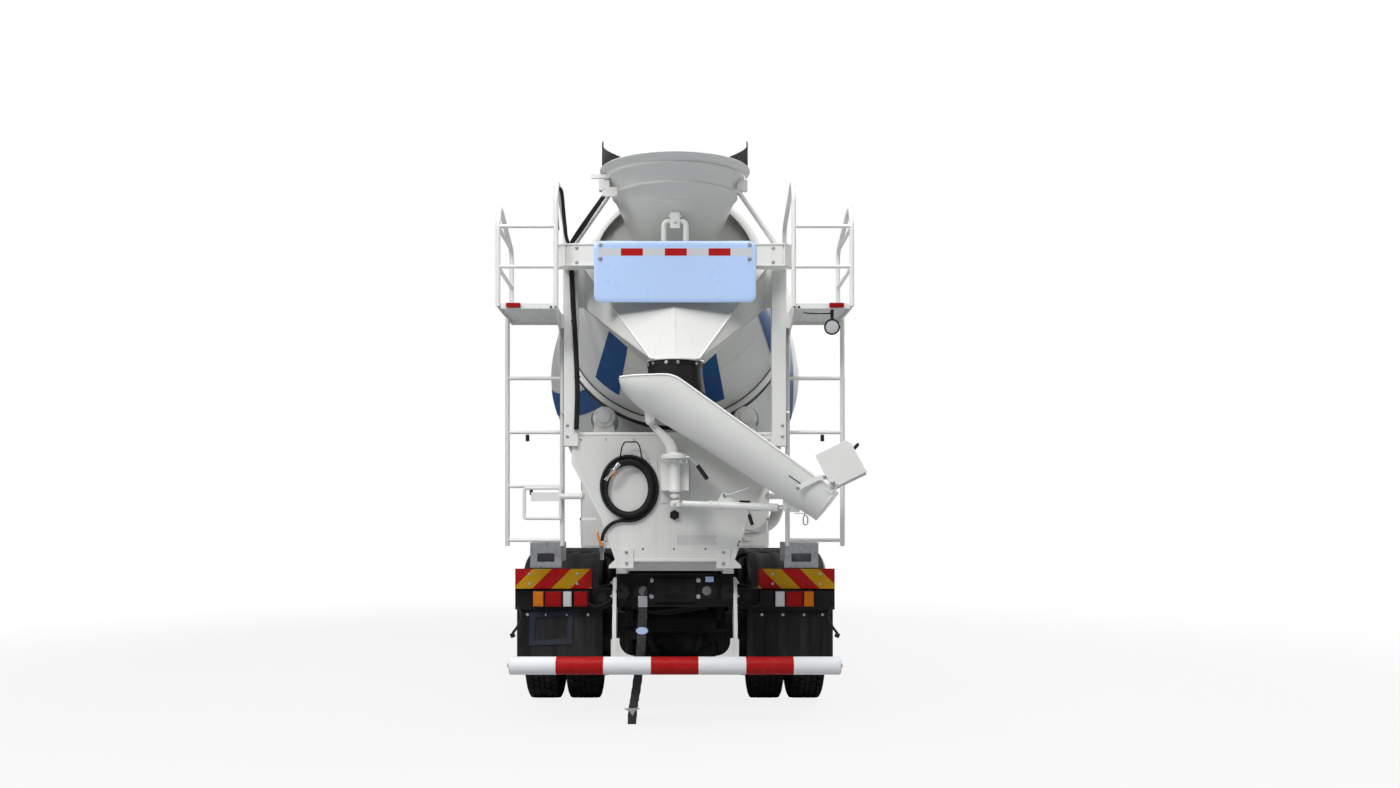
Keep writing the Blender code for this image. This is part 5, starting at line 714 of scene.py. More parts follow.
def seen_directly(tree):
    """1 for rays from the camera and through glass."""
    path = tree.nodes.new("ShaderNodeLightPath")
    either = tree.nodes.new("ShaderNodeMath")
    either.operation = "MAXIMUM"
    tree.links.new(path.outputs["Is Camera Ray"], either.inputs[0])
    tree.links.new(path.outputs["Is Transmission Ray"], either.inputs[1])
    return either.outputs[0]


def build_stage():
    """A pale floor that keeps the shadow, a white surround, and three soft lamps."""
    scene = bpy.context.scene
    scene.view_settings.view_transform = "Standard"
    world = bpy.data.worlds.new("surround")
    scene.world = world
    world.use_nodes = True
    tree = world.node_tree
    ambient = tree.nodes["Background"]
    ambient.inputs["Color"].default_value = (0.93, 0.96, 1.0, 1.0)
    ambient.inputs["Strength"].default_value = 0.17
    white = tree.nodes.new("ShaderNodeBackground")
    white.inputs["Color"].default_value = (1.0, 1.0, 1.0, 1.0)
    white.inputs["Strength"].default_value = 1.0
    mixer = tree.nodes.new("ShaderNodeMixShader")
    tree.links.new(seen_directly(tree), mixer.inputs[0])
    tree.links.new(ambient.outputs[0], mixer.inputs[1])
    tree.links.new(white.outputs[0], mixer.inputs[2])
    tree.links.new(mixer.outputs[0], tree.nodes["World Output"].inputs[0])
    floor_finish = Finish("studio_floor", (0.42, 0.43, 0.44), 0.9)
    tree = floor_finish.tree
    glow = tree.nodes.new("ShaderNodeEmission")
    glow.inputs["Strength"].default_value = 1.0
    mixer = tree.nodes.new("ShaderNodeMixShader")
    far = floor_finish.node(
        "ShaderNodeVectorMath", {"operation": "LENGTH"}, (floor_finish.place(),), 1
    )
    fade = far.ramp(5.0, 11.0, 0.86, 1.0)
    camera_only = Value(floor_finish, seen_directly(tree))
    floor_finish.fill(mixer.inputs[0], fade * camera_only)
    tree.links.new(floor_finish.shader.outputs[0], mixer.inputs[1])
    tree.links.new(glow.outputs[0], mixer.inputs[2])
    tree.links.new(mixer.outputs[0], tree.nodes["Material Output"].inputs[0])
    size = 60.0
    mesh = bpy.data.meshes.new("studio_floor")
    mesh.from_pydata(
        [(-size, -size, 0), (size, -size, 0), (size, size, 0), (-size, size, 0)], [], [(0, 1, 2, 3)]
    )
    mesh.materials.append(floor_finish.material)
    floor = bpy.data.objects.new("studio_floor", mesh)
    scene.collection.objects.link(floor)
    # Lamps: place, aim, size, watts
    lamps = {
        "sky_panel": ((0, -6.5, 11.5), (0, -2.0, 1.0), 12.0, 1750.0),
        "rear_left_panel": ((-6.5, -11.0, 9.0), (0, -3.0, 2.0), 2.5, 520.0),
        "front_right_panel": ((9.0, 8.0, 7.0), (0, 1.0, 1.5), 6.0, 950.0),
    }
    for name, (spot, aim, size, watts) in lamps.items():
        data = bpy.data.lights.new(name, "AREA")
        data.size = size
        data.energy = watts
        lamp = bpy.data.objects.new(name, data)
        lamp.location = spot
        lamp.rotation_euler = (Vector(aim) - Vector(spot)).to_track_quat("-Z", "Y").to_euler()
        scene.collection.objects.link(lamp)


# Finishes of the solids that stay, by the first words of a node's name
CARRIED = {
    "mixer_subframe": "white",
    "drum_gearbox": "grey",
    "rear_stand": "white",
    "discharge_funnel": "white",
    "charge_hopper": "white",
    "sign_board": "sign",
    "chute_column": "white",
    "strut": "white",
    "chute": "white",
    "ladder": "white",
    "chassis_frame": "black",
    "air_tank": "black",
    "rear_axle": "black",
    "bogie": "black",
    "front_axle": "black",
    "knuckle": "grey",
    "engine": "grey",
    "propeller_shaft": "black",
    "underrun_bar": "white",
    "tail_carrier": "black",
    "mudguard": "plastic",
    "cab_shell": "white",
    "cab_door": "white",
    "door_glass": "glass",
    "windscreen": "glass",
    "cab_interior": "trim",
    "front_bumper": "white",
    "fuel_tank": "step_plain",
    "battery_box": "plastic",
    "silencer": "steel",
    "water_tank": "white",
    "hopper_guard": "guard",
    "rubber_spout": "flap",
    "drum": "white",
    "wash_hose": "hose",
    "earthing_strap": "flap",
    "rear_wheels": "tyre",
    "front_wheel": "tyre",
}


def finish_solids():
    """Gives each solid of the frame its finish."""
    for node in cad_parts:
        obj = bpy.data.objects[node]
        starts = [start for start in CARRIED if node.startswith(start)]
        finish = FINISHES[CARRIED[max(starts, key=len)]]
        obj.data.materials.clear()
        obj.data.materials.append(finish.material)


AXLE_Z = 0.53335
DRIVEN_AXLES = (-2.20, -0.85)
BOGIE_Y = -1.525
FRONT_AXLE_Y = 2.85
CAB_SIDE = 1.2003
ROOF_Z = 2.9603
TREAD_RADIUS = 0.533
TWIN_MIDDLES = (0.7575, 1.0925)
FRONT_MIDDLE = 1.025


def tyre_rows():
    """Rows across a tyre: place across in metres, radius, and which cross grooves reach it."""
    side = [
        (0.105, 0.296), (0.124, 0.325), (0.137, 0.37), (0.1425, 0.425), (0.140, 0.470),
        (0.133, 0.503), (0.125, 0.520)
    ]
    rows = [(-across, radius, "wall") for across, radius in side]
    top, low = TREAD_RADIUS, TREAD_RADIUS - 0.014
    rows += [
        (-0.118, top - 0.003, "shoulder"), (-0.078, top, "shoulder"), (-0.076, low, "wall"),
        (-0.068, low, "wall"), (-0.066, top, "block"), (-0.026, top, "block"),
        (-0.024, low, "wall"), (-0.018, low, "wall"), (-0.016, top, "rib")
    ]
    return rows + [(-across, radius, kind) for across, radius, kind in reversed(rows)]


def add_tyre(form, middle):
    """A tyre with shoulder lugs, blocks and a middle rib, lying along the local X axis."""
    shares = {"shoulder": (0.05, 0.25), "block": (0.55, 0.68)}
    marks = [0.0, 0.05, 0.25, 0.30, 0.50, 0.55, 0.68, 0.73]
    rings = []
    for across, radius, kind in tyre_rows():
        ring = []
        late = 0.5 if across > 0 else 0.0
        for pitch in range(SIZES.tread_pitches):
            for mark in marks:
                low, high = shares.get(kind, (2.0, 3.0))
                depth = 0.013 if low - 0.01 < mark < high + 0.01 else 0.0
                angle = math.tau * (pitch + mark + late) / SIZES.tread_pitches
                reach = radius - depth
                ring.append(
                    Vector((middle + across, reach * math.cos(angle), reach * math.sin(angle)))
                )
        rings.append(ring)
    # Both halves start at the same angle on the middle rib, so the skin turns by half a pitch there
    form.skin(rings, around=True)


def holed_disc(form, profile, count, at, hole, steps=16):
    """A turned disc between two (radius, height) rows, with a ring of round holes through it."""
    (inner, inner_h), (outer, outer_h) = profile

    def spot(radius, angle, drop=0.0):
        share = (radius - inner) / (outer - inner)
        return Vector(
            (
                radius * math.cos(angle), radius * math.sin(angle),
                blended(inner_h, outer_h, share) - drop
            )
        )

    half = math.pi / count
    for cell in range(count):
        middle = math.tau * cell / count
        edge, lip, floor = [], [], []
        for step in range(steps):
            turn = math.tau * (step + 0.5) / steps
            across, out = math.sin(turn), math.cos(turn)
            stretch = 1 / max(abs(across), abs(out))
            reach = (outer - at) if out > 0 else (at - inner)
            edge.append(spot(at + out * stretch * reach, middle + across * stretch * half))
            lip.append(spot(at + out * hole, middle + across * hole / at))
            floor.append(spot(at + out * hole, middle + across * hole / at, 0.018))
        form.skin([edge, lip, floor], around=True)


def wheel_place(side, axle_y):
    """Local X runs outwards along the axle from the truck's middle."""
    return Matrix.Translation((0, axle_y, AXLE_Z)) @ Matrix.Rotation(
        0 if side > 0 else math.pi, 4, "Z"
    )


# A rim's closed outline: radius, and place across from the tyre's middle
RIM_HALF = [(0.292, -0.118), (0.306, -0.118), (0.306, -0.110), (0.290, -0.098), (0.272, -0.060)]
RIM_WELL = [*both_ends(RIM_HALF), (0.264, 0.055), (0.264, -0.055)]


def add_rim(form, middle):
    """A rim's well and flanges about a tyre's middle."""
    turn = Matrix.Rotation(math.pi / 2, 4, "Y")
    form.turned([(radius, middle + along) for radius, along in RIM_WELL], turn, 56)


def add_face(form, disc, lip, barrel, face, hub):
    """The wheel's disc: hand holes towards its lip, a barrel behind, a plain face, a hub, nuts."""
    turn = Matrix.Rotation(math.pi / 2, 4, "Y")
    first = len(form.points)
    holed_disc(form, ((0.190, disc), (lip[0], disc + lip[1])), 10, 0.228, 0.026)
    form.placed(turn, first)
    form.turned(barrel, turn, 40)
    form.turned([(radius, disc + out) for radius, out in face], turn, 56)
    form.turned([(radius, disc + out) for radius, out in hub], turn, 40)


def put_wheels(side, axle_y, body, pieces):
    """Places copies of a wheel's pieces: form, name, finish and the solids that each stands for."""
    place = wheel_place(side, axle_y)
    for form, name, finish, nodes in pieces:
        copy = Form()
        copy.points, copy.faces = [place @ point for point in form.points], form.faces
        copy.made(name, finish, body, nodes, angle=30)


def build_wheels():
    """Treaded tyres on dished rims for two twin axles and the steered axle."""
    way = (1, 0, 0)
    tyres, rims = Form(), Form()
    for middle in TWIN_MIDDLES:
        add_tyre(tyres, middle)
        add_rim(rims, middle)
    disc = 0.955
    barrel = [(0.0, 0.63), (0.20, 0.63), (0.205, 0.70), (0.205, 0.92), (0.0, 0.92)]
    face = [(0.0, -0.014), (0.190, -0.014), (0.190, 0.0), (0.132, 0.004), (0.0, 0.004)]
    hub = [
        (0.0, 0.0), (0.125, 0.0), (0.125, 0.05), (0.112, 0.075), (0.100, 0.080), (0.096, 0.115),
        (0.085, 0.122), (0.0, 0.122)
    ]
    add_face(rims, disc, (0.266, 0.035), barrel, face, hub)
    rims.nut_ring((disc + 0.002, 0, 0), way, 0.160, 10, 0.030)
    rims.nut_ring((disc + 0.079, 0, 0), way, 0.105, 12, 0.014)
    front_tyre, front_rim = Form(), Form()
    add_tyre(front_tyre, FRONT_MIDDLE)
    add_rim(front_rim, FRONT_MIDDLE)
    disc = FRONT_MIDDLE + 0.055
    barrel = [(0.0, 0.915), (0.19, 0.915), (0.205, 0.94), (0.205, 1.03), (0.0, 1.03)]
    face = [(0.0, -0.014), (0.190, -0.014), (0.190, 0.0), (0.0, 0.0)]
    hub = [(0.0, 0.0), (0.100, 0.0), (0.100, 0.035), (0.090, 0.045), (0.0, 0.045)]
    add_face(front_rim, disc, (0.268, -0.02), barrel, face, hub)
    front_rim.nut_ring((disc - 0.001, 0, 0), way, 0.160, 10, 0.030)
    for name, side in SIDES.items():
        for number, axle_y in ((1, DRIVEN_AXLES[1]), (2, DRIVEN_AXLES[0])):
            end = f"{number}_{name}"
            pieces = [
                (tyres, f"tyres_{end}", "tyre", (f"rear_wheels_{end}",)),
                (rims, f"rims_{end}", "silver", ()),
            ]
            put_wheels(side, axle_y, f"wheels_{end}", pieces)
        pieces = [
            (front_tyre, f"front_tyre_{name}", "tyre", (f"front_wheel_{name}",)),
            (front_rim, f"front_rim_{name}", "silver", ()),
        ]
        put_wheels(side, FRONT_AXLE_Y, f"wheel_front_{name}", pieces)


MOUTH = Vector((0, -3.40, 3.40))
DRUM_TILT = math.radians(13)
DRUM_TURN = Matrix.Translation(MOUTH) @ Matrix.Rotation(-math.pi / 2 - DRUM_TILT, 4, "X")
# Outer line of the drum: distance from the mouth, radius
DRUM_LINE = [
    (0.06, 0.6385), (0.84, 0.91), (0.96, 0.918), (2.217, 1.17), (3.181, 1.17), (4.531, 0.819),
    (4.724, 0.5265), (4.804, 0.20)
]


def drum_radius(along):
    """The drum's radius at a distance from the mouth."""
    for (start, low), (end, high) in zip(DRUM_LINE, DRUM_LINE[1:]):
        if along <= end:
            return blended(low, high, (along - start) / (end - start))
    return DRUM_LINE[-1][1]


def on_drum(along, angle, out=0.0):
    """A place on the drum's skin; angle 0 is to the right and a quarter turn is up."""
    radius = drum_radius(along) + out
    return DRUM_TURN @ Vector((radius * math.cos(angle), -radius * math.sin(angle), along))


def build_drum():
    """The drum's shell with its rings, hatches and stripes, and the two blades inside."""
    shell = Form()
    skin = [
        (0.6385, 0.070), (0.910, 0.838), (0.918, 0.962), (1.150, 2.117), (1.1625, 2.190),
        (1.1685, 2.260), (1.1685, 3.14), (1.160, 3.215), (1.143, 3.29), (0.832, 4.48),
        (0.800, 4.56), (0.740, 4.62), (0.5265, 4.715), (0.30, 4.79), (0.20, 4.806), (0.20, 4.819),
        (0, 4.819)
    ]
    inner = [
        (0, 4.68), (0.50, 4.64), (0.79, 4.48), (1.15, 3.17), (1.15, 2.24), (0.900, 0.96),
        (0.623, 0.072), (0.6385, 0.070)
    ]
    shell.turned(skin + inner, DRUM_TURN, 128, wrap=False)
    shell.made("drum_barrel", "white", "drum", ("drum_shell",), angle=24)
    rings = Form()
    mouth = [
        (0.612, 0.003), (0.618, 0.0), (0.661, 0.0), (0.667, 0.004), (0.667, 0.066), (0.663, 0.070),
        (0.638, 0.073)
    ]
    rings.turned([*mouth, (0.636, 0.070), (0.625, 0.060), (0.612, 0.012)], DRUM_TURN, 128)
    seams = (0.36, 1.55, 2.215, 3.18, 3.85)
    for along in seams:
        radius = drum_radius(along)
        rings.turned(
            [
                (radius - 0.004, along - 0.008), (radius + 0.0012, along),
                (radius - 0.004, along + 0.008)
            ], DRUM_TURN, 128
        )
    rings.made("drum_mouth_ring", "white", "drum", angle=40)
    track = Form()
    track.turned(
        [(0.905, 0.84), (0.955, 0.84), (0.96, 0.845), (0.96, 0.955), (0.955, 0.96), (0.915, 0.96)],
        DRUM_TURN, 128
    )
    track.made("drum_track_ring", "white", "drum", angle=40)
    # Two black bands at the track ring: grease on its running face, and painted shade in the groove
    # where the ring meets the drum.
    grease_and_groove_shade = Form()
    grease_and_groove_shade.turned(
        [(0.957, 0.852), (0.9615, 0.854), (0.9615, 0.946), (0.957, 0.948)], DRUM_TURN, 128
    )
    grease_and_groove_shade.turned(
        [(0.9005, 0.832), (0.916, 0.834), (0.916, 0.8395), (0.902, 0.8395)], DRUM_TURN, 128
    )
    grease_and_groove_shade.made("drum_track_grease_and_groove_shade", "hose", "drum")
    hatch = Form()
    for angle in (0.9, 0.9 + math.pi):
        rows = []
        for step in range(9):
            along = 2.34 + 0.42 * step / 8
            rows.append([on_drum(along, angle + (turn - 4) * 0.05, 0.0095) for turn in range(9)])
        hatch.skin(rows)
        spots = [
            (2.38, -0.17), (2.38, 0.17), (2.72, -0.17), (2.72, 0.17), (2.55, -0.18), (2.55, 0.18)
        ]
        for along, turn in spots:
            spot = on_drum(along, angle + turn, 0.013)
            hatch.bolt(spot, spot - on_drum(along, angle + turn, -0.2))
    hatch.made("drum_hatches", "white", "drum", wall=0.006)
    build_blades()
    build_stripes()


def build_blades():
    """Two steel spirals welded inside the drum, whose ends show in the mouth."""
    for number in range(2):
        rows = []
        for step in range(121):
            along = 0.10 + 3.6 * step / 120
            angle = number * math.pi + 0.35 + along * 2.1
            outer = drum_radius(along) - 0.022
            depth = blended(0.16, 0.36, min(1.0, along / 1.2))
            ring = []
            for lean in (0.0, 0.35, 0.7, 1.0):
                radius = outer - depth * lean
                spot = Vector(
                    (radius * math.cos(angle), -radius * math.sin(angle), along + 0.06 * lean)
                )
                ring.append(DRUM_TURN @ spot)
            rows.append(ring)
        form = Form()
        form.skin(rows)
        form.made(f"drum_blade_{number + 1}", "inside", "drum", wall=0.006, angle=50)
    liner = Form()
    liner.turned(
        [(0.6205, 0.075), (0.897, 0.96), (1.147, 2.24), (1.147, 3.17), (0.787, 4.478), (0.0, 4.66)],
        DRUM_TURN, 96, wrap=False
    )
    liner.faces = [face for face in liner.faces if len(face) < 5]
    liner.made("drum_lining", "inside", "drum", angle=50)


# Stripes: distance from the mouth at both ends, angle at the start, how far it winds, its width
STRIPES = [
    (0.09, 0.715, -2.27, 0.02, 0.28),
    (0.09, 0.715, -1.24, 0.0, 0.28),
    (0.09, 0.715, -0.26, -0.08, 0.28),
    (0.09, 0.715, 0.78, -0.05, 0.28),
    (0.09, 0.715, 1.83, -0.05, 0.28),
    (0.09, 0.715, 2.87, -0.02, 0.28),
    (1.02, 4.40, -2.36, -1.50, 0.22),
    (1.02, 4.40, 0.05, -1.50, 0.22),
    (1.02, 4.40, 1.99, -1.50, 0.22),
]


def build_stripes():
    """Painted bands that wind round the drum, as thin skins on its surface."""
    form = Form()
    for start, end, angle, wind, width in STRIPES:
        steps = max(6, int((end - start) * 30))
        rows = []
        for step in range(steps + 1):
            share = step / steps
            along = blended(start, end, share)
            middle = angle + wind * share
            rows.append(
                [on_drum(along, middle + width * (turn / 8 - 0.5), 0.0042) for turn in range(9)]
            )
        form.skin(rows)
    form.made("drum_stripes", "blue", "drum", angle=50)


RIM_Z, RIM_Y, RIM_SIZE = 4.0, -3.78, (0.52, 0.44)
THROAT_Z, THROAT_Y, THROAT_RADIUS = 3.45, -3.32, 0.24


def hopper_spot(share, angle, out=0.0):
    """A place on the hopper, from the rim at 0 down to the throat at 1."""
    middle = blended(RIM_Y, THROAT_Y, share)
    half_x = blended(RIM_SIZE[0], THROAT_RADIUS, share) + out
    half_y = blended(RIM_SIZE[1], THROAT_RADIUS, share) + out
    return Vector(
        (
            half_x * math.cos(angle), middle + half_y * math.sin(angle),
            blended(RIM_Z, THROAT_Z, share)
        )
    )


def build_hopper():
    """The charge hopper: skewed cone with pressed beads and a rolled rim, and its side braces."""
    # Rows of the wall: share of the way down, how far the skin stands out
    rows = [
        (0.0, 0.0), (0.0, 0.012), (0.006, 0.0165), (0.022, 0.0165), (0.030, 0.010), (0.034, 0.0),
        (0.075, 0.0)
    ]
    for middle in (0.10, 0.28):
        rows += [
            (middle - 0.022, 0.0), (middle - 0.014, 0.008), (middle, 0.0125),
            (middle + 0.014, 0.008), (middle + 0.022, 0.0)
        ]
    rows += [
        (0.4, 0.0), (0.6, 0.0), (0.8, 0.0), (1.0, 0.0), (1.0, -0.006), (0.6, -0.006), (0.3, -0.006)
    ]
    rows.sort(key=lambda row: row[0] if row[1] >= 0 else 2 - row[0])
    form = Form()
    steps = 96
    form.rings(
        [
            [hopper_spot(share, math.tau * step / steps, out) for step in range(steps)]
            for share, out in rows
        ], wrap=True
    )
    form.made("hopper_cone", "white", "chassis", ("charge_hopper",), angle=50)
    braces = Form()
    for side in SIDES.values():
        braces.sided(side, (0.70, -3.70, 3.4653), (0.80, -3.60, 3.4773))
        braces.tube([(side * 0.75, -3.65, 3.484), (side * 0.465, -3.69, 3.878)], 0.017)
        braces.bolts([(side * 0.72, -3.68, 3.4773), (side * 0.78, -3.62, 3.4773)], (0, 0, 1), 0.018)
    braces.made("hopper_braces", "white", "chassis", edge=0.002)
    build_hopper_fittings()


def rear_of_hopper(x, z, out=0.004):
    """The place on the hopper's rear face at a given width and height."""
    share = (RIM_Z - z) / (RIM_Z - THROAT_Z)
    half_x = blended(RIM_SIZE[0], THROAT_RADIUS, share) + out
    return hopper_spot(share, -math.acos(max(-1.0, min(1.0, x / half_x))), out)


def build_hopper_fittings():
    """The hopper's flap with its frame and catch, its boxes and a blank bolted plate."""
    flap = Form()
    rows = []
    for up in range(9):
        z = 3.48 + 0.278 * up / 8
        rows.append([rear_of_hopper(-0.116 + 0.228 * step / 8, z, 0.006) for step in range(9)])
    flap.skin(rows)
    flap.made("hopper_flap", "white", "chassis", wall=0.006, edge=0.0015)
    frame_bar = Form()
    frame_bar.tube(
        [
            (-0.078, -3.85, 3.462), (-0.078, -3.85, 3.628), (0.078, -3.85, 3.628),
            (0.078, -3.85, 3.462)
        ], 0.020, 20, 0.035
    )
    frame_bar.block((-0.034, -3.878, 3.575), (0.034, -3.832, 3.686))
    frame_bar.block((-0.046, -3.872, 3.655), (0.046, -3.836, 3.668))
    frame_bar.bolt((0, -3.878, 3.62), REAR, 0.020)
    frame_bar.made("hopper_flap_frame", "white", "chassis", edge=0.003)
    boxes = Form()
    for x, z in ((-0.50, 3.885), (0.475, 3.885)):
        boxes.block((x - 0.038, -3.86, z - 0.035), (x + 0.038, -3.80, z + 0.035))
    boxes.block((-0.59, -3.87, 3.93), (-0.42, -3.845, 3.958))
    boxes.block((-0.512, -3.872, 3.80), (-0.405, -3.862, 3.865))
    spots = [(x, -3.872, z) for x in (-0.502, -0.415) for z in (3.81, 3.855)]
    boxes.bolts(spots, REAR, 0.010)
    boxes.made("hopper_boxes", "white", "chassis", edge=0.003)


def build_guard():
    """The rubber splash guard round the front half of the rim, with its clamping strip."""
    steps = 72
    rows = []
    for step in range(steps + 1):
        angle = blended(math.radians(-8), math.radians(188), step / steps)
        wave = 0.004 * math.sin(angle * 9)
        row = []
        for up in (0.0, 0.015, 0.05, 0.10, 0.15, 0.185, 0.196):
            lean = wave * up / 0.2
            spot = Vector(
                (
                    (0.517 + lean) * math.cos(angle), RIM_Y + (0.437 + lean) * math.sin(angle),
                    4.0035 + up
                )
            )
            row.append(spot)
        rows.append(row)
    form = Form()
    form.skin(rows)
    form.made("splash_guard", "guard", "chassis", ("hopper_guard",), wall=0.007, angle=60)
    strip = Form()
    rows = []
    for step in range(steps + 1):
        angle = blended(math.radians(-8), math.radians(188), step / steps)
        rows.append(
            [
                ((0.524 * math.cos(angle)), RIM_Y + 0.444 * math.sin(angle), 4.0035 + up)
                for up in (0.0, 0.028)
            ]
        )
    strip.skin(rows)
    strip.made("splash_guard_strip", "zinc", "chassis", wall=0.003)


def build_sign():
    """The blank sign board with rounded corners, its reflecting band and four bolts."""
    form = Form()
    rows = []
    for inset, y in ((0.0, -3.9005), (0.0, -3.9105), (0.002, -3.9120), (0.03, -3.9120)):
        half, low, high = 0.518 - inset, 3.096 + inset, 3.426 - inset
        rows.append([(x, y, z) for x, z in rounded_box((-half, low), (half, high), 0.05, 8)])
    form.rings(rows)
    form.made("sign_panel", "sign", "chassis", ("sign_board",), angle=50)
    band = Form()
    band.block((-0.536, -3.9123, 3.372), (0.536, -3.9118, 3.424))
    band.made("sign_band", "sign_band", "chassis", edge=0.0003)
    bolts = Form()
    bolts.bolts(
        [(side * 0.523, -3.912, z) for side in (-1, 1) for z in (3.451, 3.352)], REAR, 0.022
    )
    bolts.made("sign_bolts", "zinc", "chassis", edge=0.0005)


PANEL_FACE = -3.672
CHUTE_Y = -3.90
RAIL_FACE = 0.4303
PIVOT_U, PIVOT_Z = -0.171, 2.212
STRUT_FOOT_Z = 1.636
STRUT_LENGTH = 0.78782
CHUTE_AT = Matrix.Translation((0, CHUTE_Y, 0)) @ Matrix.Rotation(math.radians(-10), 4, "Z")


def build_panel():
    """The rear stand's folded sheets and stays, then what is bolted and hung on them."""
    sheets = Form()
    outline = [
        (-0.43, 1.215), (0.43, 1.215), (0.541, 1.537), (0.748, 1.93), (0.748, 2.153),
        (-0.748, 2.153), (-0.748, 1.93), (-0.541, 1.537)
    ]
    skins = []
    for inset, y in (
        (0.001, PANEL_FACE - 0.0005), (0.001, PANEL_FACE - 0.003), (0.004, PANEL_FACE - 0.006),
        (0.020, PANEL_FACE - 0.006)
    ):
        skins.append(
            [
                Vector((x * (1 - inset / 0.5), y, blended(z, 1.684, inset / 0.47)))
                for x, z in outline
            ]
        )
    skins.append(
        [
            Vector((point.x * 0.99, PANEL_FACE - 0.0015, blended(point.z, 1.684, 0.01)))
            for point in skins[-1]
        ]
    )
    sheets.rings(skins)
    # Pocket behind the column: a folded frame round a shallow recess
    for low, high in (
        ((-0.137, 1.641), (-0.127, 1.952)), ((0.106, 1.641), (0.116, 1.952)),
        ((-0.137, 1.641), (0.116, 1.651))
    ):
        sheets.block((low[0], PANEL_FACE - 0.009, low[1]), (high[0], PANEL_FACE - 0.001, high[1]))
    # Foot plates with their gussets
    for side in (1, -1):
        sheets.sided(side, (0.300, PANEL_FACE - 0.012, 1.178), (0.400, PANEL_FACE - 0.001, 1.312))
    for side in SIDES.values():
        gusset = [
            (side * 0.400, 1.178), (side * 0.478, 1.178), (side * 0.478, 1.190),
            (side * 0.400, 1.262)
        ]
        sheets.prism(gusset, "Y", PANEL_FACE - 0.008, PANEL_FACE)
        sheets.sided(side, (0.30, -3.70, 1.170), (0.478, -3.62, 1.179))
    # Ledges beside the foot, a post at the column and a lug with a hole
    sheets.block((-0.686, -3.70, 1.515), (-0.565, -3.672, 1.535))
    sheets.block((-0.686, -3.70, 1.408), (-0.674, -3.66, 1.535))
    sheets.block((0.560, -3.70, 1.515), (0.672, -3.672, 1.533))
    sheets.block((0.660, -3.70, 1.394), (0.672, -3.66, 1.533))
    sheets.block((0.735, -3.672, 2.02), (0.748, -3.64, 2.27))
    sheets.collar(0.011, 0.024, 0, 0.008, turned_to((0.47, -3.67, 1.345), REAR), 20)
    sheets.made("panel_folds", "white", "chassis", edge=0.0015)
    stays = Form()
    for side in SIDES.values():
        stays.tube(
            [(side * 0.66, -3.640, 1.69), (side * 0.80, -3.632, 1.69), (side * 0.83, -3.60, 1.69)],
            0.021, 20, 0.03
        )
        stays.disc(0.038, 0.012, turned_to((side * 0.672, -3.640, 1.69), (side, 0, 0)), 24)
        stays.tube([(side * 0.80, -3.60, 2.90), (side * 0.86, -3.58, 2.96)], 0.014, 16)
    stays.made("stand_stays", "white", "chassis")
    build_panel_fixings()
    build_hose_fittings()
    build_beam_ends()
    build_rear_cables()
    build_spare_chute()


def build_panel_fixings():
    """Plugs, knob, blank plate and bolts of the rear stand."""
    plugs = Form()
    for x, z in ((-0.2315, 1.308), (-0.007, 1.308), (0.2206, 1.308)):
        plugs.disc(0.007, 0.0012, turned_to((x, PANEL_FACE - 0.0015, z), REAR), 16)
    knob = turned_to((-0.004, PANEL_FACE - 0.001, 1.554), REAR)
    plugs.turned([(0, 0), (0.037, 0), (0.037, 0.010), (0.030, 0.014), (0, 0.014)], knob, 6)
    plugs.turned([(0, 0.012), (0.029, 0.012), (0.029, 0.028), (0.024, 0.033), (0, 0.033)], knob, 6)
    plugs.made("panel_plugs", "plastic", "chassis", edge=0.001)
    plate = Form()
    plate.block((0.0145, PANEL_FACE - 0.0024, 1.337), (0.2966, PANEL_FACE - 0.001, 1.409))
    plate.made("blank_plate", "sheet", "chassis", edge=0.0004)
    bolts = Form()
    for side in SIDES.values():
        bolts.bolts(
            [(side * 0.350, PANEL_FACE - 0.012, 1.205), (side * 0.350, PANEL_FACE - 0.012, 1.285)],
            REAR, 0.018
        )
        bolts.bolts([(side * 0.775, -3.700, z) for z in (2.12, 2.20)], REAR, 0.016)
        bolts.bolts([(side * 0.690, -3.90, z) for z in (3.33, 3.43)], REAR, 0.018)
        bolts.bolts([(side * x, PANEL_FACE, 2.10) for x in (0.30, 0.50, 0.68)], REAR, 0.014)
    bolts.bolts(
        [
            (0.015 + step * 0.2816, PANEL_FACE - 0.0024, z) for step in (0, 1)
            for z in (1.345, 1.401)
        ], REAR, 0.006
    )
    bolts.made("panel_bolts", "zinc", "chassis", edge=0.0005)


def build_hose_fittings():
    """The hose's wire hooks and its valve with the orange lever."""
    hook = Form()
    wire = [
        (-0.392, -3.673, 1.975), (-0.392, -3.735, 1.975), (-0.380, -3.738, 2.045),
        (-0.360, -3.736, 2.078), (-0.272, -3.736, 2.078), (-0.252, -3.738, 2.045),
        (-0.240, -3.735, 1.975), (-0.240, -3.673, 1.975)
    ]
    hook.tube(wire, 0.005, 12, 0.012)
    for x in (-0.40, -0.27):
        hook.tube([(x, -3.673, 1.560), (x, -3.735, 1.552), (x, -3.742, 1.575)], 0.005, 12, 0.01)
    hook.made("hose_hook", "plastic", "chassis")
    valve = Form()
    place = Matrix.Translation((-0.526, -3.690, 1.305))
    valve.turned(
        [
            (0, -0.075), (0.014, -0.075), (0.014, -0.02), (0.0205, -0.015), (0.0205, 0.045),
            (0.016, 0.052), (0.016, 0.0595), (0, 0.0595)
        ], place, 24
    )
    valve.collar(0, 0.024, -0.02, -0.002, place, 6)
    valve.made("hose_valve", "chrome", "chassis")
    lever = Form()
    lever.tube(
        [(-0.526, -3.712, 1.345), (-0.545, -3.722, 1.37), (-0.556, -3.722, 1.43)], 0.008, 12, 0.015
    )
    lever.disc(0.013, 0.02, turned_to((-0.526, -3.700, 1.345), REAR), 16)
    lever.made("hose_valve_lever", "orange", "chassis")


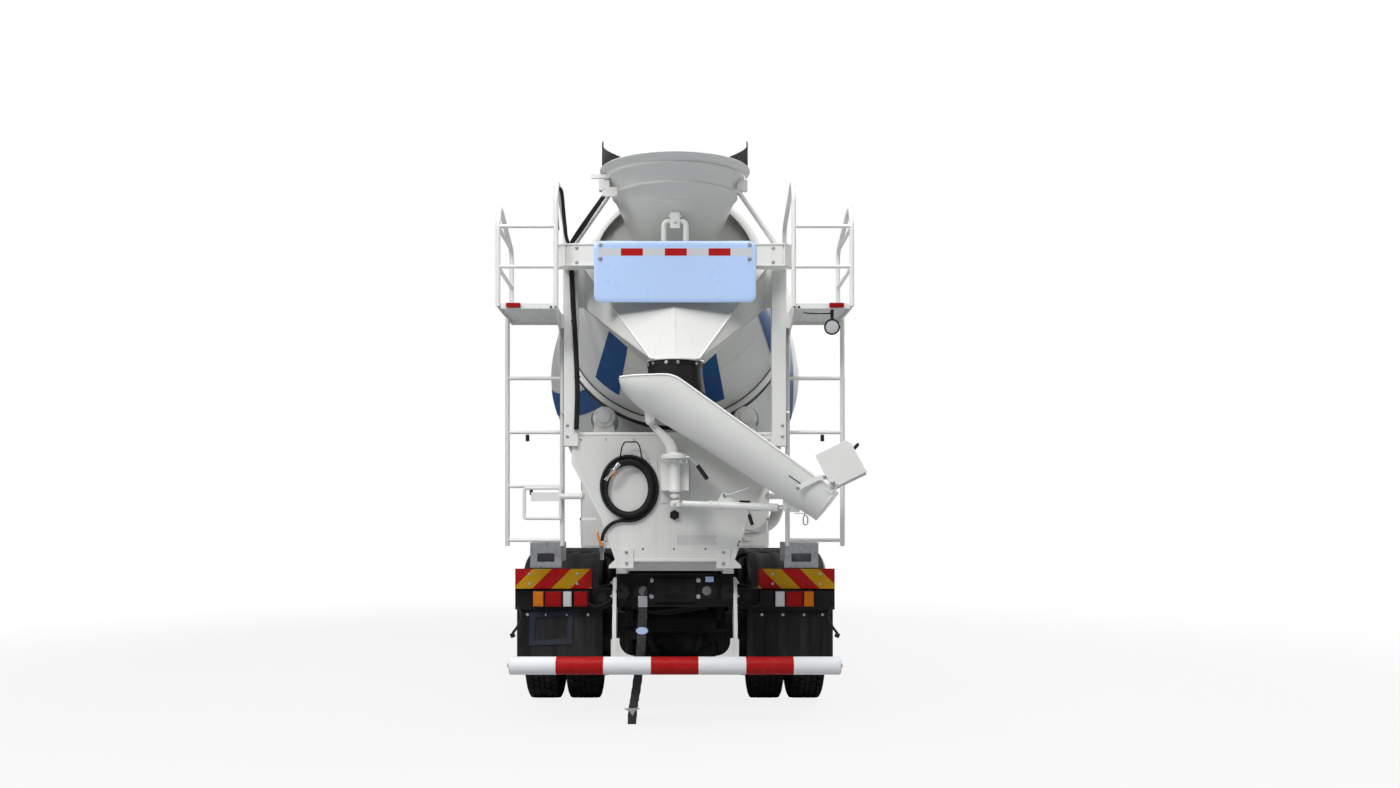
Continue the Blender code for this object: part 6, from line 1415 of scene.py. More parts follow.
def build_beam_ends():
    """The flared channel ends of the top beam and the brackets of the columns' heads."""
    form = Form()
    for side in SIDES.values():
        for low, high in ((3.303, 3.315), (3.450, 3.462)):
            flare = [
                (side * 0.55, -3.906), (side * 0.775, -3.906), (side * 0.83, -3.86),
                (side * 0.83, -3.79), (side * 0.55, -3.79)
            ]
            form.prism(flare, "Z", low, high)
        lip = [
            (side * 0.772, -3.905), (side * 0.829, -3.859), (side * 0.821, -3.852),
            (side * 0.765, -3.897)
        ]
        form.prism(lip, "Z", 3.303, 3.462)
        knee = [
            (side * 0.70, -3.70), (side * 0.80, -3.70), (side * 0.80, -3.80), (side * 0.78, -3.80)
        ]
        form.prism(knee, "Z", 3.318, 3.328)
    form.made("beam_ends", "white", "chassis", edge=0.002)


def build_spare_chute():
    """The extension chute, stowed on two hangers beside the stand's right web."""
    form = Form()
    rows = []
    for y in (-3.56, -3.54, -2.72, -2.70):
        grown = 0.004 if y in (-3.56, -2.70) else 0.0
        arc = [math.radians(-104 + 7 * step) for step in range(16)]
        rows.append(
            [
                (
                    (0.595 + (0.19 + grown) * math.cos(angle)), y,
                    1.625 + (0.19 + grown) * math.sin(angle)
                ) for angle in arc
            ]
        )
    form.skin(rows)
    form.made("spare_chute", "white", "chassis", wall=0.006)
    hangers = Form()
    for y in (-3.40, -2.85):
        hangers.tube(
            [
                (0.432, y, 1.36), (0.50, y, 1.405), (0.62, y, 1.405), (0.76, y, 1.48),
                (0.81, y, 1.62)
            ], 0.011, 14, 0.06
        )
    hangers.made("spare_chute_hangers", "white", "chassis")


def build_rear_cables():
    """Black cables that are tied to the left brace and column."""
    form = Form()
    loop = [
        (-0.835, -3.80, 3.58), (-0.842, -3.84, 3.75), (-0.835, -3.86, 3.86), (-0.80, -3.86, 3.86),
        (-0.79, -3.84, 3.72), (-0.775, -3.80, 3.52), (-0.755, -3.71, 3.49)
    ]
    form.tube(loop, 0.013, 14, 0.06)
    form.tube(
        [(-0.76, -3.72, 3.49), (-0.70, -3.74, 3.58), (-0.60, -3.745, 3.72), (-0.505, -3.75, 3.85)],
        0.012, 14, 0.05
    )
    form.tube(
        [(-0.74, -3.73, 3.50), (-0.67, -3.755, 3.585), (-0.58, -3.76, 3.72), (-0.49, -3.765, 3.85)],
        0.009, 12, 0.05
    )
    form.tube(
        [
            (-0.76, -3.715, 3.46), (-0.742, -3.725, 3.30), (-0.735, -3.722, 3.10),
            (-0.715, -3.716, 2.80), (-0.70, -3.712, 2.45), (-0.71, -3.71, 2.17)
        ], 0.018, 16, 0.12
    )
    form.made("rear_cables", "hose", "chassis")
    ties = Form()
    for x, y, z in ((-0.742, -3.722, 3.28), (-0.727, -3.718, 2.95), (-0.703, -3.712, 2.55)):
        ties.collar(0.019, 0.0215, -0.006, 0.006, Matrix.Translation((x, y, z)), 18)
    ties.made("cable_ties", "plastic", "chassis")


def build_rollers():
    """Smooth rollers, with round caps, bolts and base plates on their cheeks."""
    centre = Vector((0.567, -2.7267, 2.3156))
    lean = Matrix.Rotation(-math.pi / 2 - DRUM_TILT, 4, "X")
    for name, side in SIDES.items():
        place = Matrix.Translation((side * centre.x, centre.y, centre.z)) @ lean
        roller = Form()
        half = [(0, -0.082), (0.029, -0.082), (0.029, -0.070), (0.098, -0.070), (0.107, -0.062)]
        roller.turned(both_ends(half), place, 48)
        roller.made(f"roller_{name}", "steel", f"roller_{name}", (f"drum_roller_{name}",))
        cap = Form()
        for start, way in ((-0.1045, -1), (0.1045, 1)):
            turn = Matrix.Rotation(0 if way > 0 else math.pi, 4, "X")
            seat = place @ Matrix.Translation((0, 0, start)) @ turn
            cap.turned(
                [
                    (0, 0), (0.088, 0), (0.088, 0.010), (0.060, 0.013), (0.050, 0.030),
                    (0.020, 0.034), (0, 0.034)
                ], seat, 40
            )
            for step in range(6):
                angle = math.tau * (step + 0.5) / 6
                spot = seat @ Vector((0.072 * math.cos(angle), 0.072 * math.sin(angle), 0.011))
                cap.bolt(spot, seat.to_3x3() @ Vector((0, 0, 1)), 0.016)
        x = side * centre.x
        cap.block((x - 0.15, -2.90, 2.1535), (x + 0.15, -2.55, 2.166))
        cap.bolts(
            [(x + dx, y, 2.166) for dx in (-0.13, 0.13) for y in (-2.87, -2.58)], (0, 0, 1), 0.022
        )
        cap.made(f"roller_cheek_caps_{name}", "white", "chassis", edge=0.002)


def build_skirt():
    """The rubber skirt under the funnel with its clamp and bolts, and the funnel's edge beads."""
    form = Form()
    steps = 48
    rows = []
    for radius, z, shift in (
        (0.187, 2.6185, 0.0), (0.189, 2.55, 0.002), (0.190, 2.48, 0.009), (0.191, 2.402, 0.02)
    ):
        row = []
        for step in range(steps):
            angle = math.tau * step / steps
            ripple = 0.0015 * math.sin(angle * 7) * (2.62 - z) / 0.2
            row.append(
                (
                    (radius + ripple) * math.cos(angle) + shift,
                    -3.90 + (radius + ripple) * math.sin(angle), z
                )
            )
        rows.append(row)
    form.skin(rows, around=True)
    form.made("outlet_skirt", "flap", "chassis", ("rubber_spout",), wall=0.006, angle=60)
    strip = Form()
    strip.collar(0.1915, 0.1945, 2.590, 2.612, Matrix.Translation((0, CHUTE_Y, 0)), 48)
    strip.made("skirt_clamp", "flap", "chassis")
    bolts = Form()
    for degrees in (-108, -84, -40, -140, 20, 80, 140, 200):
        angle = math.radians(degrees)
        way = Vector((math.cos(angle), math.sin(angle), 0))
        bolts.bolt(Vector((0, -3.90, 2.600)) + way * 0.194, way, 0.018)
    bolts.made("skirt_bolts", "zinc", "chassis", edge=0.0005)
    lips = Form()
    for side in SIDES.values():
        lips.tube(
            [
                (side * 0.665, -3.600, 3.36), (side * 0.3155, -3.888, 2.852),
                (side * 0.170, -4.045, 2.634)
            ], 0.007, 14
        )
        lips.tube([(side * 0.665, -3.600, 3.36), (side * 0.665, -3.600, 3.07)], 0.007, 14)
        lips.bolts([(side * 0.72, -3.6003, z) for z in (3.09, 3.20, 3.33)], REAR, 0.016)
    lips.tube([(0, -3.786, 3.268), (0, -3.868, 3.04), (0, -4.0705, 2.632)], 0.0022, 10)
    lips.tube([(-0.17, -4.046, 2.632), (0.17, -4.046, 2.632)], 0.005, 12)
    lips.made("funnel_lips", "white", "chassis")


def build_column():
    """Spindle, drilled locking plate and goose neck, with the locking lever on the bushing."""
    form = Form()
    spindle = [
        (0, 1.665), (0.0225, 1.665), (0.0225, 1.9453), (0.094, 1.9453), (0.098, 1.949),
        (0.098, 1.9715), (0.094, 1.9753)
    ]
    form.turned([*spindle, (0.060, 1.9753), (0.052, 1.990), (0, 1.990)], None, 56)
    form.collar(0, 0.032, 1.676, 1.697, None, 32)
    line = [
        (-0.018, 1.975, 0.042), (-0.023, 2.015, 0.040), (-0.038, 2.055, 0.037),
        (-0.068, 2.095, 0.033), (-0.105, 2.132, 0.028), (-0.142, 2.168, 0.025),
        (-0.171, 2.200, 0.022)
    ]
    rows = []
    for number, (u, z, half) in enumerate(line):
        before, after = line[max(number - 1, 0)], line[min(number + 1, len(line) - 1)]
        way = Vector((after[0] - before[0], 0, after[1] - before[1])).normalized()
        across = Vector((way.z, 0, -way.x))
        ring = []
        for step in range(24):
            angle = math.tau * step / 24
            ring.append(
                Vector((u, 0, z)) + across * (half * math.cos(angle))
                + Vector((0, half * 0.72 * math.sin(angle), 0))
            )
        rows.append(ring)
    form.rings(rows)
    form.collar(0, 0.030, -0.0425, 0.0425, turned_to((PIVOT_U, 0, PIVOT_Z), REAR), 32)
    form.collar(0, 0.032, -0.012, 0.012, turned_to((0, 0, STRUT_FOOT_Z), REAR), 32)
    form.block((-0.018, -0.012, 1.64), (0.018, 0.012, 1.68))
    for step in range(14):
        angle = math.tau * step / 14
        form.turned(
            [(0, 1.9755), (0.0075, 1.9755), (0.006, 1.9775), (0, 1.9775)],
            Matrix.Translation((0.082 * math.cos(angle), 0.082 * math.sin(angle), 0)), 10
        )
    form.placed(CHUTE_AT)
    form.made("column_arm", "white", "column", ("chute_column",), edge=0.0012)
    sleeve = Form()
    at = Matrix.Translation((0, CHUTE_Y, 0))
    sleeve.turned(
        [
            (0.0372, 1.716), (0.0405, 1.716), (0.0405, 1.735), (0.0385, 1.738), (0.0385, 1.925),
            (0.0405, 1.928), (0.0405, 1.944), (0.0372, 1.944)
        ], at, 40
    )
    sleeve.disc(0.008, 0.006, turned_to((0.012, -3.9365, 1.87), (0.3, -1, 0)), 14)
    sleeve.block((0.030, -3.965, 1.915), (0.085, -3.935, 1.944))
    sleeve.made("column_bushing", "white", "chassis", edge=0.001)
    lever = Form()
    lever.bolt((0.062, -3.965, 1.93), REAR, 0.020)
    lever.tube(
        [(0.070, -3.972, 1.952), (0.095, -3.98, 1.96), (0.158, -3.985, 1.895)], 0.0068, 12, 0.02
    )
    lever.made("column_lever", "zinc", "chassis")
    grip = Form()
    grip.round_bar((0.156, -3.985, 1.898), (0.226, -3.985, 1.800), 0.0155, 20, 0.3)
    grip.made("column_lever_grip", "plastic", "chassis")


# Stations of the chute: rim u, rim z, belly u, belly z, half width
TROUGH = [
    (-0.345, 2.500, -0.335, 2.400, 0.215),
    (-0.250, 2.505, -0.260, 2.315, 0.25),
    (0.030, 2.507, -0.130, 2.235, 0.25),
    (0.590, 2.100, 0.430, 1.880, 0.225),
    (1.130, 1.700, 0.990, 1.520, 0.20),
]


def trough_spot(station, angle, out=0.0):
    """A place on the chute's skin at a station between 0 and 4; angle 0 is its near rim."""
    low = min(int(station), 3)
    rim_u, rim_z, belly_u, belly_z, half = (
        blended(a, b, station - low) for a, b in zip(TROUGH[low], TROUGH[low + 1])
    )
    depth = math.sin(angle) ** 0.8 if 0 < angle < math.pi else 0.0
    down = Vector((belly_u - rim_u, 0, belly_z - rim_z))
    spot = Vector((rim_u, -half * math.cos(angle), rim_z)) + down * depth
    return spot + (Vector((0, -math.cos(angle), 0)) + down.normalized() * math.sin(angle)) * out


def build_trough():
    """The chute with rolled rims, a domed upper end, and its small brackets."""
    form = Form()
    steps = 36
    lines = []
    for step in range(steps + 1):
        angle = math.pi * step / steps
        lines.append(eased([trough_spot(station, angle, 0.002) for station in range(5)], 0.07, 4))
    rows = [[line[index] for line in lines] for index in range(len(lines[0]))]
    middle = Vector((-0.352, 0, 2.495))
    for share, out in ((0.96, 0.006), (0.80, 0.014), (0.45, 0.022), (0.05, 0.025)):
        rows.insert(
            0,
            [
                middle.lerp(point, share) - Vector((out, 0, 0))
                for point in (line[0] for line in lines)
            ]
        )
    form.skin(rows)
    form.placed(CHUTE_AT)
    form.made("trough_skin", "white", "trough", ("chute",), wall=0.006, angle=50)
    rims = Form()
    for line in (lines[0], lines[-1]):
        rims.tube([point + Vector((0, 0, 0.002)) for point in line], 0.0085, 14)
    ring = [trough_spot(3.985, math.pi * step / 24, 0.004) for step in range(25)]
    rims.tube(ring, 0.005, 10)
    rims.placed(CHUTE_AT)
    rims.made("trough_rims", "white", "trough")
    ears = Form()
    for side in (-1, 1):
        ears.prism(
            [
                (-0.201, 2.212), (-0.192, 2.190), (-0.171, 2.182), (-0.150, 2.190), (-0.141, 2.212),
                (-0.127, 2.25), (-0.21, 2.30)
            ], "Y", side * 0.0429, side * 0.0549
        )
        ears.turned(
            [(0, 0), (0.019, 0), (0.019, 0.012), (0.012, 0.017), (0, 0.017)],
            turned_to((PIVOT_U, side * 0.0549, PIVOT_Z), (0, side, 0)), 20
        )
        ears.prism(
            [
                (0.757, 1.598), (0.766, 1.580), (0.787, 1.572), (0.87, 1.572), (0.87, 1.605),
                (0.757, 1.676)
            ], "Y", side * 0.0100, side * 0.0220
        )
        ears.bolt((0.787, side * 0.0220, 1.600), (0, side, 0), 0.026)
        lug = [
            (1.128, 1.760), (1.122, 1.778), (1.105, 1.786), (1.088, 1.778), (1.080, 1.760),
            (1.06, 1.712), (1.105, 1.690)
        ]
        ears.prism(lug, "Y", side * 0.198, side * 0.2122)
    ears.block((0.84, -0.030, 1.560), (0.93, 0.030, 1.566))
    ears.placed(CHUTE_AT)
    ears.made("trough_ears", "white", "trough", edge=0.0015)
    shackle = Form()
    bow = [
        (0.905, 0, 1.562), (0.905, 0.0, 1.548), (0.897, 0, 1.535), (0.897, 0, 1.495),
        (0.905, 0, 1.485), (0.920, 0, 1.485), (0.928, 0, 1.495), (0.928, 0, 1.535),
        (0.912, 0, 1.552)
    ]
    shackle.tube(bow, 0.0045, 12, 0.008)
    shackle.placed(CHUTE_AT)
    shackle.made("trough_shackle", "zinc", "trough")
    # A black bar on the skin stands for a slot through it: painted shade.
    slot_shade = Form()
    slot_shade.tube([trough_spot(3.52 + 0.20 * step / 6, 0.30, 0.0035) for step in range(7)], 0.0045, 10)
    slot_shade.placed(CHUTE_AT)
    slot_shade.made("trough_slot_shade", "plastic", "trough")


def build_folding_hood():
    """The hood over the chute's end, with its link, bolts and black grip."""
    tipped = Matrix.Rotation(math.radians(-26), 4, "Y")
    place = CHUTE_AT @ Matrix.Translation((1.105, 0, 1.762)) @ tipped
    form = Form()
    outline = [
        (-0.030, -0.030), (0.235, -0.030), (0.225, 0.185), (0.205, 0.220), (-0.021, 0.220),
        (-0.021, 0.110)
    ]
    for side in (-1, 1):
        form.prism(outline, "Y", side * 0.2142, side * 0.2200)
    bend = [(-0.021, 0.214), (0.198, 0.214), (0.219, 0.183), (0.2295, -0.026)]
    form.rings(
        [
            [Vector((x, y, z)) for x, z in bend] + [
                Vector((x + 0.0045, y, z + 0.0055)) for x, z in reversed(bend)
            ] for y in (-0.2195, 0.2195)
        ]
    )
    form.placed(place)
    form.made("hood_shell", "white", "hood", ("chute_hood",), edge=0.0025)
    link = Form()
    bar = [
        (-0.235, 0.075), (-0.225, 0.058), (-0.075, 0.058), (-0.035, 0.040), (-0.012, 0.050),
        (-0.030, 0.082), (-0.075, 0.090), (-0.225, 0.092)
    ]
    link.prism(bar, "Y", -0.2290, -0.2215)
    link.prism(
        [(-0.026, -0.018), (0.026, -0.018), (0.026, 0.020), (-0.026, 0.020)], "Y", -0.2275, -0.2200
    )
    link.placed(place)
    link.made("hood_link", "white", "hood", edge=0.0015)
    bolts = Form()
    for side in (-1, 1):
        bolts.bolt((0, side * 0.2275, 0), (0, side, 0), 0.024)
    bolts.bolt((-0.028, -0.2290, 0.062), REAR, 0.016)
    bolts.bolt((-0.222, -0.2290, 0.075), REAR, 0.018)
    bolts.placed(place)
    bolts.made("hood_bolts", "zinc", "hood", edge=0.0005)
    grip = Form()
    grip.tube(
        [
            (0.228, -0.115, 0.155), (0.262, -0.115, 0.168), (0.266, -0.05, 0.170),
            (0.262, 0.005, 0.168), (0.228, 0.005, 0.155)
        ], 0.009, 16, 0.018
    )
    grip.placed(place)
    grip.made("hood_grip", "plastic", "hood")


def build_strut():
    """The strut's rod and sleeve, with its clamp, thin lever and hanging handle."""
    slope = math.atan2(1.600 - STRUT_FOOT_Z, 0.787)
    place = CHUTE_AT @ Matrix.Translation((0, 0, STRUT_FOOT_Z)) @ Matrix.Rotation(-slope, 4, "Y")
    along = Matrix.Rotation(math.pi / 2, 4, "Y")
    rod = Form()
    rod.turned(
        [(0, 0.0324), (0.020, 0.0324), (0.022, 0.036), (0.022, 0.565), (0.020, 0.567), (0, 0.567)],
        along, 32
    )
    for side in (-1, 1):
        cheek = [
            (0.054, -0.022), (0.054, 0.022), (0.0, 0.022), (-0.011, 0.018), (-0.0154, 0.010),
            (-0.0154, -0.010), (-0.011, -0.018), (0.0, -0.022)
        ]
        rod.prism(cheek, "Y", side * 0.0124, side * 0.0244)
        rod.bolt((0, side * 0.0244, 0), (0, side, 0), 0.022)
    rod.block((0.0324, -0.0244, -0.022), (0.0544, 0.0244, 0.022))
    rod.placed(place)
    rod.made("strut_rod_smooth", "white", "rod", ("strut_rod",), edge=0.0012)
    sleeve = Form()
    end = STRUT_LENGTH - 0.0616
    profile = [
        (0.0225, 0.240), (0.027, 0.240), (0.028, 0.242), (0.028, end - 0.003), (0.025, end),
        (0, end), (0, 0.677), (0.0225, 0.677)
    ]
    sleeve.turned(profile, along, 32)
    for at in (0.248, 0.300, 0.600):
        sleeve.collar(0.0278, 0.032, at, at + 0.016, along, 32)
    sleeve.collar(0, 0.0252, -0.0094, 0.0094, turned_to((STRUT_LENGTH, 0, 0), REAR), 24)
    sleeve.block((end - 0.02, -0.0094, -0.0094), (STRUT_LENGTH, 0.0094, 0.0094))
    sleeve.prism(
        [(0.300, 0.024), (0.440, 0.024), (0.400, 0.050), (0.355, 0.088), (0.335, 0.088)], "Y",
        -0.012, -0.004
    )
    sleeve.placed(place)
    sleeve.made("strut_sleeve_smooth", "white", "sleeve", ("strut_sleeve",), edge=0.001)
    lever = Form()
    lever.bolt((0.350, -0.012, 0.068), REAR, 0.020)
    lever.tube(
        [(0.352, -0.020, 0.070), (0.39, -0.026, 0.078), (0.52, -0.026, 0.128)], 0.0032, 10, 0.02
    )
    lever.tube([(0.525, 0, -0.020), (0.525, 0, -0.060)], 0.006, 12)
    lever.placed(place)
    lever.made("strut_levers", "zinc", "sleeve")
    grip = Form()
    grip.round_bar((0.526, 0, -0.055), (0.552, 0, -0.128), 0.0135, 20, 0.3)
    grip.block((0.455, -0.016, 0.028), (0.530, 0.016, 0.040))
    grip.placed(place)
    grip.made("strut_grips", "plastic", "sleeve", edge=0.002)


# The ladders' uprights from the middle, their depth, and the ends of the platforms
LADDER_XS = (0.825, 1.227)
LADDER_Y = -3.57
DECK_YS = (-4.00, -3.36)


def build_ladders():
    """Round-tube ladders and railed platforms, with pressed decks, brackets and marker lamps."""
    near, far = LADDER_XS
    rear, front = DECK_YS
    for name, side in SIDES.items():
        form = Form()
        for x, top in ((near, 3.88), (far, 3.70)):
            hoop = [
                (x, rear, 3.0), (x, rear, top - 0.10), (x, -3.93, top), (x, -3.86, top),
                (x, front, top - 0.17), (x, front, 3.0)
            ]
            form.tube([(side * px, y, z) for px, y, z in hoop], 0.017, 20, 0.06)
        for z in (3.555, 3.275):
            form.tube([(side * near, rear, z), (side * far, rear, z)], 0.013, 18)
            form.tube([(side * far, rear, z), (side * far, front, z - 0.012)], 0.013, 18)
        for x in (near, far):
            form.tube(
                [
                    (side * x, LADDER_Y, 2.99), (side * x, LADDER_Y, 1.345),
                    (side * x, -3.565, 1.333)
                ], 0.017, 20
            )
        for rung in range(4):
            z = 1.37 + 0.395 * rung
            form.tube([(side * 0.832, LADDER_Y, z), (side * 1.220, LADDER_Y, z)], 0.0135, 18)
            form.tube([(side * 0.832, -3.545, z), (side * 1.220, -3.545, z)], 0.007, 12)
        form.tube([(side * 0.80, -3.66, 2.30), (side * near, -3.60, 2.30)], 0.012, 14)
        # Bracket frame at the ladder's foot
        corners = [(0.835, 1.53), (0.835, 1.75), (1.10, 1.75), (1.10, 1.53), (0.835, 1.53)]
        if side < 0:
            form.tube([(side * x, -3.60, z) for x, z in corners], 0.012, 14, 0.02)
            form.block((-1.05, -3.607, 1.655), (-0.84, -3.597, 1.72))
        form.made(f"ladder_tubes_{name}", "white", "chassis", (f"ladder_{name}",))
        deck = Form()
        low, high = sorted((side * near, side * far))
        outline = [(low, rear), (high, rear), (high, front), (low, front)]
        deck.prism(outline, "Z", 3.006, 3.0225)
        for y in (rear, -3.372):
            deck.block((low, y, 2.983), (high, y + 0.012, 3.008))
        for x in (low, high - 0.010):
            deck.block((x, rear, 2.983), (x + 0.010, front, 3.008))
        deck.sided(side, (0.8003, -3.70, 2.903), (0.842, -3.58, 3.005))
        wedge = [(rear, 2.985), (-3.58, 2.985), (-3.58, 2.84)]
        deck.prism(wedge, "X", side * 0.826, side * 0.836)
        deck.made(f"platform_deck_{name}", "white", "chassis", edge=0.0025)
        dimples = Form()
        for row in range(7):
            for column in range(11):
                x = side * (0.870 + row * 0.052)
                y = -3.955 + column * 0.056
                dimples.turned(
                    [(0, 0), (0.013, 0), (0.010, 0.004), (0, 0.004)],
                    Matrix.Translation((x, y, 3.0222)), 10
                )
                under = Matrix.Translation((x, y, 3.0062)) @ Matrix.Rotation(math.pi, 4, "X")
                dimples.turned([(0, 0), (0.014, 0), (0.011, 0.0035), (0, 0.0035)], under, 10)
        dimples.made(f"platform_studs_{name}", "white", "chassis")
        lamp = Form()
        lamp.sided(side, (1.07, -4.020, 2.99), (1.17, -4.0003, 3.022))
        lamp.made(f"platform_lamp_{name}", "lamp_red", "chassis", edge=0.004)
        studs = Form()
        studs.bolt((side * 0.86, -4.0003, 2.995), REAR, 0.012)
        studs.round_bar((side * 1.05, -3.588, 1.740), (side * 1.05, -3.588, 1.70), 0.012, 14)
        studs.round_bar((side * 1.08, LADDER_Y, 2.142), (side * 1.08, LADDER_Y, 2.095), 0.014, 14)
        studs.made(f"ladder_caps_{name}", "plastic", "chassis")
    build_work_lamp()


def build_work_lamp():
    """The work lamp under the right platform, with its lens."""
    lamp = Form()
    seat = turned_to((1.095, -3.960, 2.865), (-0.1, -1, -0.25))
    lamp.turned(
        [
            (0, -0.045), (0.030, -0.045), (0.052, -0.015), (0.056, 0.0), (0.056, 0.012),
            (0.048, 0.014), (0.046, 0.004), (0, 0.002)
        ], seat, 36
    )
    lamp.block((1.085, -3.975, 2.92), (1.105, -3.945, 2.983))
    lamp.tube([(1.09, -3.92, 2.965), (0.98, -3.93, 2.962), (0.90, -3.93, 2.968)], 0.004, 10)
    lamp.made("work_lamp", "plastic", "chassis", edge=0.001)
    lamp = Form()
    lamp.turned(
        [(0, 0.0025), (0.045, 0.0045), (0.045, 0.009), (0.030, 0.012), (0, 0.013)], seat, 36
    )
    lamp.made("work_lamp_lens", "lamp_clear", "chassis")


def build_bar():
    """The banded underrun bar on its plates, with corner gussets, end lamps and bolts."""
    along = Matrix.Translation((0, BAR_Y, BAR_Z)) @ Matrix.Rotation(math.pi / 2, 4, "Y")
    bar = Form()
    bar.turned(both_ends([(0, -BAR_HALF), (0.058, -BAR_HALF), (0.066, -1.200)]), along, 48)
    bar.made("banded_bar", "bar_bands", "chassis", ("underrun_bar",))
    plates = Form()
    outline = [
        (-3.60, 0.43), (-3.525, 0.43), (-3.38, 0.875), (-3.281, 1.085), (-3.48, 1.085),
        (-3.60, 0.755)
    ]
    for side in SIDES.values():
        plates.prism(outline, "X", side * RAIL_FACE, side * 0.4583)
        corner = [(side * 0.430, 0.512), (side * 0.300, 0.512)]
        for step in range(9):
            angle = math.radians(270 + 90 * step / 8)
            corner.append(
                (side * (0.300 + 0.105 * math.cos(angle)), 0.632 + 0.105 * math.sin(angle))
            )
        corner += [(side * 0.405, 0.655), (side * 0.430, 0.655)]
        plates.prism(corner, "Y", -3.606, -3.594)
        plates.prism(
            [(-3.60, 0.515), (-3.535, 0.515), (-3.565, 0.60), (-3.60, 0.65)], "X", side * 0.4583,
            side * 0.468
        )
    plates.made("bar_plates", "white", "chassis", edge=0.002)
    bolts = Form()
    for side in SIDES.values():
        bolts.bolts(
            [
                (side * 0.4583, y, z)
                for y, z in ((-3.44, 0.95), (-3.36, 0.95), (-3.42, 1.05), (-3.33, 1.05))
            ], (side, 0, 0), 0.026
        )
    bolts.made("bar_bolts", "zinc", "chassis", edge=0.0005)
    lamps = Form()
    for side in SIDES.values():
        lamps.turned(
            [(0, 0), (0.020, 0), (0.019, 0.008), (0.012, 0.014), (0, 0.016)],
            turned_to((side * BAR_HALF, BAR_Y, BAR_Z), (side, 0, 0)), 20
        )
    lamps.made("bar_end_lamps", "lamp_amber", "chassis")


# Lamps of the tail: side, near x, far x, finish
TAIL_LAMPS = [
    (-1, 0.986, 1.069, "lamp_amber"),
    (-1, 0.851, 0.978, "lamp_red"),
    (-1, 0.775, 0.843, "lamp_clear"),
    (-1, 0.655, 0.760, "lamp_red"),
    (1, 0.753, 0.828, "lamp_clear"),
    (1, 0.835, 0.962, "lamp_red"),
    (1, 0.968, 1.046, "lamp_amber"),
]


def build_tail():
    """Rear lamps, striped boards and side markers, then the mud flaps."""
    forms = {finish: Form() for finish in ("lamp_amber", "lamp_red", "lamp_clear")}
    housing = Form()
    for side, near, far, finish in TAIL_LAMPS:
        low, high = sorted((side * near, side * far))
        forms[finish].block((low + 0.003, -3.366, 0.868), (high - 0.003, -3.352, 0.980))
        forms[finish].block((low + 0.010, -3.370, 0.880), (high - 0.010, -3.364, 0.968))
        housing.block((low, -3.3535, 0.862), (high, -3.345, 0.986))
    for finish, form in forms.items():
        form.made(f"tail_{finish}", finish, "chassis", edge=0.003)
    for side in SIDES.values():
        housing.sided(side, (0.63, -3.300, 0.984), (1.21, -3.240, 1.002))
        housing.tube(
            [
                (side * 1.195, -3.30, 0.86), (side * 1.150, -3.33, 0.80),
                (side * 1.180, -3.34, 0.72), (side * 1.232, -3.345, 0.655),
                (side * 1.218, -3.345, 0.640)
            ], 0.010, 14, 0.05
        )
        housing.turned(
            [(0, 0), (0.019, 0), (0.019, 0.03), (0.010, 0.034), (0, 0.034)],
            turned_to((side * 1.228, -3.345, 0.665), (side * -0.35, 0, -1)), 18
        )
        housing.tube(
            [
                (side * 0.66, -3.352, 0.90), (side * 0.60, -3.36, 0.86), (side * 0.50, -3.33, 0.90),
                (side * 0.43, -3.30, 0.98)
            ], 0.007, 12, 0.04
        )
        housing.disc(0.036, 0.002, turned_to((side * 0.548, -3.3005, 0.930), REAR), 24)
    housing.made("tail_housings", "plastic", "chassis", edge=0.0015)
    for name, side in SIDES.items():
        board = Form()
        board.sided(side, (0.632, -3.3030, 0.998), (1.208, -3.3004, 1.148))
        board.made(f"striped_board_{name}", f"board_{name}", "chassis", edge=0.0006)
    bolts = Form()
    for side in SIDES.values():
        bolts.bolts(
            [(side * x, -3.303, z) for x in (0.74, 1.10) for z in (1.035, 1.110)], REAR, 0.014
        )
        bolts.bolts([(side * x, -3.282, 0.800) for x in (0.66, 0.82, 0.98, 1.12)], REAR, 0.016)
        bolts.bolts([(side * 0.465, -3.301, z) for z in (0.87, 0.97)], REAR, 0.018)
    bolts.made("tail_bolts", "zinc", "chassis", edge=0.0005)
    build_flaps()


def build_flaps():
    """Mud flaps with their strips, and the blue frame on the left one."""
    flaps = Form()
    for side in SIDES.values():
        rows = []
        for step in range(13):
            share = step / 12
            z = blended(0.915, 0.443, share)
            row = []
            for across in range(25):
                x = blended(0.552, 1.198, across / 24)
                wave = 0.004 * math.sin(across * 0.9 + share * 2.0) * share
                row.append((side * x, -3.2765 - 0.004 * share + wave, z))
            rows.append(row)
        flaps.skin(rows)
    flaps.made("mud_flaps", "flap", "chassis", wall=0.0012)
    strips = Form()
    for side in SIDES.values():
        strips.sided(side, (0.56, -3.2835, 0.785), (1.19, -3.278, 0.815))
    for step in range(7):
        strips.block((0.60 + step * 0.085, -3.2860, 0.450), (0.604 + step * 0.085, -3.2815, 0.765))
    strips.made("flap_strips", "flap", "chassis", edge=0.001)
    frame_bar = Form()
    corners = [(-1.087, 0.586), (-0.800, 0.598), (-0.792, 0.808), (-1.078, 0.798)]
    centre = (-0.939, 0.698)
    loops = []
    for grown, y in ((0.021, -3.2875), (0.021, -3.2825), (-0.021, -3.2825), (-0.021, -3.2875)):
        loops.append(
            [
                Vector(
                    (
                        x + grown * (1 if x > centre[0] else -1), y,
                        z + grown * (1 if z > centre[1] else -1)
                    )
                ) for x, z in corners
            ]
        )
    frame_bar.rings(loops, wrap=True)
    frame_bar.made("flap_frame", "frame_blue", "chassis", edge=0.001)


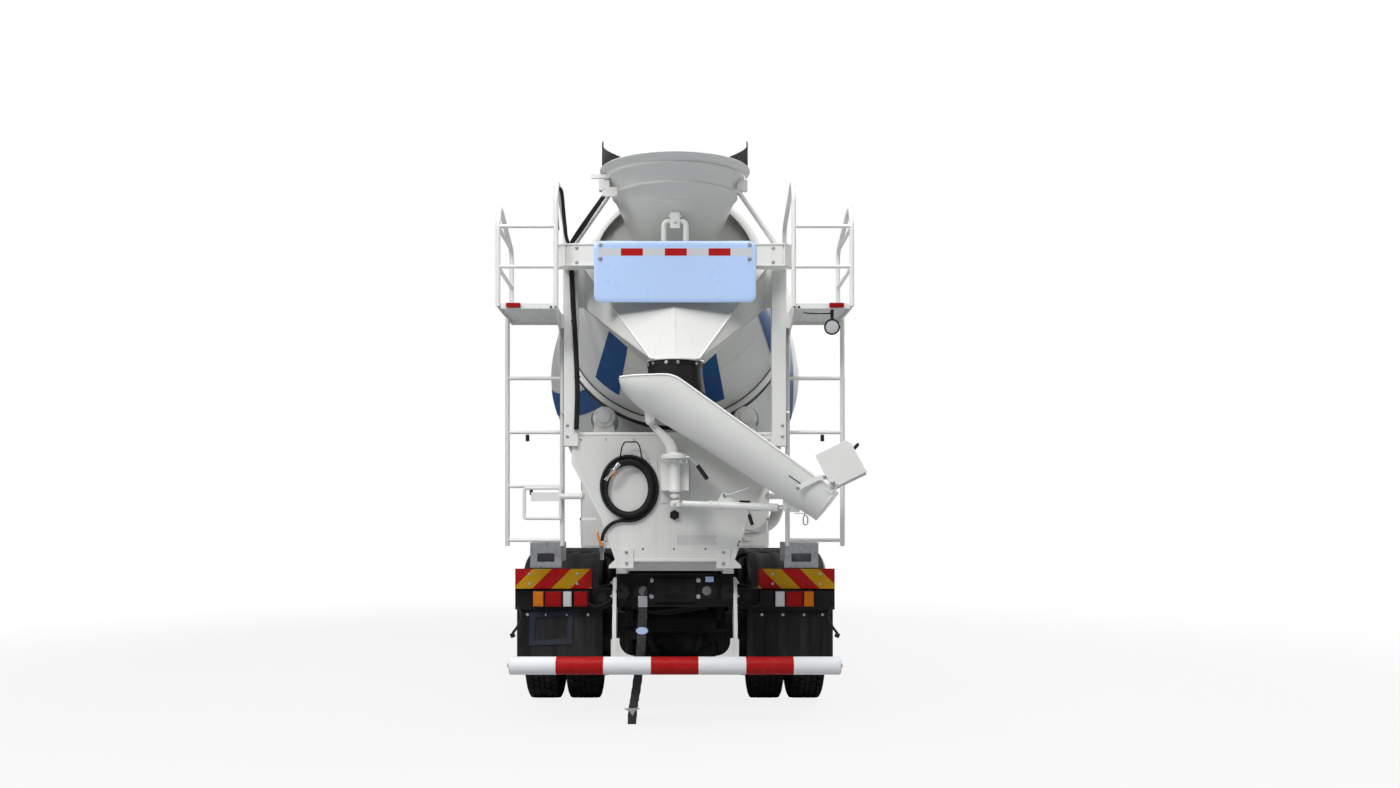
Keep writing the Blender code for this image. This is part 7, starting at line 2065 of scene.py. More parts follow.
def build_crossmember():
    """The end crossmember: channel edges, pressed bracket, black discs of painted shade in its
    holes, bolts and hoses.
    """
    form = Form()
    form.block((-0.43, -3.512, 1.108), (0.43, -3.495, 1.125))
    form.block((-0.43, -3.512, 0.876), (0.43, -3.495, 0.890))
    for side in SIDES.values():
        form.sided(side, (0.345, -3.516, 0.885), (0.43, -3.500, 1.115))
        form.collar(0.050, 0.066, 0, 0.006, turned_to((side * 0.262, -3.502, 0.985), REAR), 32)
    cross = []
    for step in range(48):
        angle = math.tau * step / 48
        reach = 0.040 + 0.034 * abs(math.sin(2 * angle)) ** 1.5
        cross.append((reach * 1.25 * math.cos(angle), 1.005 + reach * math.sin(angle)))
    form.prism(cross, "Y", -3.529, -3.520)
    form.prism([(x * 0.6, 1.005 + (z - 1.005) * 0.6) for x, z in cross], "Y", -3.536, -3.529)
    form.bolts(
        [
            (side * x, -3.516, z) for side in (-1, 1)
            for x, z in ((0.37, 0.905), (0.37, 1.095), (0.405, 1.0))
        ], REAR, 0.020
    )
    form.bolts([(x, -3.529, z) for x in (-0.060, 0.060) for z in (0.965, 1.045)], REAR, 0.014)
    form.made("end_member", "black", "chassis", edge=0.002)
    # Black discs stand for the open holes: painted shade.
    holes = Form()
    for x, y, radius in (
        (-0.262, -3.5025, 0.046), (0.262, -3.5025, 0.046), (-0.385, -3.5165, 0.05),
        (0.385, -3.5165, 0.05)
    ):
        holes.disc(radius, 0.0015, turned_to((x, y, 0.985), REAR), 28)
    holes.made("end_member_hole_shade", "flap", "chassis")
    bolts = Form()
    bolts.bolts(
        [(side * 0.173, -3.501, z) for side in (-1, 1) for z in (0.952, 1.072)], REAR, 0.024
    )
    bolts.made("end_member_bolts", "zinc", "chassis", edge=0.0005)
    pipes = Form()
    for side in SIDES.values():
        pipes.turned(
            [(0, 0), (0.034, 0), (0.034, 0.004), (0.026, 0.008), (0, 0.008)],
            turned_to((side * 0.235, -3.504, 0.995), REAR), 24
        )
    pipes.made("end_member_pipes", "grey", "chassis")
    lines = Form()
    lines.tube(
        [
            (-0.20, -3.40, 1.12), (-0.185, -3.515, 1.10), (-0.19, -3.522, 1.03),
            (-0.225, -3.522, 0.97)
        ], 0.006, 12, 0.03
    )
    lines.tube(
        [(-0.36, -3.45, 0.90), (-0.20, -3.46, 0.83), (0.05, -3.46, 0.86), (0.30, -3.45, 0.90)],
        0.010, 12, 0.08
    )
    lines.tube([(-0.34, -3.30, 0.86), (-0.10, -3.25, 0.80), (0.25, -3.30, 0.86)], 0.012, 12, 0.08)
    lines.tube(
        [(-0.42, -3.20, 1.155), (-0.10, -3.30, 1.145), (0.20, -3.25, 1.15), (0.40, -3.20, 1.16)],
        0.014, 12, 0.08
    )
    lines.made("tail_lines", "hose", "chassis")
    tag = Form()
    tag.block((0.225, -3.5145, 1.060), (0.285, -3.512, 1.100))
    tag.made("blank_tag", "sign", "chassis", edge=0.0005)


def build_strap():
    """The earthing strap with its blank label, oval spot and end clip."""
    form = Form()
    line = [
        (-0.236, 0.955), (-0.238, 0.80), (-0.247, 0.62), (-0.262, 0.44), (-0.288, 0.25),
        (-0.312, 0.12), (-0.318, 0.010)
    ]
    points = eased([(x, -3.505, z) for x, z in line], 0.08, 5)
    rows = []
    spots = [
        before.lerp(after, share / 3) for before, after in zip(points, points[1:])
        for share in range(3)
    ] + [points[-1]]
    for number, point in enumerate(spots):
        half = 0.033 + 0.0015 * math.sin(number * 0.8)
        row = []
        for across in (-1, -0.7, -0.35, 0, 0.35, 0.7, 1):
            crease = 0.0022 * math.sin(number * 1.9 + across * 2.2)
            crease += 0.0018 * math.sin(number * 0.7 - across * 3.0)
            row.append(point + Vector((across * half, crease - 0.0025 * (1 - across * across), 0)))
        rows.append(row)
    form.skin(rows)
    form.made("strap_web", "strap", "chassis", ("earthing_strap",), wall=0.004, angle=60)
    label = Form()
    label.block((-0.272, -3.5165, 0.875), (-0.204, -3.5125, 0.958))
    label.made("strap_label", "zinc", "chassis", edge=0.001)
    spot = Form()
    seat = turned_to((-0.243, -3.5125, 0.700), REAR) @ Matrix.Diagonal((1.0, 0.6, 1.0, 1.0))
    spot.turned([(0, 0), (0.045, 0), (0.043, 0.003), (0, 0.004)], seat, 32)
    spot.made("strap_spot", "sign", "chassis")
    clip = Form()
    outline = [
        (-0.372, 0.128), (-0.262, 0.132), (-0.262, 0.122), (-0.292, 0.112), (-0.312, 0.072),
        (-0.336, 0.108), (-0.372, 0.119)
    ]
    clip.prism(outline, "Y", -3.5155, -3.5115)
    clip.made("strap_clip", "zinc", "chassis", edge=0.0006)


def guard_line(axle_y, angle, out=0.0):
    """A place on a mudguard's arch, which is flat on top."""
    radius = 0.6968 + out
    y = axle_y + radius * math.cos(angle)
    return y, min(AXLE_Z + radius * math.sin(angle), 1.2533 + out)


def build_mudguards():
    """Ribbed plastic mudguards over the twin wheels, each rear end with an aluminium step."""
    for name, side in SIDES.items():
        form = Form()
        rows = []
        for axle_y in DRIVEN_AXLES:
            for step in range(33):
                angle = math.radians(blended(158, 22, step / 32))
                row = []
                for across in range(33):
                    x = blended(0.604, 1.244, across / 32)
                    rib = 0.008 if across % 8 in (3, 4, 5) else 0.0
                    drop = 0.030 if across in (0, 32) else 0.0
                    y, z = guard_line(axle_y, angle, 0.002 + rib - drop)
                    row.append((side * x, y, z))
                rows.append(row)
        form.skin(rows)
        form.made(
            f"ribbed_guards_{name}", "plastic", "chassis", (f"mudguard_{name}",), wall=0.006,
            angle=30
        )
        stays = Form()
        for axle_y in DRIVEN_AXLES:
            stays.tube(
                [
                    (side * 0.432, axle_y, 1.04), (side * 0.56, axle_y, 1.225),
                    (side * 1.20, axle_y, 1.232)
                ], 0.016, 16, 0.05
            )
            stays.disc(0.042, 0.012, turned_to((side * 0.4305, axle_y, 1.04), (side, 0, 0)), 24)
        stays.tube(
            [(side * 0.44, -2.98, 1.02), (side * 0.62, -2.98, 0.98), (side * 1.18, -2.90, 0.90)],
            0.014, 14, 0.05
        )
        stays.made(f"guard_stays_{name}", "black", "chassis")
        step_plate = Form()
        low, high = (0.86, 1.10) if side < 0 else (0.83, 1.09)
        back, top, depth = -3.275, 1.345, 0.34
        outer = [(low, 1.155), (high, 1.155), (high, top), (low, top)]
        inner = [
            (low + 0.055, 1.20), (high - 0.055, 1.20), (high - 0.055, 1.265), (low + 0.055, 1.265)
        ]
        rows = []
        for outline, y in (
            (outer, back), (inner, back), (inner, back + 0.006), (outer, back + 0.006)
        ):
            rows.append([(side * x, y, z) for x, z in outline])
        step_plate.rings(rows, wrap=True)
        step_plate.block((side * low, back, top - 0.004), (side * high, back + depth, top + 0.002))
        for x in (low, high - 0.006):
            step_plate.block((side * x, back, 1.20), (side * (x + 0.006), back + depth, top))
        step_plate.made(f"guard_step_{name}", "step", "chassis", edge=0.002)


# Places along a spring leaf, from its rear end at -1 to its front end at 1
LEAF_SHARES = [step / 8 - 1 for step in range(17)]


def add_leaf(form, side, width, middle, reach, rise, thick):
    """A spring leaf along the frame, between two widths, with its rise at each share."""
    near, far = width
    rows = []
    for share, up in zip(LEAF_SHARES, rise):
        y, z = middle[0] + reach * share, middle[1] + up
        rows.append(
            [
                (side * near, y, z), (side * far, y, z), (side * far, y, z + thick),
                (side * near, y, z + thick)
            ]
        )
    form.rings(rows)


def build_axles():
    """Brakes, differentials, torque rods and springs, then the lines between them."""
    cast = Form()
    dark = Form()
    for axle_y in DRIVEN_AXLES:
        at = Vector((0, axle_y, AXLE_Z))
        across = Matrix.Translation(at) @ Matrix.Rotation(math.pi / 2, 4, "Y")
        dome = [
            (0, 0.262), (0.060, 0.258), (0.120, 0.238), (0.172, 0.200), (0.192, 0.165),
            (0.232, 0.158), (0.238, 0.150), (0.238, 0.128), (0, 0.128)
        ]
        cast.turned(dome, turned_to(at, REAR), 56)
        cast.nut_ring(at + Vector((0, -0.158, 0)), REAR, 0.213, 16, 0.020)
        cast.collar(0, 0.020, 0.258, 0.272, turned_to(at, REAR), 6)
        for side in (1, -1):
            near, far = side * 0.36, side * 0.60
            dark.turned([(0.20, near), (0.205, far), (0.10, far), (0.10, near)], across, 40)
        for side in SIDES.values():
            chamber = turned_to((side * 0.34, axle_y - 0.075, AXLE_Z + 0.07), REAR)
            cast.turned(
                [
                    (0, 0), (0.080, 0), (0.086, 0.010), (0.086, 0.050), (0.092, 0.055),
                    (0.092, 0.068), (0.086, 0.074), (0.086, 0.15), (0.070, 0.183), (0, 0.185)
                ], chamber, 32
            )
            dark.tube(
                [
                    (side * 0.34, axle_y - 0.20, AXLE_Z + 0.16),
                    (side * 0.33, axle_y - 0.16, AXLE_Z + 0.28),
                    (side * 0.22, axle_y - 0.05, AXLE_Z + 0.38)
                ], 0.008, 12, 0.05
            )
            dark.tube(
                [(side * 0.30, axle_y, AXLE_Z - 0.08), (side * 0.33, BOGIE_Y, 0.50)], 0.030, 20
            )
            dark.tube(
                [(side * 0.14, axle_y, AXLE_Z + 0.20), (side * 0.36, BOGIE_Y, 0.98)], 0.028, 20
            )
            dark.sided(side, (0.40, axle_y - 0.14, 0.50), (0.61, axle_y + 0.14, 0.575))
    cast.made("axle_castings", "black", "chassis", edge=0.001)
    # Spring leaves over the solids, one above another, and their clamps
    for side in SIDES.values():
        for leaf in range(7):
            reach = 0.68 - leaf * 0.075
            rise = [0.015 * share * share - 0.09 * share * share * reach for share in LEAF_SHARES]
            add_leaf(
                dark, side, (0.472, 0.558), (BOGIE_Y, 0.640 + leaf * 0.020), reach, rise, 0.0185
            )
        for y in (-1.60, -1.45):
            dark.tube(
                [
                    (side * 0.463, y, 0.55), (side * 0.463, y, 0.79), (side * 0.567, y, 0.79),
                    (side * 0.567, y, 0.55)
                ], 0.011, 12, 0.02
            )
    dark.prism([(-1.62, 0.52), (-1.60, 0.27), (-1.45, 0.27), (-1.43, 0.52)], "X", -0.455, 0.455)
    dark.block((-0.455, -1.64, 0.50), (0.455, -1.41, 0.525))
    dark.tube([(0.0, -2.56, 0.62), (0.16, -2.66, 0.70), (0.30, -2.75, 0.92)], 0.010, 12, 0.05)
    dark.tube([(-0.42, -2.95, 0.66), (0.42, -2.95, 0.66)], 0.024, 20)
    dark.tube([(-0.62, -2.45, 0.36), (0.62, -2.45, 0.36)], 0.020, 20)
    for side in SIDES.values():
        dark.tube([(side * 0.60, -2.45, 0.36), (side * 0.585, -2.20, 0.40)], 0.020, 16)
        dark.tube([(side * 0.40, -2.45, 0.36), (side * 0.40, -2.50, 0.87)], 0.014, 14)
    dark.made("axle_linkage", "black", "chassis", edge=0.0015)
    build_frame_lines()


def build_frame_lines():
    """The air bottle with its bands, and the lines along the frame."""
    bottle = Form()
    along = Matrix.Translation((0, -2.98, 0.745)) @ Matrix.Rotation(math.pi / 2, 4, "Y")
    half = [(0, -0.335), (0.085, -0.325), (0.108, -0.290), (0.1105, -0.27)]
    bottle.turned(both_ends(half), along, 40)
    for x in (-0.20, 0.20):
        bottle.collar(0.111, 0.116, x - 0.02, x + 0.02, along, 40)
    bottle.made("air_bottle_smooth", "black", "chassis", edge=0.001)
    lines = Form()
    for number in range(4):
        x = -0.36 + number * 0.024
        lines.tube(
            [(x, -3.35, 1.02), (x, -2.0, 1.035), (x, 0.5, 1.03), (x, 2.2, 1.02)], 0.0075, 10, 0.1
        )
    lines.tube([(0.37, -3.30, 1.05), (0.36, -1.0, 1.05), (0.37, 2.3, 1.04)], 0.016, 12, 0.1)
    lines.tube(
        [(-0.10, -2.90, 0.80), (-0.16, -2.75, 0.86), (-0.30, -2.60, 0.84), (-0.34, -2.42, 0.70)],
        0.007, 12, 0.06
    )
    lines.tube(
        [(0.12, -2.90, 0.80), (0.18, -2.75, 0.88), (0.30, -2.60, 0.82), (0.34, -2.42, 0.70)], 0.007,
        12, 0.06
    )
    lines.made("frame_lines", "hose", "chassis")


GRILLE_FACE = 4.312


def screen_y(z):
    """The front of the cab at a height."""
    return 4.30 if z < 1.85 else 4.30 - (z - 1.85) * 0.2069


def build_cab_outside():
    """Grille, cowl, wipers, visor and marker lamps, then the rest of the cab."""
    grille = Form()
    grille.prism(
        [(-0.78, 1.22), (0.78, 1.22), (0.86, 1.76), (-0.86, 1.76)], "Y", 4.301, GRILLE_FACE
    )
    for row in range(6):
        z = 1.265 + row * 0.085
        half = 0.75 + row * 0.013
        grille.prism(
            [(GRILLE_FACE, z), (4.334, z + 0.008), (4.334, z + 0.030), (GRILLE_FACE, z + 0.048)],
            "X", -half, half
        )
    for x in (-0.5, -0.25, 0.0, 0.25, 0.5):
        grille.block((x - 0.006, GRILLE_FACE, 1.24), (x + 0.006, 4.326, 1.74))
    grille.block((-1.10, 4.285, 1.862), (1.10, 4.306, 1.918))
    grille.made("cab_grille", "plastic", "cab", edge=0.002)
    trim = Form()
    for low, high in ((1.205, 1.222), (1.760, 1.778)):
        trim.block((-0.88, 4.301, low), (0.88, 4.322, high))
    trim.block((-0.11, GRILLE_FACE, 1.785), (0.11, 4.318, 1.845))
    trim.made("grille_trim", "silver", "cab", edge=0.003)
    seal = Form()
    for side in SIDES.values():
        seal.tube([(side * 1.113, screen_y(z) + 0.003, z) for z in (1.935, 2.3, 2.655)], 0.011, 12)
    for z in (1.930, 2.662):
        seal.tube([(-1.113, screen_y(z) + 0.003, z), (1.113, screen_y(z) + 0.003, z)], 0.011, 12)
    for x, length in ((-0.62, 0.58), (-0.02, 0.54), (0.55, 0.50)):
        pivot = Vector((x + 0.20, GRILLE_FACE, 1.900))
        tip = Vector((x - 0.18, screen_y(1.99) + 0.022, 1.985))
        seal.tube([pivot, pivot + Vector((0, 0.012, 0.02)), tip], 0.007, 10, 0.01)
        seal.tube(
            [
                tip + Vector((-length * 0.42, -0.004, -0.012)),
                tip + Vector((length * 0.42, 0.0, 0.008))
            ], 0.008, 10
        )
    seal.made("screen_seals", "plastic", "cab")
    visor = Form()
    line = [
        (4.150, 2.735), (4.300, 2.705), (4.305, 2.712), (4.165, 2.800), (4.060, 2.905),
        (4.050, 2.898)
    ]
    visor.prism(line, "X", -1.06, 1.06)
    for x in (-1.0, -0.5, 0.0, 0.5, 1.0):
        visor.prism(
            [(4.05, 2.86), (4.16, 2.74), (4.17, 2.80), (4.06, 2.90)], "X", x - 0.008, x + 0.008
        )
    visor.made("sun_visor", "glass", "cab", edge=0.003)
    lamps = Form()
    for x in (-0.98, -0.28, 0.0, 0.28, 0.98):
        lamps.turned(
            [(0, 0), (0.036, 0), (0.034, 0.022), (0.020, 0.036), (0, 0.038)],
            Matrix.Translation((x, 3.80, ROOF_Z - 0.0001)) @ Matrix.Diagonal((1.4, 0.8, 1, 1)), 24
        )
    for side in SIDES.values():
        lamps.sided(side, (1.02, 4.300, 1.30), (1.12, 4.322, 1.42))
    lamps.made("cab_marker_lamps", "lamp_amber", "cab", edge=0.002)
    build_mirrors()
    build_door_trim()
    build_cab_pressings()
    build_cab_back()


def build_mirrors():
    """Mirrors with their arms and glass on both sides of the cab."""
    mirrors = Form()
    glass = Form()
    for side in SIDES.values():
        mirrors.tube(
            [
                (side * 1.15, 4.14, 2.60), (side * 1.165, 4.24, 2.64), (side * 1.165, 4.27, 2.58),
                (side * 1.165, 4.27, 1.86), (side * 1.15, 4.22, 1.80)
            ], 0.013, 14, 0.04
        )
        mirrors.sided(side, (1.085, 4.262, 2.05), (1.238, 4.330, 2.48))
        mirrors.sided(side, (1.085, 4.262, 1.86), (1.238, 4.325, 2.02))
        glass.sided(side, (1.095, 4.2585, 2.065), (1.228, 4.2620, 2.465))
        glass.sided(side, (1.095, 4.2585, 1.875), (1.228, 4.2620, 2.005))
        mirrors.tube(
            [(side * 0.80, 4.15, 2.72), (side * 0.80, 4.24, 2.66), (side * 0.80, 4.25, 2.58)],
            0.009, 12, 0.03
        )
    mirrors.made("cab_mirrors", "plastic", "cab", edge=0.012)
    glass.made("mirror_glass", "chrome", "cab")


def build_door_trim():
    """The doors' handles, window seals and pressed lines."""
    for name, side in SIDES.items():
        door = Form()
        door.sided(side, (CAB_SIDE, 3.075, 1.80), (1.212, 3.235, 1.86))
        door.sided(side, (1.212, 3.085, 1.812), (1.228, 3.225, 1.848))
        outline = [(3.09, 1.965), (3.95, 1.965), (3.86, 2.70), (3.09, 2.70)]
        for start, end in zip(outline, outline[1:] + outline[:1]):
            door.tube([(side * 1.203, *start), (side * 1.203, *end)], 0.009, 10)
        door.made(f"door_trim_{name}", "plastic", f"door_{name}", edge=0.003)
        crease = Form()
        crease.prism(
            [(3.04, 1.60), (4.00, 1.60), (3.99, 1.63), (3.05, 1.63)], "X", side * CAB_SIDE,
            side * 1.208
        )
        crease.prism(
            [(3.04, 1.36), (3.97, 1.36), (3.97, 1.40), (3.05, 1.40)], "X", side * CAB_SIDE,
            side * 1.207
        )
        crease.made(f"door_creases_{name}", "white", f"door_{name}", edge=0.003)


def build_cab_pressings():
    """Beads of the roof and back wall, side vents and wheel arch lips."""
    roof = Form()
    for x in (-0.75, -0.45, 0.45, 0.75):
        roof.prism(
            [(x - 0.06, ROOF_Z), (x + 0.06, ROOF_Z), (x + 0.045, 2.972), (x - 0.045, 2.972)], "Y",
            2.42, 3.72
        )
    roof.block((-0.30, 2.95, ROOF_Z), (0.30, 3.50, 2.985))
    for x in (-0.9, -0.3, 0.3, 0.9):
        roof.prism(
            [(x - 0.05, 2.3195), (x + 0.05, 2.3195), (x + 0.035, 2.308), (x - 0.035, 2.308)], "Z",
            1.25, 2.05
        )
    for side in SIDES.values():
        for row in range(5):
            z = 1.62 + row * 0.05
            roof.prism(
                [(2.45, z), (2.85, z), (2.85, z + 0.022), (2.45, z + 0.022)], "X", side * CAB_SIDE,
                side * 1.209
            )
        arch = []
        for step in range(21):
            angle = math.radians(blended(28, 152, step / 20))
            arch.append((FRONT_AXLE_Y + 0.652 * math.cos(angle), AXLE_Z + 0.652 * math.sin(angle)))
        arch = [point for point in arch if 2.33 < point[0] < 4.02 and point[1] > 1.05]
        for start, end in zip(arch, arch[1:]):
            roof.tube([(side * 1.196, *start), (side * 1.196, *end)], 0.012, 8)
    roof.made("cab_pressings", "white", "cab", edge=0.004)


def build_cab_back():
    """The rear window with its seal, and the air intake behind the cab."""
    rubber_frame = Form()
    corners = [(-0.455, 2.145), (0.455, 2.145), (0.455, 2.605), (-0.455, 2.605), (-0.455, 2.145)]
    rubber_frame.tube([(x, 2.316, z) for x, z in corners], 0.011, 12, 0.03)
    rubber_frame.made("rear_window_seal", "plastic", "cab")
    pane = Form()
    pane.block((-0.449, 2.345, 2.151), (0.449, 2.350, 2.599))
    pane.made("rear_window_pane", "glass", "cab")
    stack = Form()
    stack.block((0.64, 2.17, 1.32), (0.80, 2.300, 2.72))
    stack.prism(
        [(0.62, 2.72), (0.84, 2.72), (0.84, 2.90), (0.79, 2.93), (0.67, 2.93), (0.62, 2.90)], "Y",
        2.155, 2.305
    )
    for row in range(7):
        stack.block((0.615, 2.150, 2.742 + row * 0.024), (0.845, 2.310, 2.752 + row * 0.024))
    stack.tube([(0.72, 2.235, 1.34), (0.72, 2.235, 1.16), (0.50, 2.235, 1.14)], 0.050, 20, 0.05)
    stack.made("air_intake", "plastic", "cab", edge=0.008)


def build_cab_inside():
    """Chair cushions with seams, and the steering wheel's rim and spokes."""
    cushions = Form()
    for side in SIDES.values():
        x = side * 0.61
        floor = 1.38
        for low, high in (
            ((-0.25, 3.10, floor + 0.40), (0.25, 3.46, floor + 0.50)),
            ((-0.25, 2.97, floor + 0.48), (0.25, 3.12, floor + 1.02))
        ):
            cushions.block((x + low[0], low[1], low[2]), (x + high[0], high[1], high[2]))
        for dx in (-0.21, 0.21):
            cushions.block(
                (x + dx - 0.035, 3.10, floor + 0.49), (x + dx + 0.035, 3.44, floor + 0.525)
            )
            cushions.block(
                (x + dx - 0.035, 3.11, floor + 0.52), (x + dx + 0.035, 3.145, floor + 0.98)
            )
    cushions.made("chair_cushions", "trim", "cab", edge=0.02)
    wheel = Form()
    seat = turned_to((-0.61, 3.72, 2.02), (0, -0.55, 0.83))
    ring = []
    for step in range(41):
        angle = math.tau * step / 40
        ring.append(seat @ Vector((0.215 * math.cos(angle), 0.215 * math.sin(angle), 0.0)))
    wheel.tube(ring, 0.016, 12)
    for degrees in (90, 210, 330):
        angle = math.radians(degrees)
        wheel.tube(
            [
                seat @ Vector((0, 0, -0.03)),
                seat @ Vector((0.21 * math.cos(angle), 0.21 * math.sin(angle), 0))
            ], 0.012, 10
        )
    wheel.turned([(0, -0.05), (0.05, -0.05), (0.06, -0.01), (0.04, 0.012), (0, 0.014)], seat, 24)
    wheel.made("steering_rim", "plastic", "cab")


def build_front():
    """The bumper with its lamps and openings, the entry steps' treads, and the engine behind."""
    plan = [
        (-1.218, 3.525), (-1.218, 4.05), (-1.205, 4.22), (-1.14, 4.310), (-1.00, 4.338), (0, 4.345)
    ]
    plan += [(-x, y) for x, y in reversed(plan[:-1])]
    inner = [(x * 0.955, y - 0.045 * (y > 4.0)) for x, y in reversed(plan)]
    shell = Form()
    shell.prism(plan + inner, "Z", 0.365, 0.935)
    for side in SIDES.values():
        shell.sided(side, (0.30, 4.02, 0.885), (0.40, 4.30, 0.975))
        for z in (0.385, 0.675):
            shell.sided(side, (0.86, 3.53, z - 0.012), (1.17, 3.90, z + 0.008))
    shell.made("bumper_shell", "white", "chassis", ("front_bumper",), edge=0.006)
    dark = Form()
    for low, high in (
        ((-0.62, 4.337, 0.43), (0.62, 4.3485, 0.60)), ((-0.62, 4.337, 0.68), (0.62, 4.3485, 0.86))
    ):
        dark.block(low, high)
        for row in range(3):
            z = blended(low[2], high[2], (row + 0.5) / 3)
            dark.block((low[0] + 0.02, 4.3440, z - 0.012), (high[0] - 0.02, 4.3495, z + 0.012))
    for side in SIDES.values():
        dark.sided(side, (0.70, 4.315, 0.60), (1.12, 4.3445, 0.83))
        for z in (0.40, 0.69):
            dark.sided(side, (0.88, 3.54, z - 0.02), (1.205, 3.88, z))
    dark.prism([(-1.15, 3.95), (1.15, 3.95), (1.08, 4.27), (-1.08, 4.27)], "Z", 0.900, 0.922)
    dark.made("bumper_openings", "plastic", "chassis", edge=0.004)
    clear, amber = Form(), Form()
    for side in SIDES.values():
        for x, radius in ((0.79, 0.075), (0.965, 0.085)):
            clear.turned(
                [(0, 0), (radius, 0), (radius * 0.9, 0.010), (radius * 0.5, 0.016), (0, 0.018)],
                turned_to((side * x, 4.330, 0.715), (0, 1, 0)), 32
            )
        clear.turned(
            [(0, 0), (0.055, 0), (0.05, 0.008), (0, 0.012)],
            turned_to((side * 0.85, 4.335, 0.50), (0, 1, 0)), 28
        )
        amber.sided(side, (1.065, 4.318, 0.64), (1.115, 4.342, 0.79))
    clear.made("head_lamps", "lamp_clear", "chassis")
    amber.made("front_turn_lamps", "lamp_amber", "chassis", edge=0.003)
    treads = Form()
    for side in SIDES.values():
        for z in (0.405, 0.695):
            treads.sided(side, (0.90, 3.55, z - 0.004), (1.20, 3.87, z + 0.003))
    treads.made("entry_treads", "step", "chassis", edge=0.001)
    blank = Form()
    blank.block((-0.22, 4.3452, 0.612), (0.22, 4.3490, 0.672))
    blank.made("front_blank_plate", "sign", "chassis", edge=0.0005)
    build_engine_bay()


def build_engine_bay():
    """The radiator with its fan, and the covers, pipes and pulleys of the engine."""
    core = Form()
    core.block((-0.42, 3.74, 0.60), (0.42, 3.82, 1.11))
    for row in range(12):
        core.block((-0.40, 3.735, 0.625 + row * 0.04), (0.40, 3.826, 0.633 + row * 0.04))
    core.turned(
        [(0, 0), (0.26, 0), (0.27, 0.02), (0.27, 0.05), (0.10, 0.06), (0, 0.06)],
        turned_to((0, 3.735, 0.86), REAR), 40
    )
    core.block((-0.40, 2.45, 0.500), (0.40, 3.80, 0.512))
    core.block((-0.40, 3.79, 0.44), (0.40, 3.81, 0.62))
    core.prism([(2.45, 0.512), (2.60, 0.512), (2.60, 0.61), (2.45, 0.61)], "X", -0.38, 0.38)
    core.made("radiator", "plastic", "chassis", edge=0.003)
    engine = Form()
    engine.block((-0.20, 2.62, 1.262), (0.20, 3.60, 1.295))
    for cylinder in range(6):
        y = 2.70 + cylinder * 0.155
        engine.block((-0.26, y, 1.10), (-0.335, y + 0.10, 1.22))
        engine.tube(
            [(0.33, y + 0.05, 1.15), (0.385, y + 0.05, 1.12), (0.395, y + 0.05, 1.04)], 0.026, 14,
            0.02
        )
    engine.tube([(0.395, 2.70, 1.03), (0.395, 3.55, 1.03)], 0.040, 20)
    engine.turned(
        [(0, 0), (0.085, 0), (0.10, 0.03), (0.10, 0.07), (0.06, 0.10), (0, 0.10)],
        turned_to((0.395, 3.05, 0.93), (0, 1, 0)), 28
    )
    for x, radius in ((0.0, 0.12), (0.19, 0.07), (-0.19, 0.07)):
        engine.turned(
            [
                (0, 0), (radius, 0), (radius, 0.02), (radius * 0.85, 0.025), (radius * 0.85, 0.035),
                (radius, 0.04), (0, 0.045)
            ], turned_to((x, 3.7003, 0.92), (0, 1, 0)), 32
        )
    engine.tube([(-0.34, 2.9, 0.78), (-0.34, 3.12, 0.78)], 0.055, 20)
    engine.made("engine_details", "grey", "chassis", edge=0.003)


def build_front_axle():
    """Springs, drums and dampers of the front axle."""
    form = Form()
    for side in SIDES.values():
        for leaf in range(5):
            reach = 0.80 - leaf * 0.11
            rise = [0.12 * share * share * reach for share in LEAF_SHARES]
            add_leaf(
                form, side, (0.345, 0.425), (FRONT_AXLE_Y, 0.585 - leaf * 0.017), reach, rise, 0.015
            )
        form.tube([(side * 0.47, 2.70, 0.56), (side * 0.44, 2.55, 0.95)], 0.026, 20)
        form.tube([(side * 0.47, 2.70, 0.56), (side * 0.457, 2.63, 0.75)], 0.036, 20)
    form.made("front_springs", "black", "chassis", edge=0.001)
    for name, side in SIDES.items():
        drum = Form()
        along = wheel_place(side, FRONT_AXLE_Y) @ Matrix.Rotation(math.pi / 2, 4, "Y")
        drum.turned(
            [(0.05, 0.848), (0.16, 0.848), (0.19, 0.856), (0.19, 0.868), (0.05, 0.868)], along, 40
        )
        drum.made(f"brake_plate_{name}", "black", f"steer_{name}", edge=0.002)


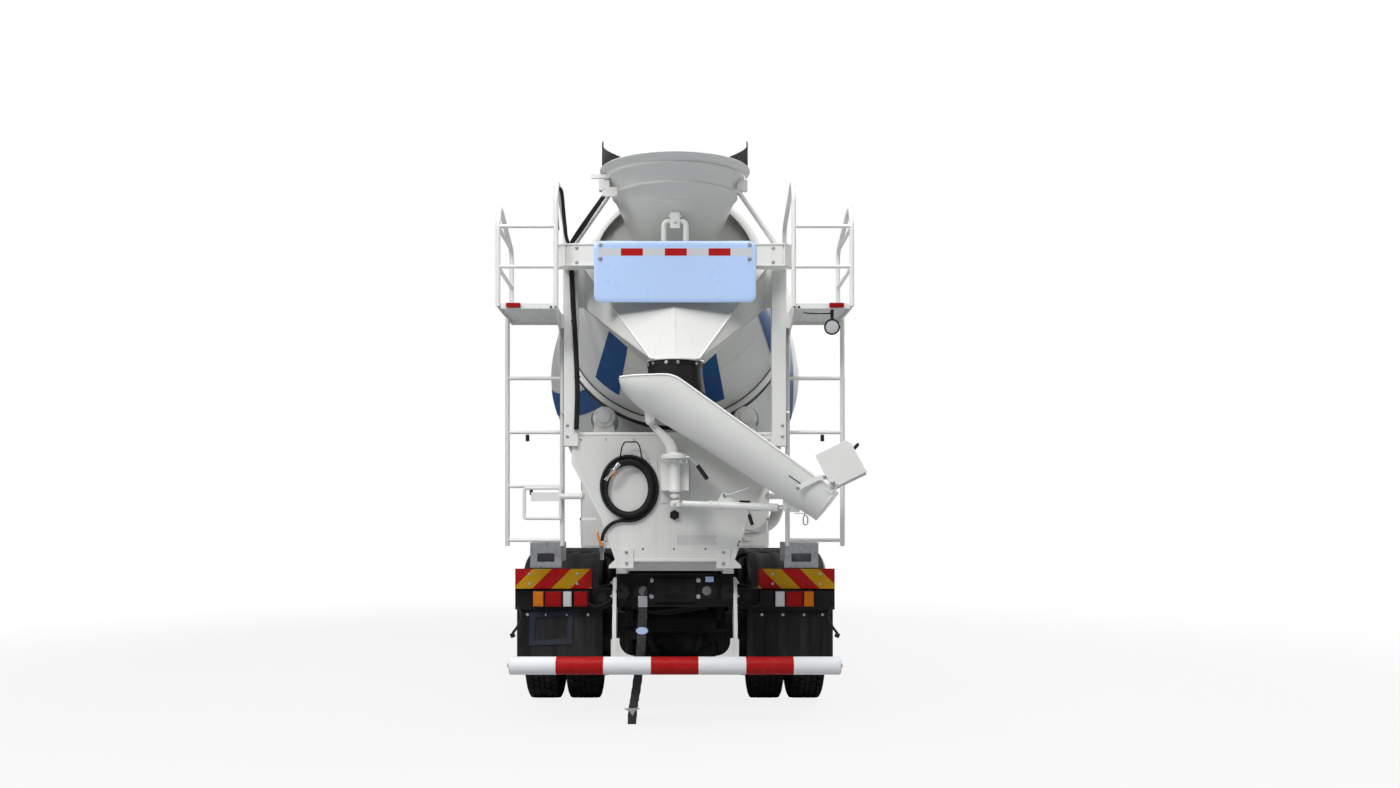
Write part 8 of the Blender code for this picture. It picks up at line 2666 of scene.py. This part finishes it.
def build_tanks():
    """Fuel tank, battery box and silencer with straps, caps and covers, then the water tank."""
    fuel = Form()
    profile = rounded_box((-1.10, 0.58), (-0.64, 0.98), 0.078, 6)
    fuel.prism(profile, "Y", 0.302, 1.498)
    fuel.made("fuel_tank_smooth", "step_plain", "chassis", ("fuel_tank",), edge=0.006)
    straps = Form()
    for y in (0.55, 1.25):
        grown = [(-0.87 + (x + 0.87) * 1.018, 0.78 + (z - 0.78) * 1.02) for x, z in profile]
        straps.rings(
            [
                [Vector((x, y + dy, z)) for x, z in outline]
                for outline, dy in (
                    (profile, -0.025), (grown, -0.025), (grown, 0.025), (profile, 0.025)
                )
            ], wrap=True
        )
        straps.block((-0.60, y - 0.03, 0.62), (-0.4305, y + 0.03, 1.00))
        straps.bolt((-1.186, y, 0.90), (-1, 0, 0), 0.02)
    straps.turned(
        [(0, 0), (0.055, 0), (0.055, 0.025), (0.045, 0.032), (0, 0.032)],
        Matrix.Translation((-0.86, 1.02, 1.056)), 28
    )
    straps.made("fuel_straps", "black", "chassis", edge=0.002)
    box = Form()
    for row in range(5):
        box.block((1.1195, 0.74 + row * 0.15, 0.65), (1.128, 0.80 + row * 0.15, 1.03))
    box.block((0.58, 0.72, 1.0603), (1.10, 0.86, 1.066))
    box.block((1.119, 0.715, 0.955), (1.130, 1.435, 0.975))
    for y in (0.80, 1.35):
        box.block((1.120, y - 0.02, 0.90), (1.136, y + 0.02, 0.97))
    box.made("battery_cover", "plastic", "chassis", edge=0.003)
    shield = Form()
    for step in range(9):
        angle = math.radians(-50 + step * 14)
        spot = Vector((0.86 + 0.2445 * math.cos(angle), 1.66, 0.78 + 0.2445 * math.sin(angle)))
        shield.tube([spot, spot + Vector((0, 0.42, 0))], 0.010, 10)
    for y in (1.69, 2.05):
        shield.collar(
            0.2403, 0.247, y - 1.87 - 0.015, y - 1.87 + 0.015,
            turned_to((0.86, 1.87, 0.78), (0, 1, 0)), 40
        )
    shield.tube(
        [(0.86, 1.63, 0.70), (0.86, 1.56, 0.66), (0.98, 1.53, 0.60), (1.12, 1.53, 0.55)], 0.045, 20,
        0.05
    )
    shield.tube([(0.70, 2.12, 0.85), (0.60, 2.20, 0.92), (0.42, 2.60, 0.96)], 0.045, 20, 0.06)
    shield.made("silencer_shield", "steel", "chassis", edge=0.001)
    build_water_tank()


WATER_TANK_Y = 1.92


def build_water_tank():
    """The water tank with its bands, cap, cradles and pipes."""
    water = Form()
    place = Matrix.Translation((0, WATER_TANK_Y, 2.8203)) @ Matrix.Rotation(math.pi / 2, 4, "Y")
    half = [(0, -0.85), (0.10, -0.842), (0.16, -0.822), (0.198, -0.79), (0.2098, -0.76)]
    water.turned(both_ends(half), place, 56)
    for x in (-0.45, 0.45):
        water.collar(0.2105, 0.2160, x - 0.03, x + 0.03, place, 56)
    water.turned(
        [(0, 0), (0.075, 0), (0.075, 0.03), (0.06, 0.038), (0, 0.038)],
        Matrix.Translation((0.15, WATER_TANK_Y, 3.027)), 32
    )
    for x in (-0.45, 0.45):
        water.block((x - 0.04, 1.80, 2.601), (x + 0.04, 2.04, 2.625))
        water.prism(
            [
                (1.80, 2.62), (2.04, 2.62), (2.09, 2.72), (2.06, 2.73), (WATER_TANK_Y, 2.66),
                (1.78, 2.73), (1.75, 2.72)
            ], "X", x - 0.03, x + 0.03
        )
    water.made("water_tank_smooth", "white", "chassis", ("water_tank",), edge=0.001)
    gauge = Form()
    gauge.tube([(-0.60, 2.145, 2.70), (-0.60, 2.150, 2.94)], 0.009, 12)
    gauge.tube(
        [
            (0.30, WATER_TANK_Y, 2.605), (0.30, WATER_TANK_Y, 2.40), (0.47, 1.80, 2.20),
            (0.47, 1.80, 1.30)
        ], 0.018, 16, 0.06
    )
    gauge.made("water_pipes", "plastic", "chassis")


def build_gearbox():
    """Ribs, bolts and motor hoses of the drum's gearbox, and the front stand's braces."""
    place = DRUM_TURN @ Matrix.Translation((0, 0, 4.82))
    form = Form()
    form.turned(
        [
            (0, 0.0005), (0.235, 0.0005), (0.235, 0.03), (0.252, 0.035), (0.252, 0.075),
            (0.235, 0.08), (0.235, 0.17), (0.205, 0.20), (0.205, 0.42), (0.16, 0.46), (0, 0.46)
        ], place, 48
    )
    for step in range(16):
        angle = math.tau * step / 16
        spot = place @ Vector((0.243 * math.cos(angle), 0.243 * math.sin(angle), 0.075))
        form.bolt(spot, place.to_3x3() @ Vector((0, 0, 1)), 0.02)
        first = len(form.points)
        form.block((0.200, -0.006, 0.10), (0.238, 0.006, 0.40))
        form.placed(place @ Matrix.Rotation(angle + 0.1, 4, "Z"), first)
    form.made("gearbox_ribs", "grey", "chassis", edge=0.001)
    braces = Form()
    for side in SIDES.values():
        braces.tube([(side * 0.39, 1.80, 1.30), (side * 0.39, 0.85, 1.32)], 0.02, 12)
        braces.tube([(side * 0.39, 1.86, 2.50), (side * 0.39, 1.30, 1.29)], 0.030, 20)
        for y in (-2.9, -2.0, -1.0, 0.0, 1.0, 1.9):
            braces.sided(side, (RAIL_FACE, y - 0.06, 0.99), (0.442, y + 0.06, 1.26))
            for dy in (-0.035, 0.035):
                for z in (1.03, 1.09, 1.20):
                    braces.bolt((side * 0.442, y + dy, z), (side, 0, 0), 0.022)
    for side in SIDES.values():
        braces.tube([(side * 0.40, 1.955, 2.45), (side * -0.40, 1.955, 1.45)], 0.018, 14)
    braces.made("stand_braces", "white", "chassis", edge=0.002)
    hoses = Form()
    for side in (1, -1):
        start = place @ Vector((side * 0.10, 0, 0.46))
        line = [
            start, start + Vector((0, 0.10, -0.10)), (side * 0.20, 1.98, 1.9),
            (side * 0.22, 2.10, 1.35)
        ]
        hoses.tube([*line, (side * 0.25, 2.35, 1.12)], 0.020, 14, 0.10)
    hoses.made("drive_hoses", "hose", "chassis")


FUNNEL = {
    "fold": (0.66, -3.595, 3.365),
    "crease": (0, -3.78, 3.27),
    "middle": (0, -3.862, 3.04),
    "edge": (0.3125, -3.885, 2.849),
    "foot": (0, -4.065, 2.63),
    "corner": (0.165, -4.042, 2.63),
    "front_corner": (0.165, -3.735, 2.63),
    "lip": (0.215, -3.60, 2.665),
    "fold_foot": (0.66, -3.595, 3.065),
}


def build_funnel():
    """The discharge funnel's folded sheets, its side flanges and the collar under it."""
    form = Form()
    for side in SIDES.values():
        spots = {name: Vector((side * x, y, z)) for name, (x, y, z) in FUNNEL.items()}
        for names in (
            ("fold", "crease", "middle"), ("fold", "middle", "edge"), ("middle", "foot", "corner"),
            ("middle", "corner", "edge"), ("fold", "edge", "corner", "fold_foot"),
            ("fold_foot", "corner", "front_corner", "lip")
        ):
            first = len(form.points)
            form.points.extend(spots[name] for name in names)
            form.faces.append(tuple(range(first, first + len(names))))
    spots = [
        Vector((sign * FUNNEL[name][0], *FUNNEL[name][1:]))
        for sign, name in ((1, "lip"), (1, "front_corner"), (-1, "front_corner"), (-1, "lip"))
    ]
    first = len(form.points)
    form.points.extend(spots)
    form.faces.append(tuple(range(first, first + 4)))
    # The sheets take the darkened copy of the white enamel: painted shade.
    form.made("funnel_sheets", "sheet", "chassis", ("discharge_funnel",), wall=0.008, angle=1)
    rest = Form()
    for side in SIDES.values():
        rest.sided(side, (0.655, -3.5997, 3.065), (0.79, -3.5900, 3.355))
    rest.turned(
        [
            (0.174, 2.561), (0.184, 2.561), (0.184, 2.619), (0.205, 2.621), (0.205, 2.630),
            (0.174, 2.630)
        ], Matrix.Translation((0, CHUTE_Y, 0)), 48
    )
    rest.made("funnel_collar", "white", "chassis", edge=0.001)


class MIXERTRUCK_OT_camera(bpy.types.Operator):
    """Add the camera of the photograph's view"""

    bl_idname = "mixer_truck.camera"
    bl_label = "Camera"

    def execute(self, context):
        build_camera()
        return {"FINISHED"}


class MIXERTRUCK_OT_hose(bpy.types.Operator):
    """Coil the wash-down hose on the panel, with its nozzle"""

    bl_idname = "mixer_truck.hose"
    bl_label = "Wash-down hose"

    def execute(self, context):
        build_hose()
        return {"FINISHED"}


class MIXERTRUCK_OT_stage(bpy.types.Operator):
    """Add the floor, the white surround and the lamps"""

    bl_idname = "mixer_truck.stage"
    bl_label = "Stage"

    def execute(self, context):
        build_stage()
        return {"FINISHED"}


class MIXERTRUCK_OT_solids(bpy.types.Operator):
    """Give every solid of the frame its finish"""

    bl_idname = "mixer_truck.solids"
    bl_label = "Finishes of the solids"

    def execute(self, context):
        finish_solids()
        return {"FINISHED"}


class MIXERTRUCK_OT_wheels(bpy.types.Operator):
    """Build the treaded tyres on their dished rims"""

    bl_idname = "mixer_truck.wheels"
    bl_label = "Wheels"

    def execute(self, context):
        build_wheels()
        return {"FINISHED"}


class MIXERTRUCK_OT_drum(bpy.types.Operator):
    """Build the drum with its rings, blades, hatches and stripes"""

    bl_idname = "mixer_truck.drum"
    bl_label = "Mixing drum"

    def execute(self, context):
        build_drum()
        return {"FINISHED"}


class MIXERTRUCK_OT_hopper(bpy.types.Operator):
    """Build the charge hopper and its small fittings"""

    bl_idname = "mixer_truck.hopper"
    bl_label = "Charge hopper"

    def execute(self, context):
        build_hopper()
        return {"FINISHED"}


class MIXERTRUCK_OT_guard(bpy.types.Operator):
    """Build the rubber guard on the hopper's rim"""

    bl_idname = "mixer_truck.guard"
    bl_label = "Splash guard"

    def execute(self, context):
        build_guard()
        return {"FINISHED"}


class MIXERTRUCK_OT_sign(bpy.types.Operator):
    """Build the blank sign board with its band"""

    bl_idname = "mixer_truck.sign"
    bl_label = "Sign board"

    def execute(self, context):
        build_sign()
        return {"FINISHED"}


class MIXERTRUCK_OT_panel(bpy.types.Operator):
    """Add the folds, plates, hook, valve and cables of the rear stand"""

    bl_idname = "mixer_truck.panel"
    bl_label = "Rear panel"

    def execute(self, context):
        build_panel()
        return {"FINISHED"}


class MIXERTRUCK_OT_rollers(bpy.types.Operator):
    """Build the drum's rollers and the caps on their cheeks"""

    bl_idname = "mixer_truck.rollers"
    bl_label = "Drum rollers"

    def execute(self, context):
        build_rollers()
        return {"FINISHED"}


class MIXERTRUCK_OT_skirt(bpy.types.Operator):
    """Build the rubber skirt and the funnel's lips"""

    bl_idname = "mixer_truck.skirt"
    bl_label = "Outlet skirt"

    def execute(self, context):
        build_skirt()
        return {"FINISHED"}


class MIXERTRUCK_OT_column(bpy.types.Operator):
    """Build the column, its bushing and its lever"""

    bl_idname = "mixer_truck.column"
    bl_label = "Chute column"

    def execute(self, context):
        build_column()
        return {"FINISHED"}


class MIXERTRUCK_OT_trough(bpy.types.Operator):
    """Build the chute with rolled rims"""

    bl_idname = "mixer_truck.trough"
    bl_label = "Chute"

    def execute(self, context):
        build_trough()
        return {"FINISHED"}


class MIXERTRUCK_OT_hood(bpy.types.Operator):
    """Build the hood on the chute's end"""

    bl_idname = "mixer_truck.hood"
    bl_label = "Folding hood"

    def execute(self, context):
        build_folding_hood()
        return {"FINISHED"}


class MIXERTRUCK_OT_strut(bpy.types.Operator):
    """Build the strut under the chute"""

    bl_idname = "mixer_truck.strut"
    bl_label = "Chute strut"

    def execute(self, context):
        build_strut()
        return {"FINISHED"}


class MIXERTRUCK_OT_ladders(bpy.types.Operator):
    """Build the ladders and platforms"""

    bl_idname = "mixer_truck.ladders"
    bl_label = "Ladders"

    def execute(self, context):
        build_ladders()
        return {"FINISHED"}


class MIXERTRUCK_OT_bar(bpy.types.Operator):
    """Build the banded underrun bar and its plates"""

    bl_idname = "mixer_truck.bar"
    bl_label = "Underrun bar"

    def execute(self, context):
        build_bar()
        return {"FINISHED"}


class MIXERTRUCK_OT_tail(bpy.types.Operator):
    """Build the rear lamps, striped boards and mud flaps"""

    bl_idname = "mixer_truck.tail"
    bl_label = "Tail lamps and flaps"

    def execute(self, context):
        build_tail()
        return {"FINISHED"}


class MIXERTRUCK_OT_crossmember(bpy.types.Operator):
    """Dress the end crossmember"""

    bl_idname = "mixer_truck.crossmember"
    bl_label = "End crossmember"

    def execute(self, context):
        build_crossmember()
        return {"FINISHED"}


class MIXERTRUCK_OT_strap(bpy.types.Operator):
    """Build the earthing strap and its clip"""

    bl_idname = "mixer_truck.strap"
    bl_label = "Earthing strap"

    def execute(self, context):
        build_strap()
        return {"FINISHED"}


class MIXERTRUCK_OT_mudguards(bpy.types.Operator):
    """Build the ribbed mudguards and their steps"""

    bl_idname = "mixer_truck.mudguards"
    bl_label = "Mudguards"

    def execute(self, context):
        build_mudguards()
        return {"FINISHED"}


class MIXERTRUCK_OT_axles(bpy.types.Operator):
    """Dress the driven axles, springs and frame lines"""

    bl_idname = "mixer_truck.axles"
    bl_label = "Axles"

    def execute(self, context):
        build_axles()
        return {"FINISHED"}


class MIXERTRUCK_OT_funnel(bpy.types.Operator):
    """Build the discharge funnel and its collar"""

    bl_idname = "mixer_truck.funnel"
    bl_label = "Discharge funnel"

    def execute(self, context):
        build_funnel()
        return {"FINISHED"}


class MIXERTRUCK_OT_cab_outside(bpy.types.Operator):
    """Build the cab's grille, mirrors, lamps and seals"""

    bl_idname = "mixer_truck.cab_outside"
    bl_label = "Cab outside"

    def execute(self, context):
        build_cab_outside()
        return {"FINISHED"}


class MIXERTRUCK_OT_cab_inside(bpy.types.Operator):
    """Build the chairs' cushions and the steering wheel"""

    bl_idname = "mixer_truck.cab_inside"
    bl_label = "Cab inside"

    def execute(self, context):
        build_cab_inside()
        return {"FINISHED"}


class MIXERTRUCK_OT_front(bpy.types.Operator):
    """Build the bumper, lamps, radiator and engine details"""

    bl_idname = "mixer_truck.front"
    bl_label = "Front end"

    def execute(self, context):
        build_front()
        return {"FINISHED"}


class MIXERTRUCK_OT_front_axle(bpy.types.Operator):
    """Dress the front axle"""

    bl_idname = "mixer_truck.front_axle"
    bl_label = "Front axle"

    def execute(self, context):
        build_front_axle()
        return {"FINISHED"}


class MIXERTRUCK_OT_tanks(bpy.types.Operator):
    """Build the tanks, battery cover and silencer shield"""

    bl_idname = "mixer_truck.tanks"
    bl_label = "Tanks"

    def execute(self, context):
        build_tanks()
        return {"FINISHED"}


class MIXERTRUCK_OT_gearbox(bpy.types.Operator):
    """Dress the drum's gearbox and the front stand"""

    bl_idname = "mixer_truck.gearbox"
    bl_label = "Drum drive"

    def execute(self, context):
        build_gearbox()
        return {"FINISHED"}


STEPS = [
    MIXERTRUCK_OT_camera,
    MIXERTRUCK_OT_hose,
    MIXERTRUCK_OT_stage,
    MIXERTRUCK_OT_solids,
    MIXERTRUCK_OT_wheels,
    MIXERTRUCK_OT_drum,
    MIXERTRUCK_OT_hopper,
    MIXERTRUCK_OT_guard,
    MIXERTRUCK_OT_sign,
    MIXERTRUCK_OT_panel,
    MIXERTRUCK_OT_rollers,
    MIXERTRUCK_OT_skirt,
    MIXERTRUCK_OT_column,
    MIXERTRUCK_OT_trough,
    MIXERTRUCK_OT_hood,
    MIXERTRUCK_OT_strut,
    MIXERTRUCK_OT_ladders,
    MIXERTRUCK_OT_bar,
    MIXERTRUCK_OT_tail,
    MIXERTRUCK_OT_crossmember,
    MIXERTRUCK_OT_strap,
    MIXERTRUCK_OT_mudguards,
    MIXERTRUCK_OT_axles,
    MIXERTRUCK_OT_funnel,
    MIXERTRUCK_OT_cab_outside,
    MIXERTRUCK_OT_cab_inside,
    MIXERTRUCK_OT_front,
    MIXERTRUCK_OT_front_axle,
    MIXERTRUCK_OT_tanks,
    MIXERTRUCK_OT_gearbox,
]


class MIXERTRUCK_PT_panel(bpy.types.Panel):
    """Lists the steps that build the truck, with its sizes and colours."""

    bl_label = "Mixer truck"
    bl_space_type = "VIEW_3D"
    bl_region_type = "UI"
    bl_category = "Mixer truck"

    def draw(self, context):
        """Lists the sizes, the colours and a button for each step."""
        for group in (context.scene.mixer_truck_sizes, context.scene.mixer_truck_colours):
            for name in group.__annotations__:
                self.layout.prop(group, name)
        for step in STEPS:
            self.layout.operator(step.bl_idname)


CLASSES = [MixerTruckColours, MixerTruckSizes, *STEPS, MIXERTRUCK_PT_panel]


def register():
    """Adds the classes and the two property groups to Blender."""
    for item in CLASSES:
        bpy.utils.register_class(item)
    bpy.types.Scene.mixer_truck_colours = bpy.props.PointerProperty(type=MixerTruckColours)
    bpy.types.Scene.mixer_truck_sizes = bpy.props.PointerProperty(type=MixerTruckSizes)


def unregister():
    """Takes the property groups and the classes out again."""
    del bpy.types.Scene.mixer_truck_sizes
    del bpy.types.Scene.mixer_truck_colours
    for item in reversed(CLASSES):
        bpy.utils.unregister_class(item)


def main():
    """Runs every step in order."""
    global SIZES
    register()
    SIZES = bpy.context.scene.mixer_truck_sizes
    make_finishes(bpy.context.scene.mixer_truck_colours)
    for step in STEPS:
        group, name = step.bl_idname.split(".")
        getattr(getattr(bpy.ops, group), name)()


if __name__ == "__main__":
    main()
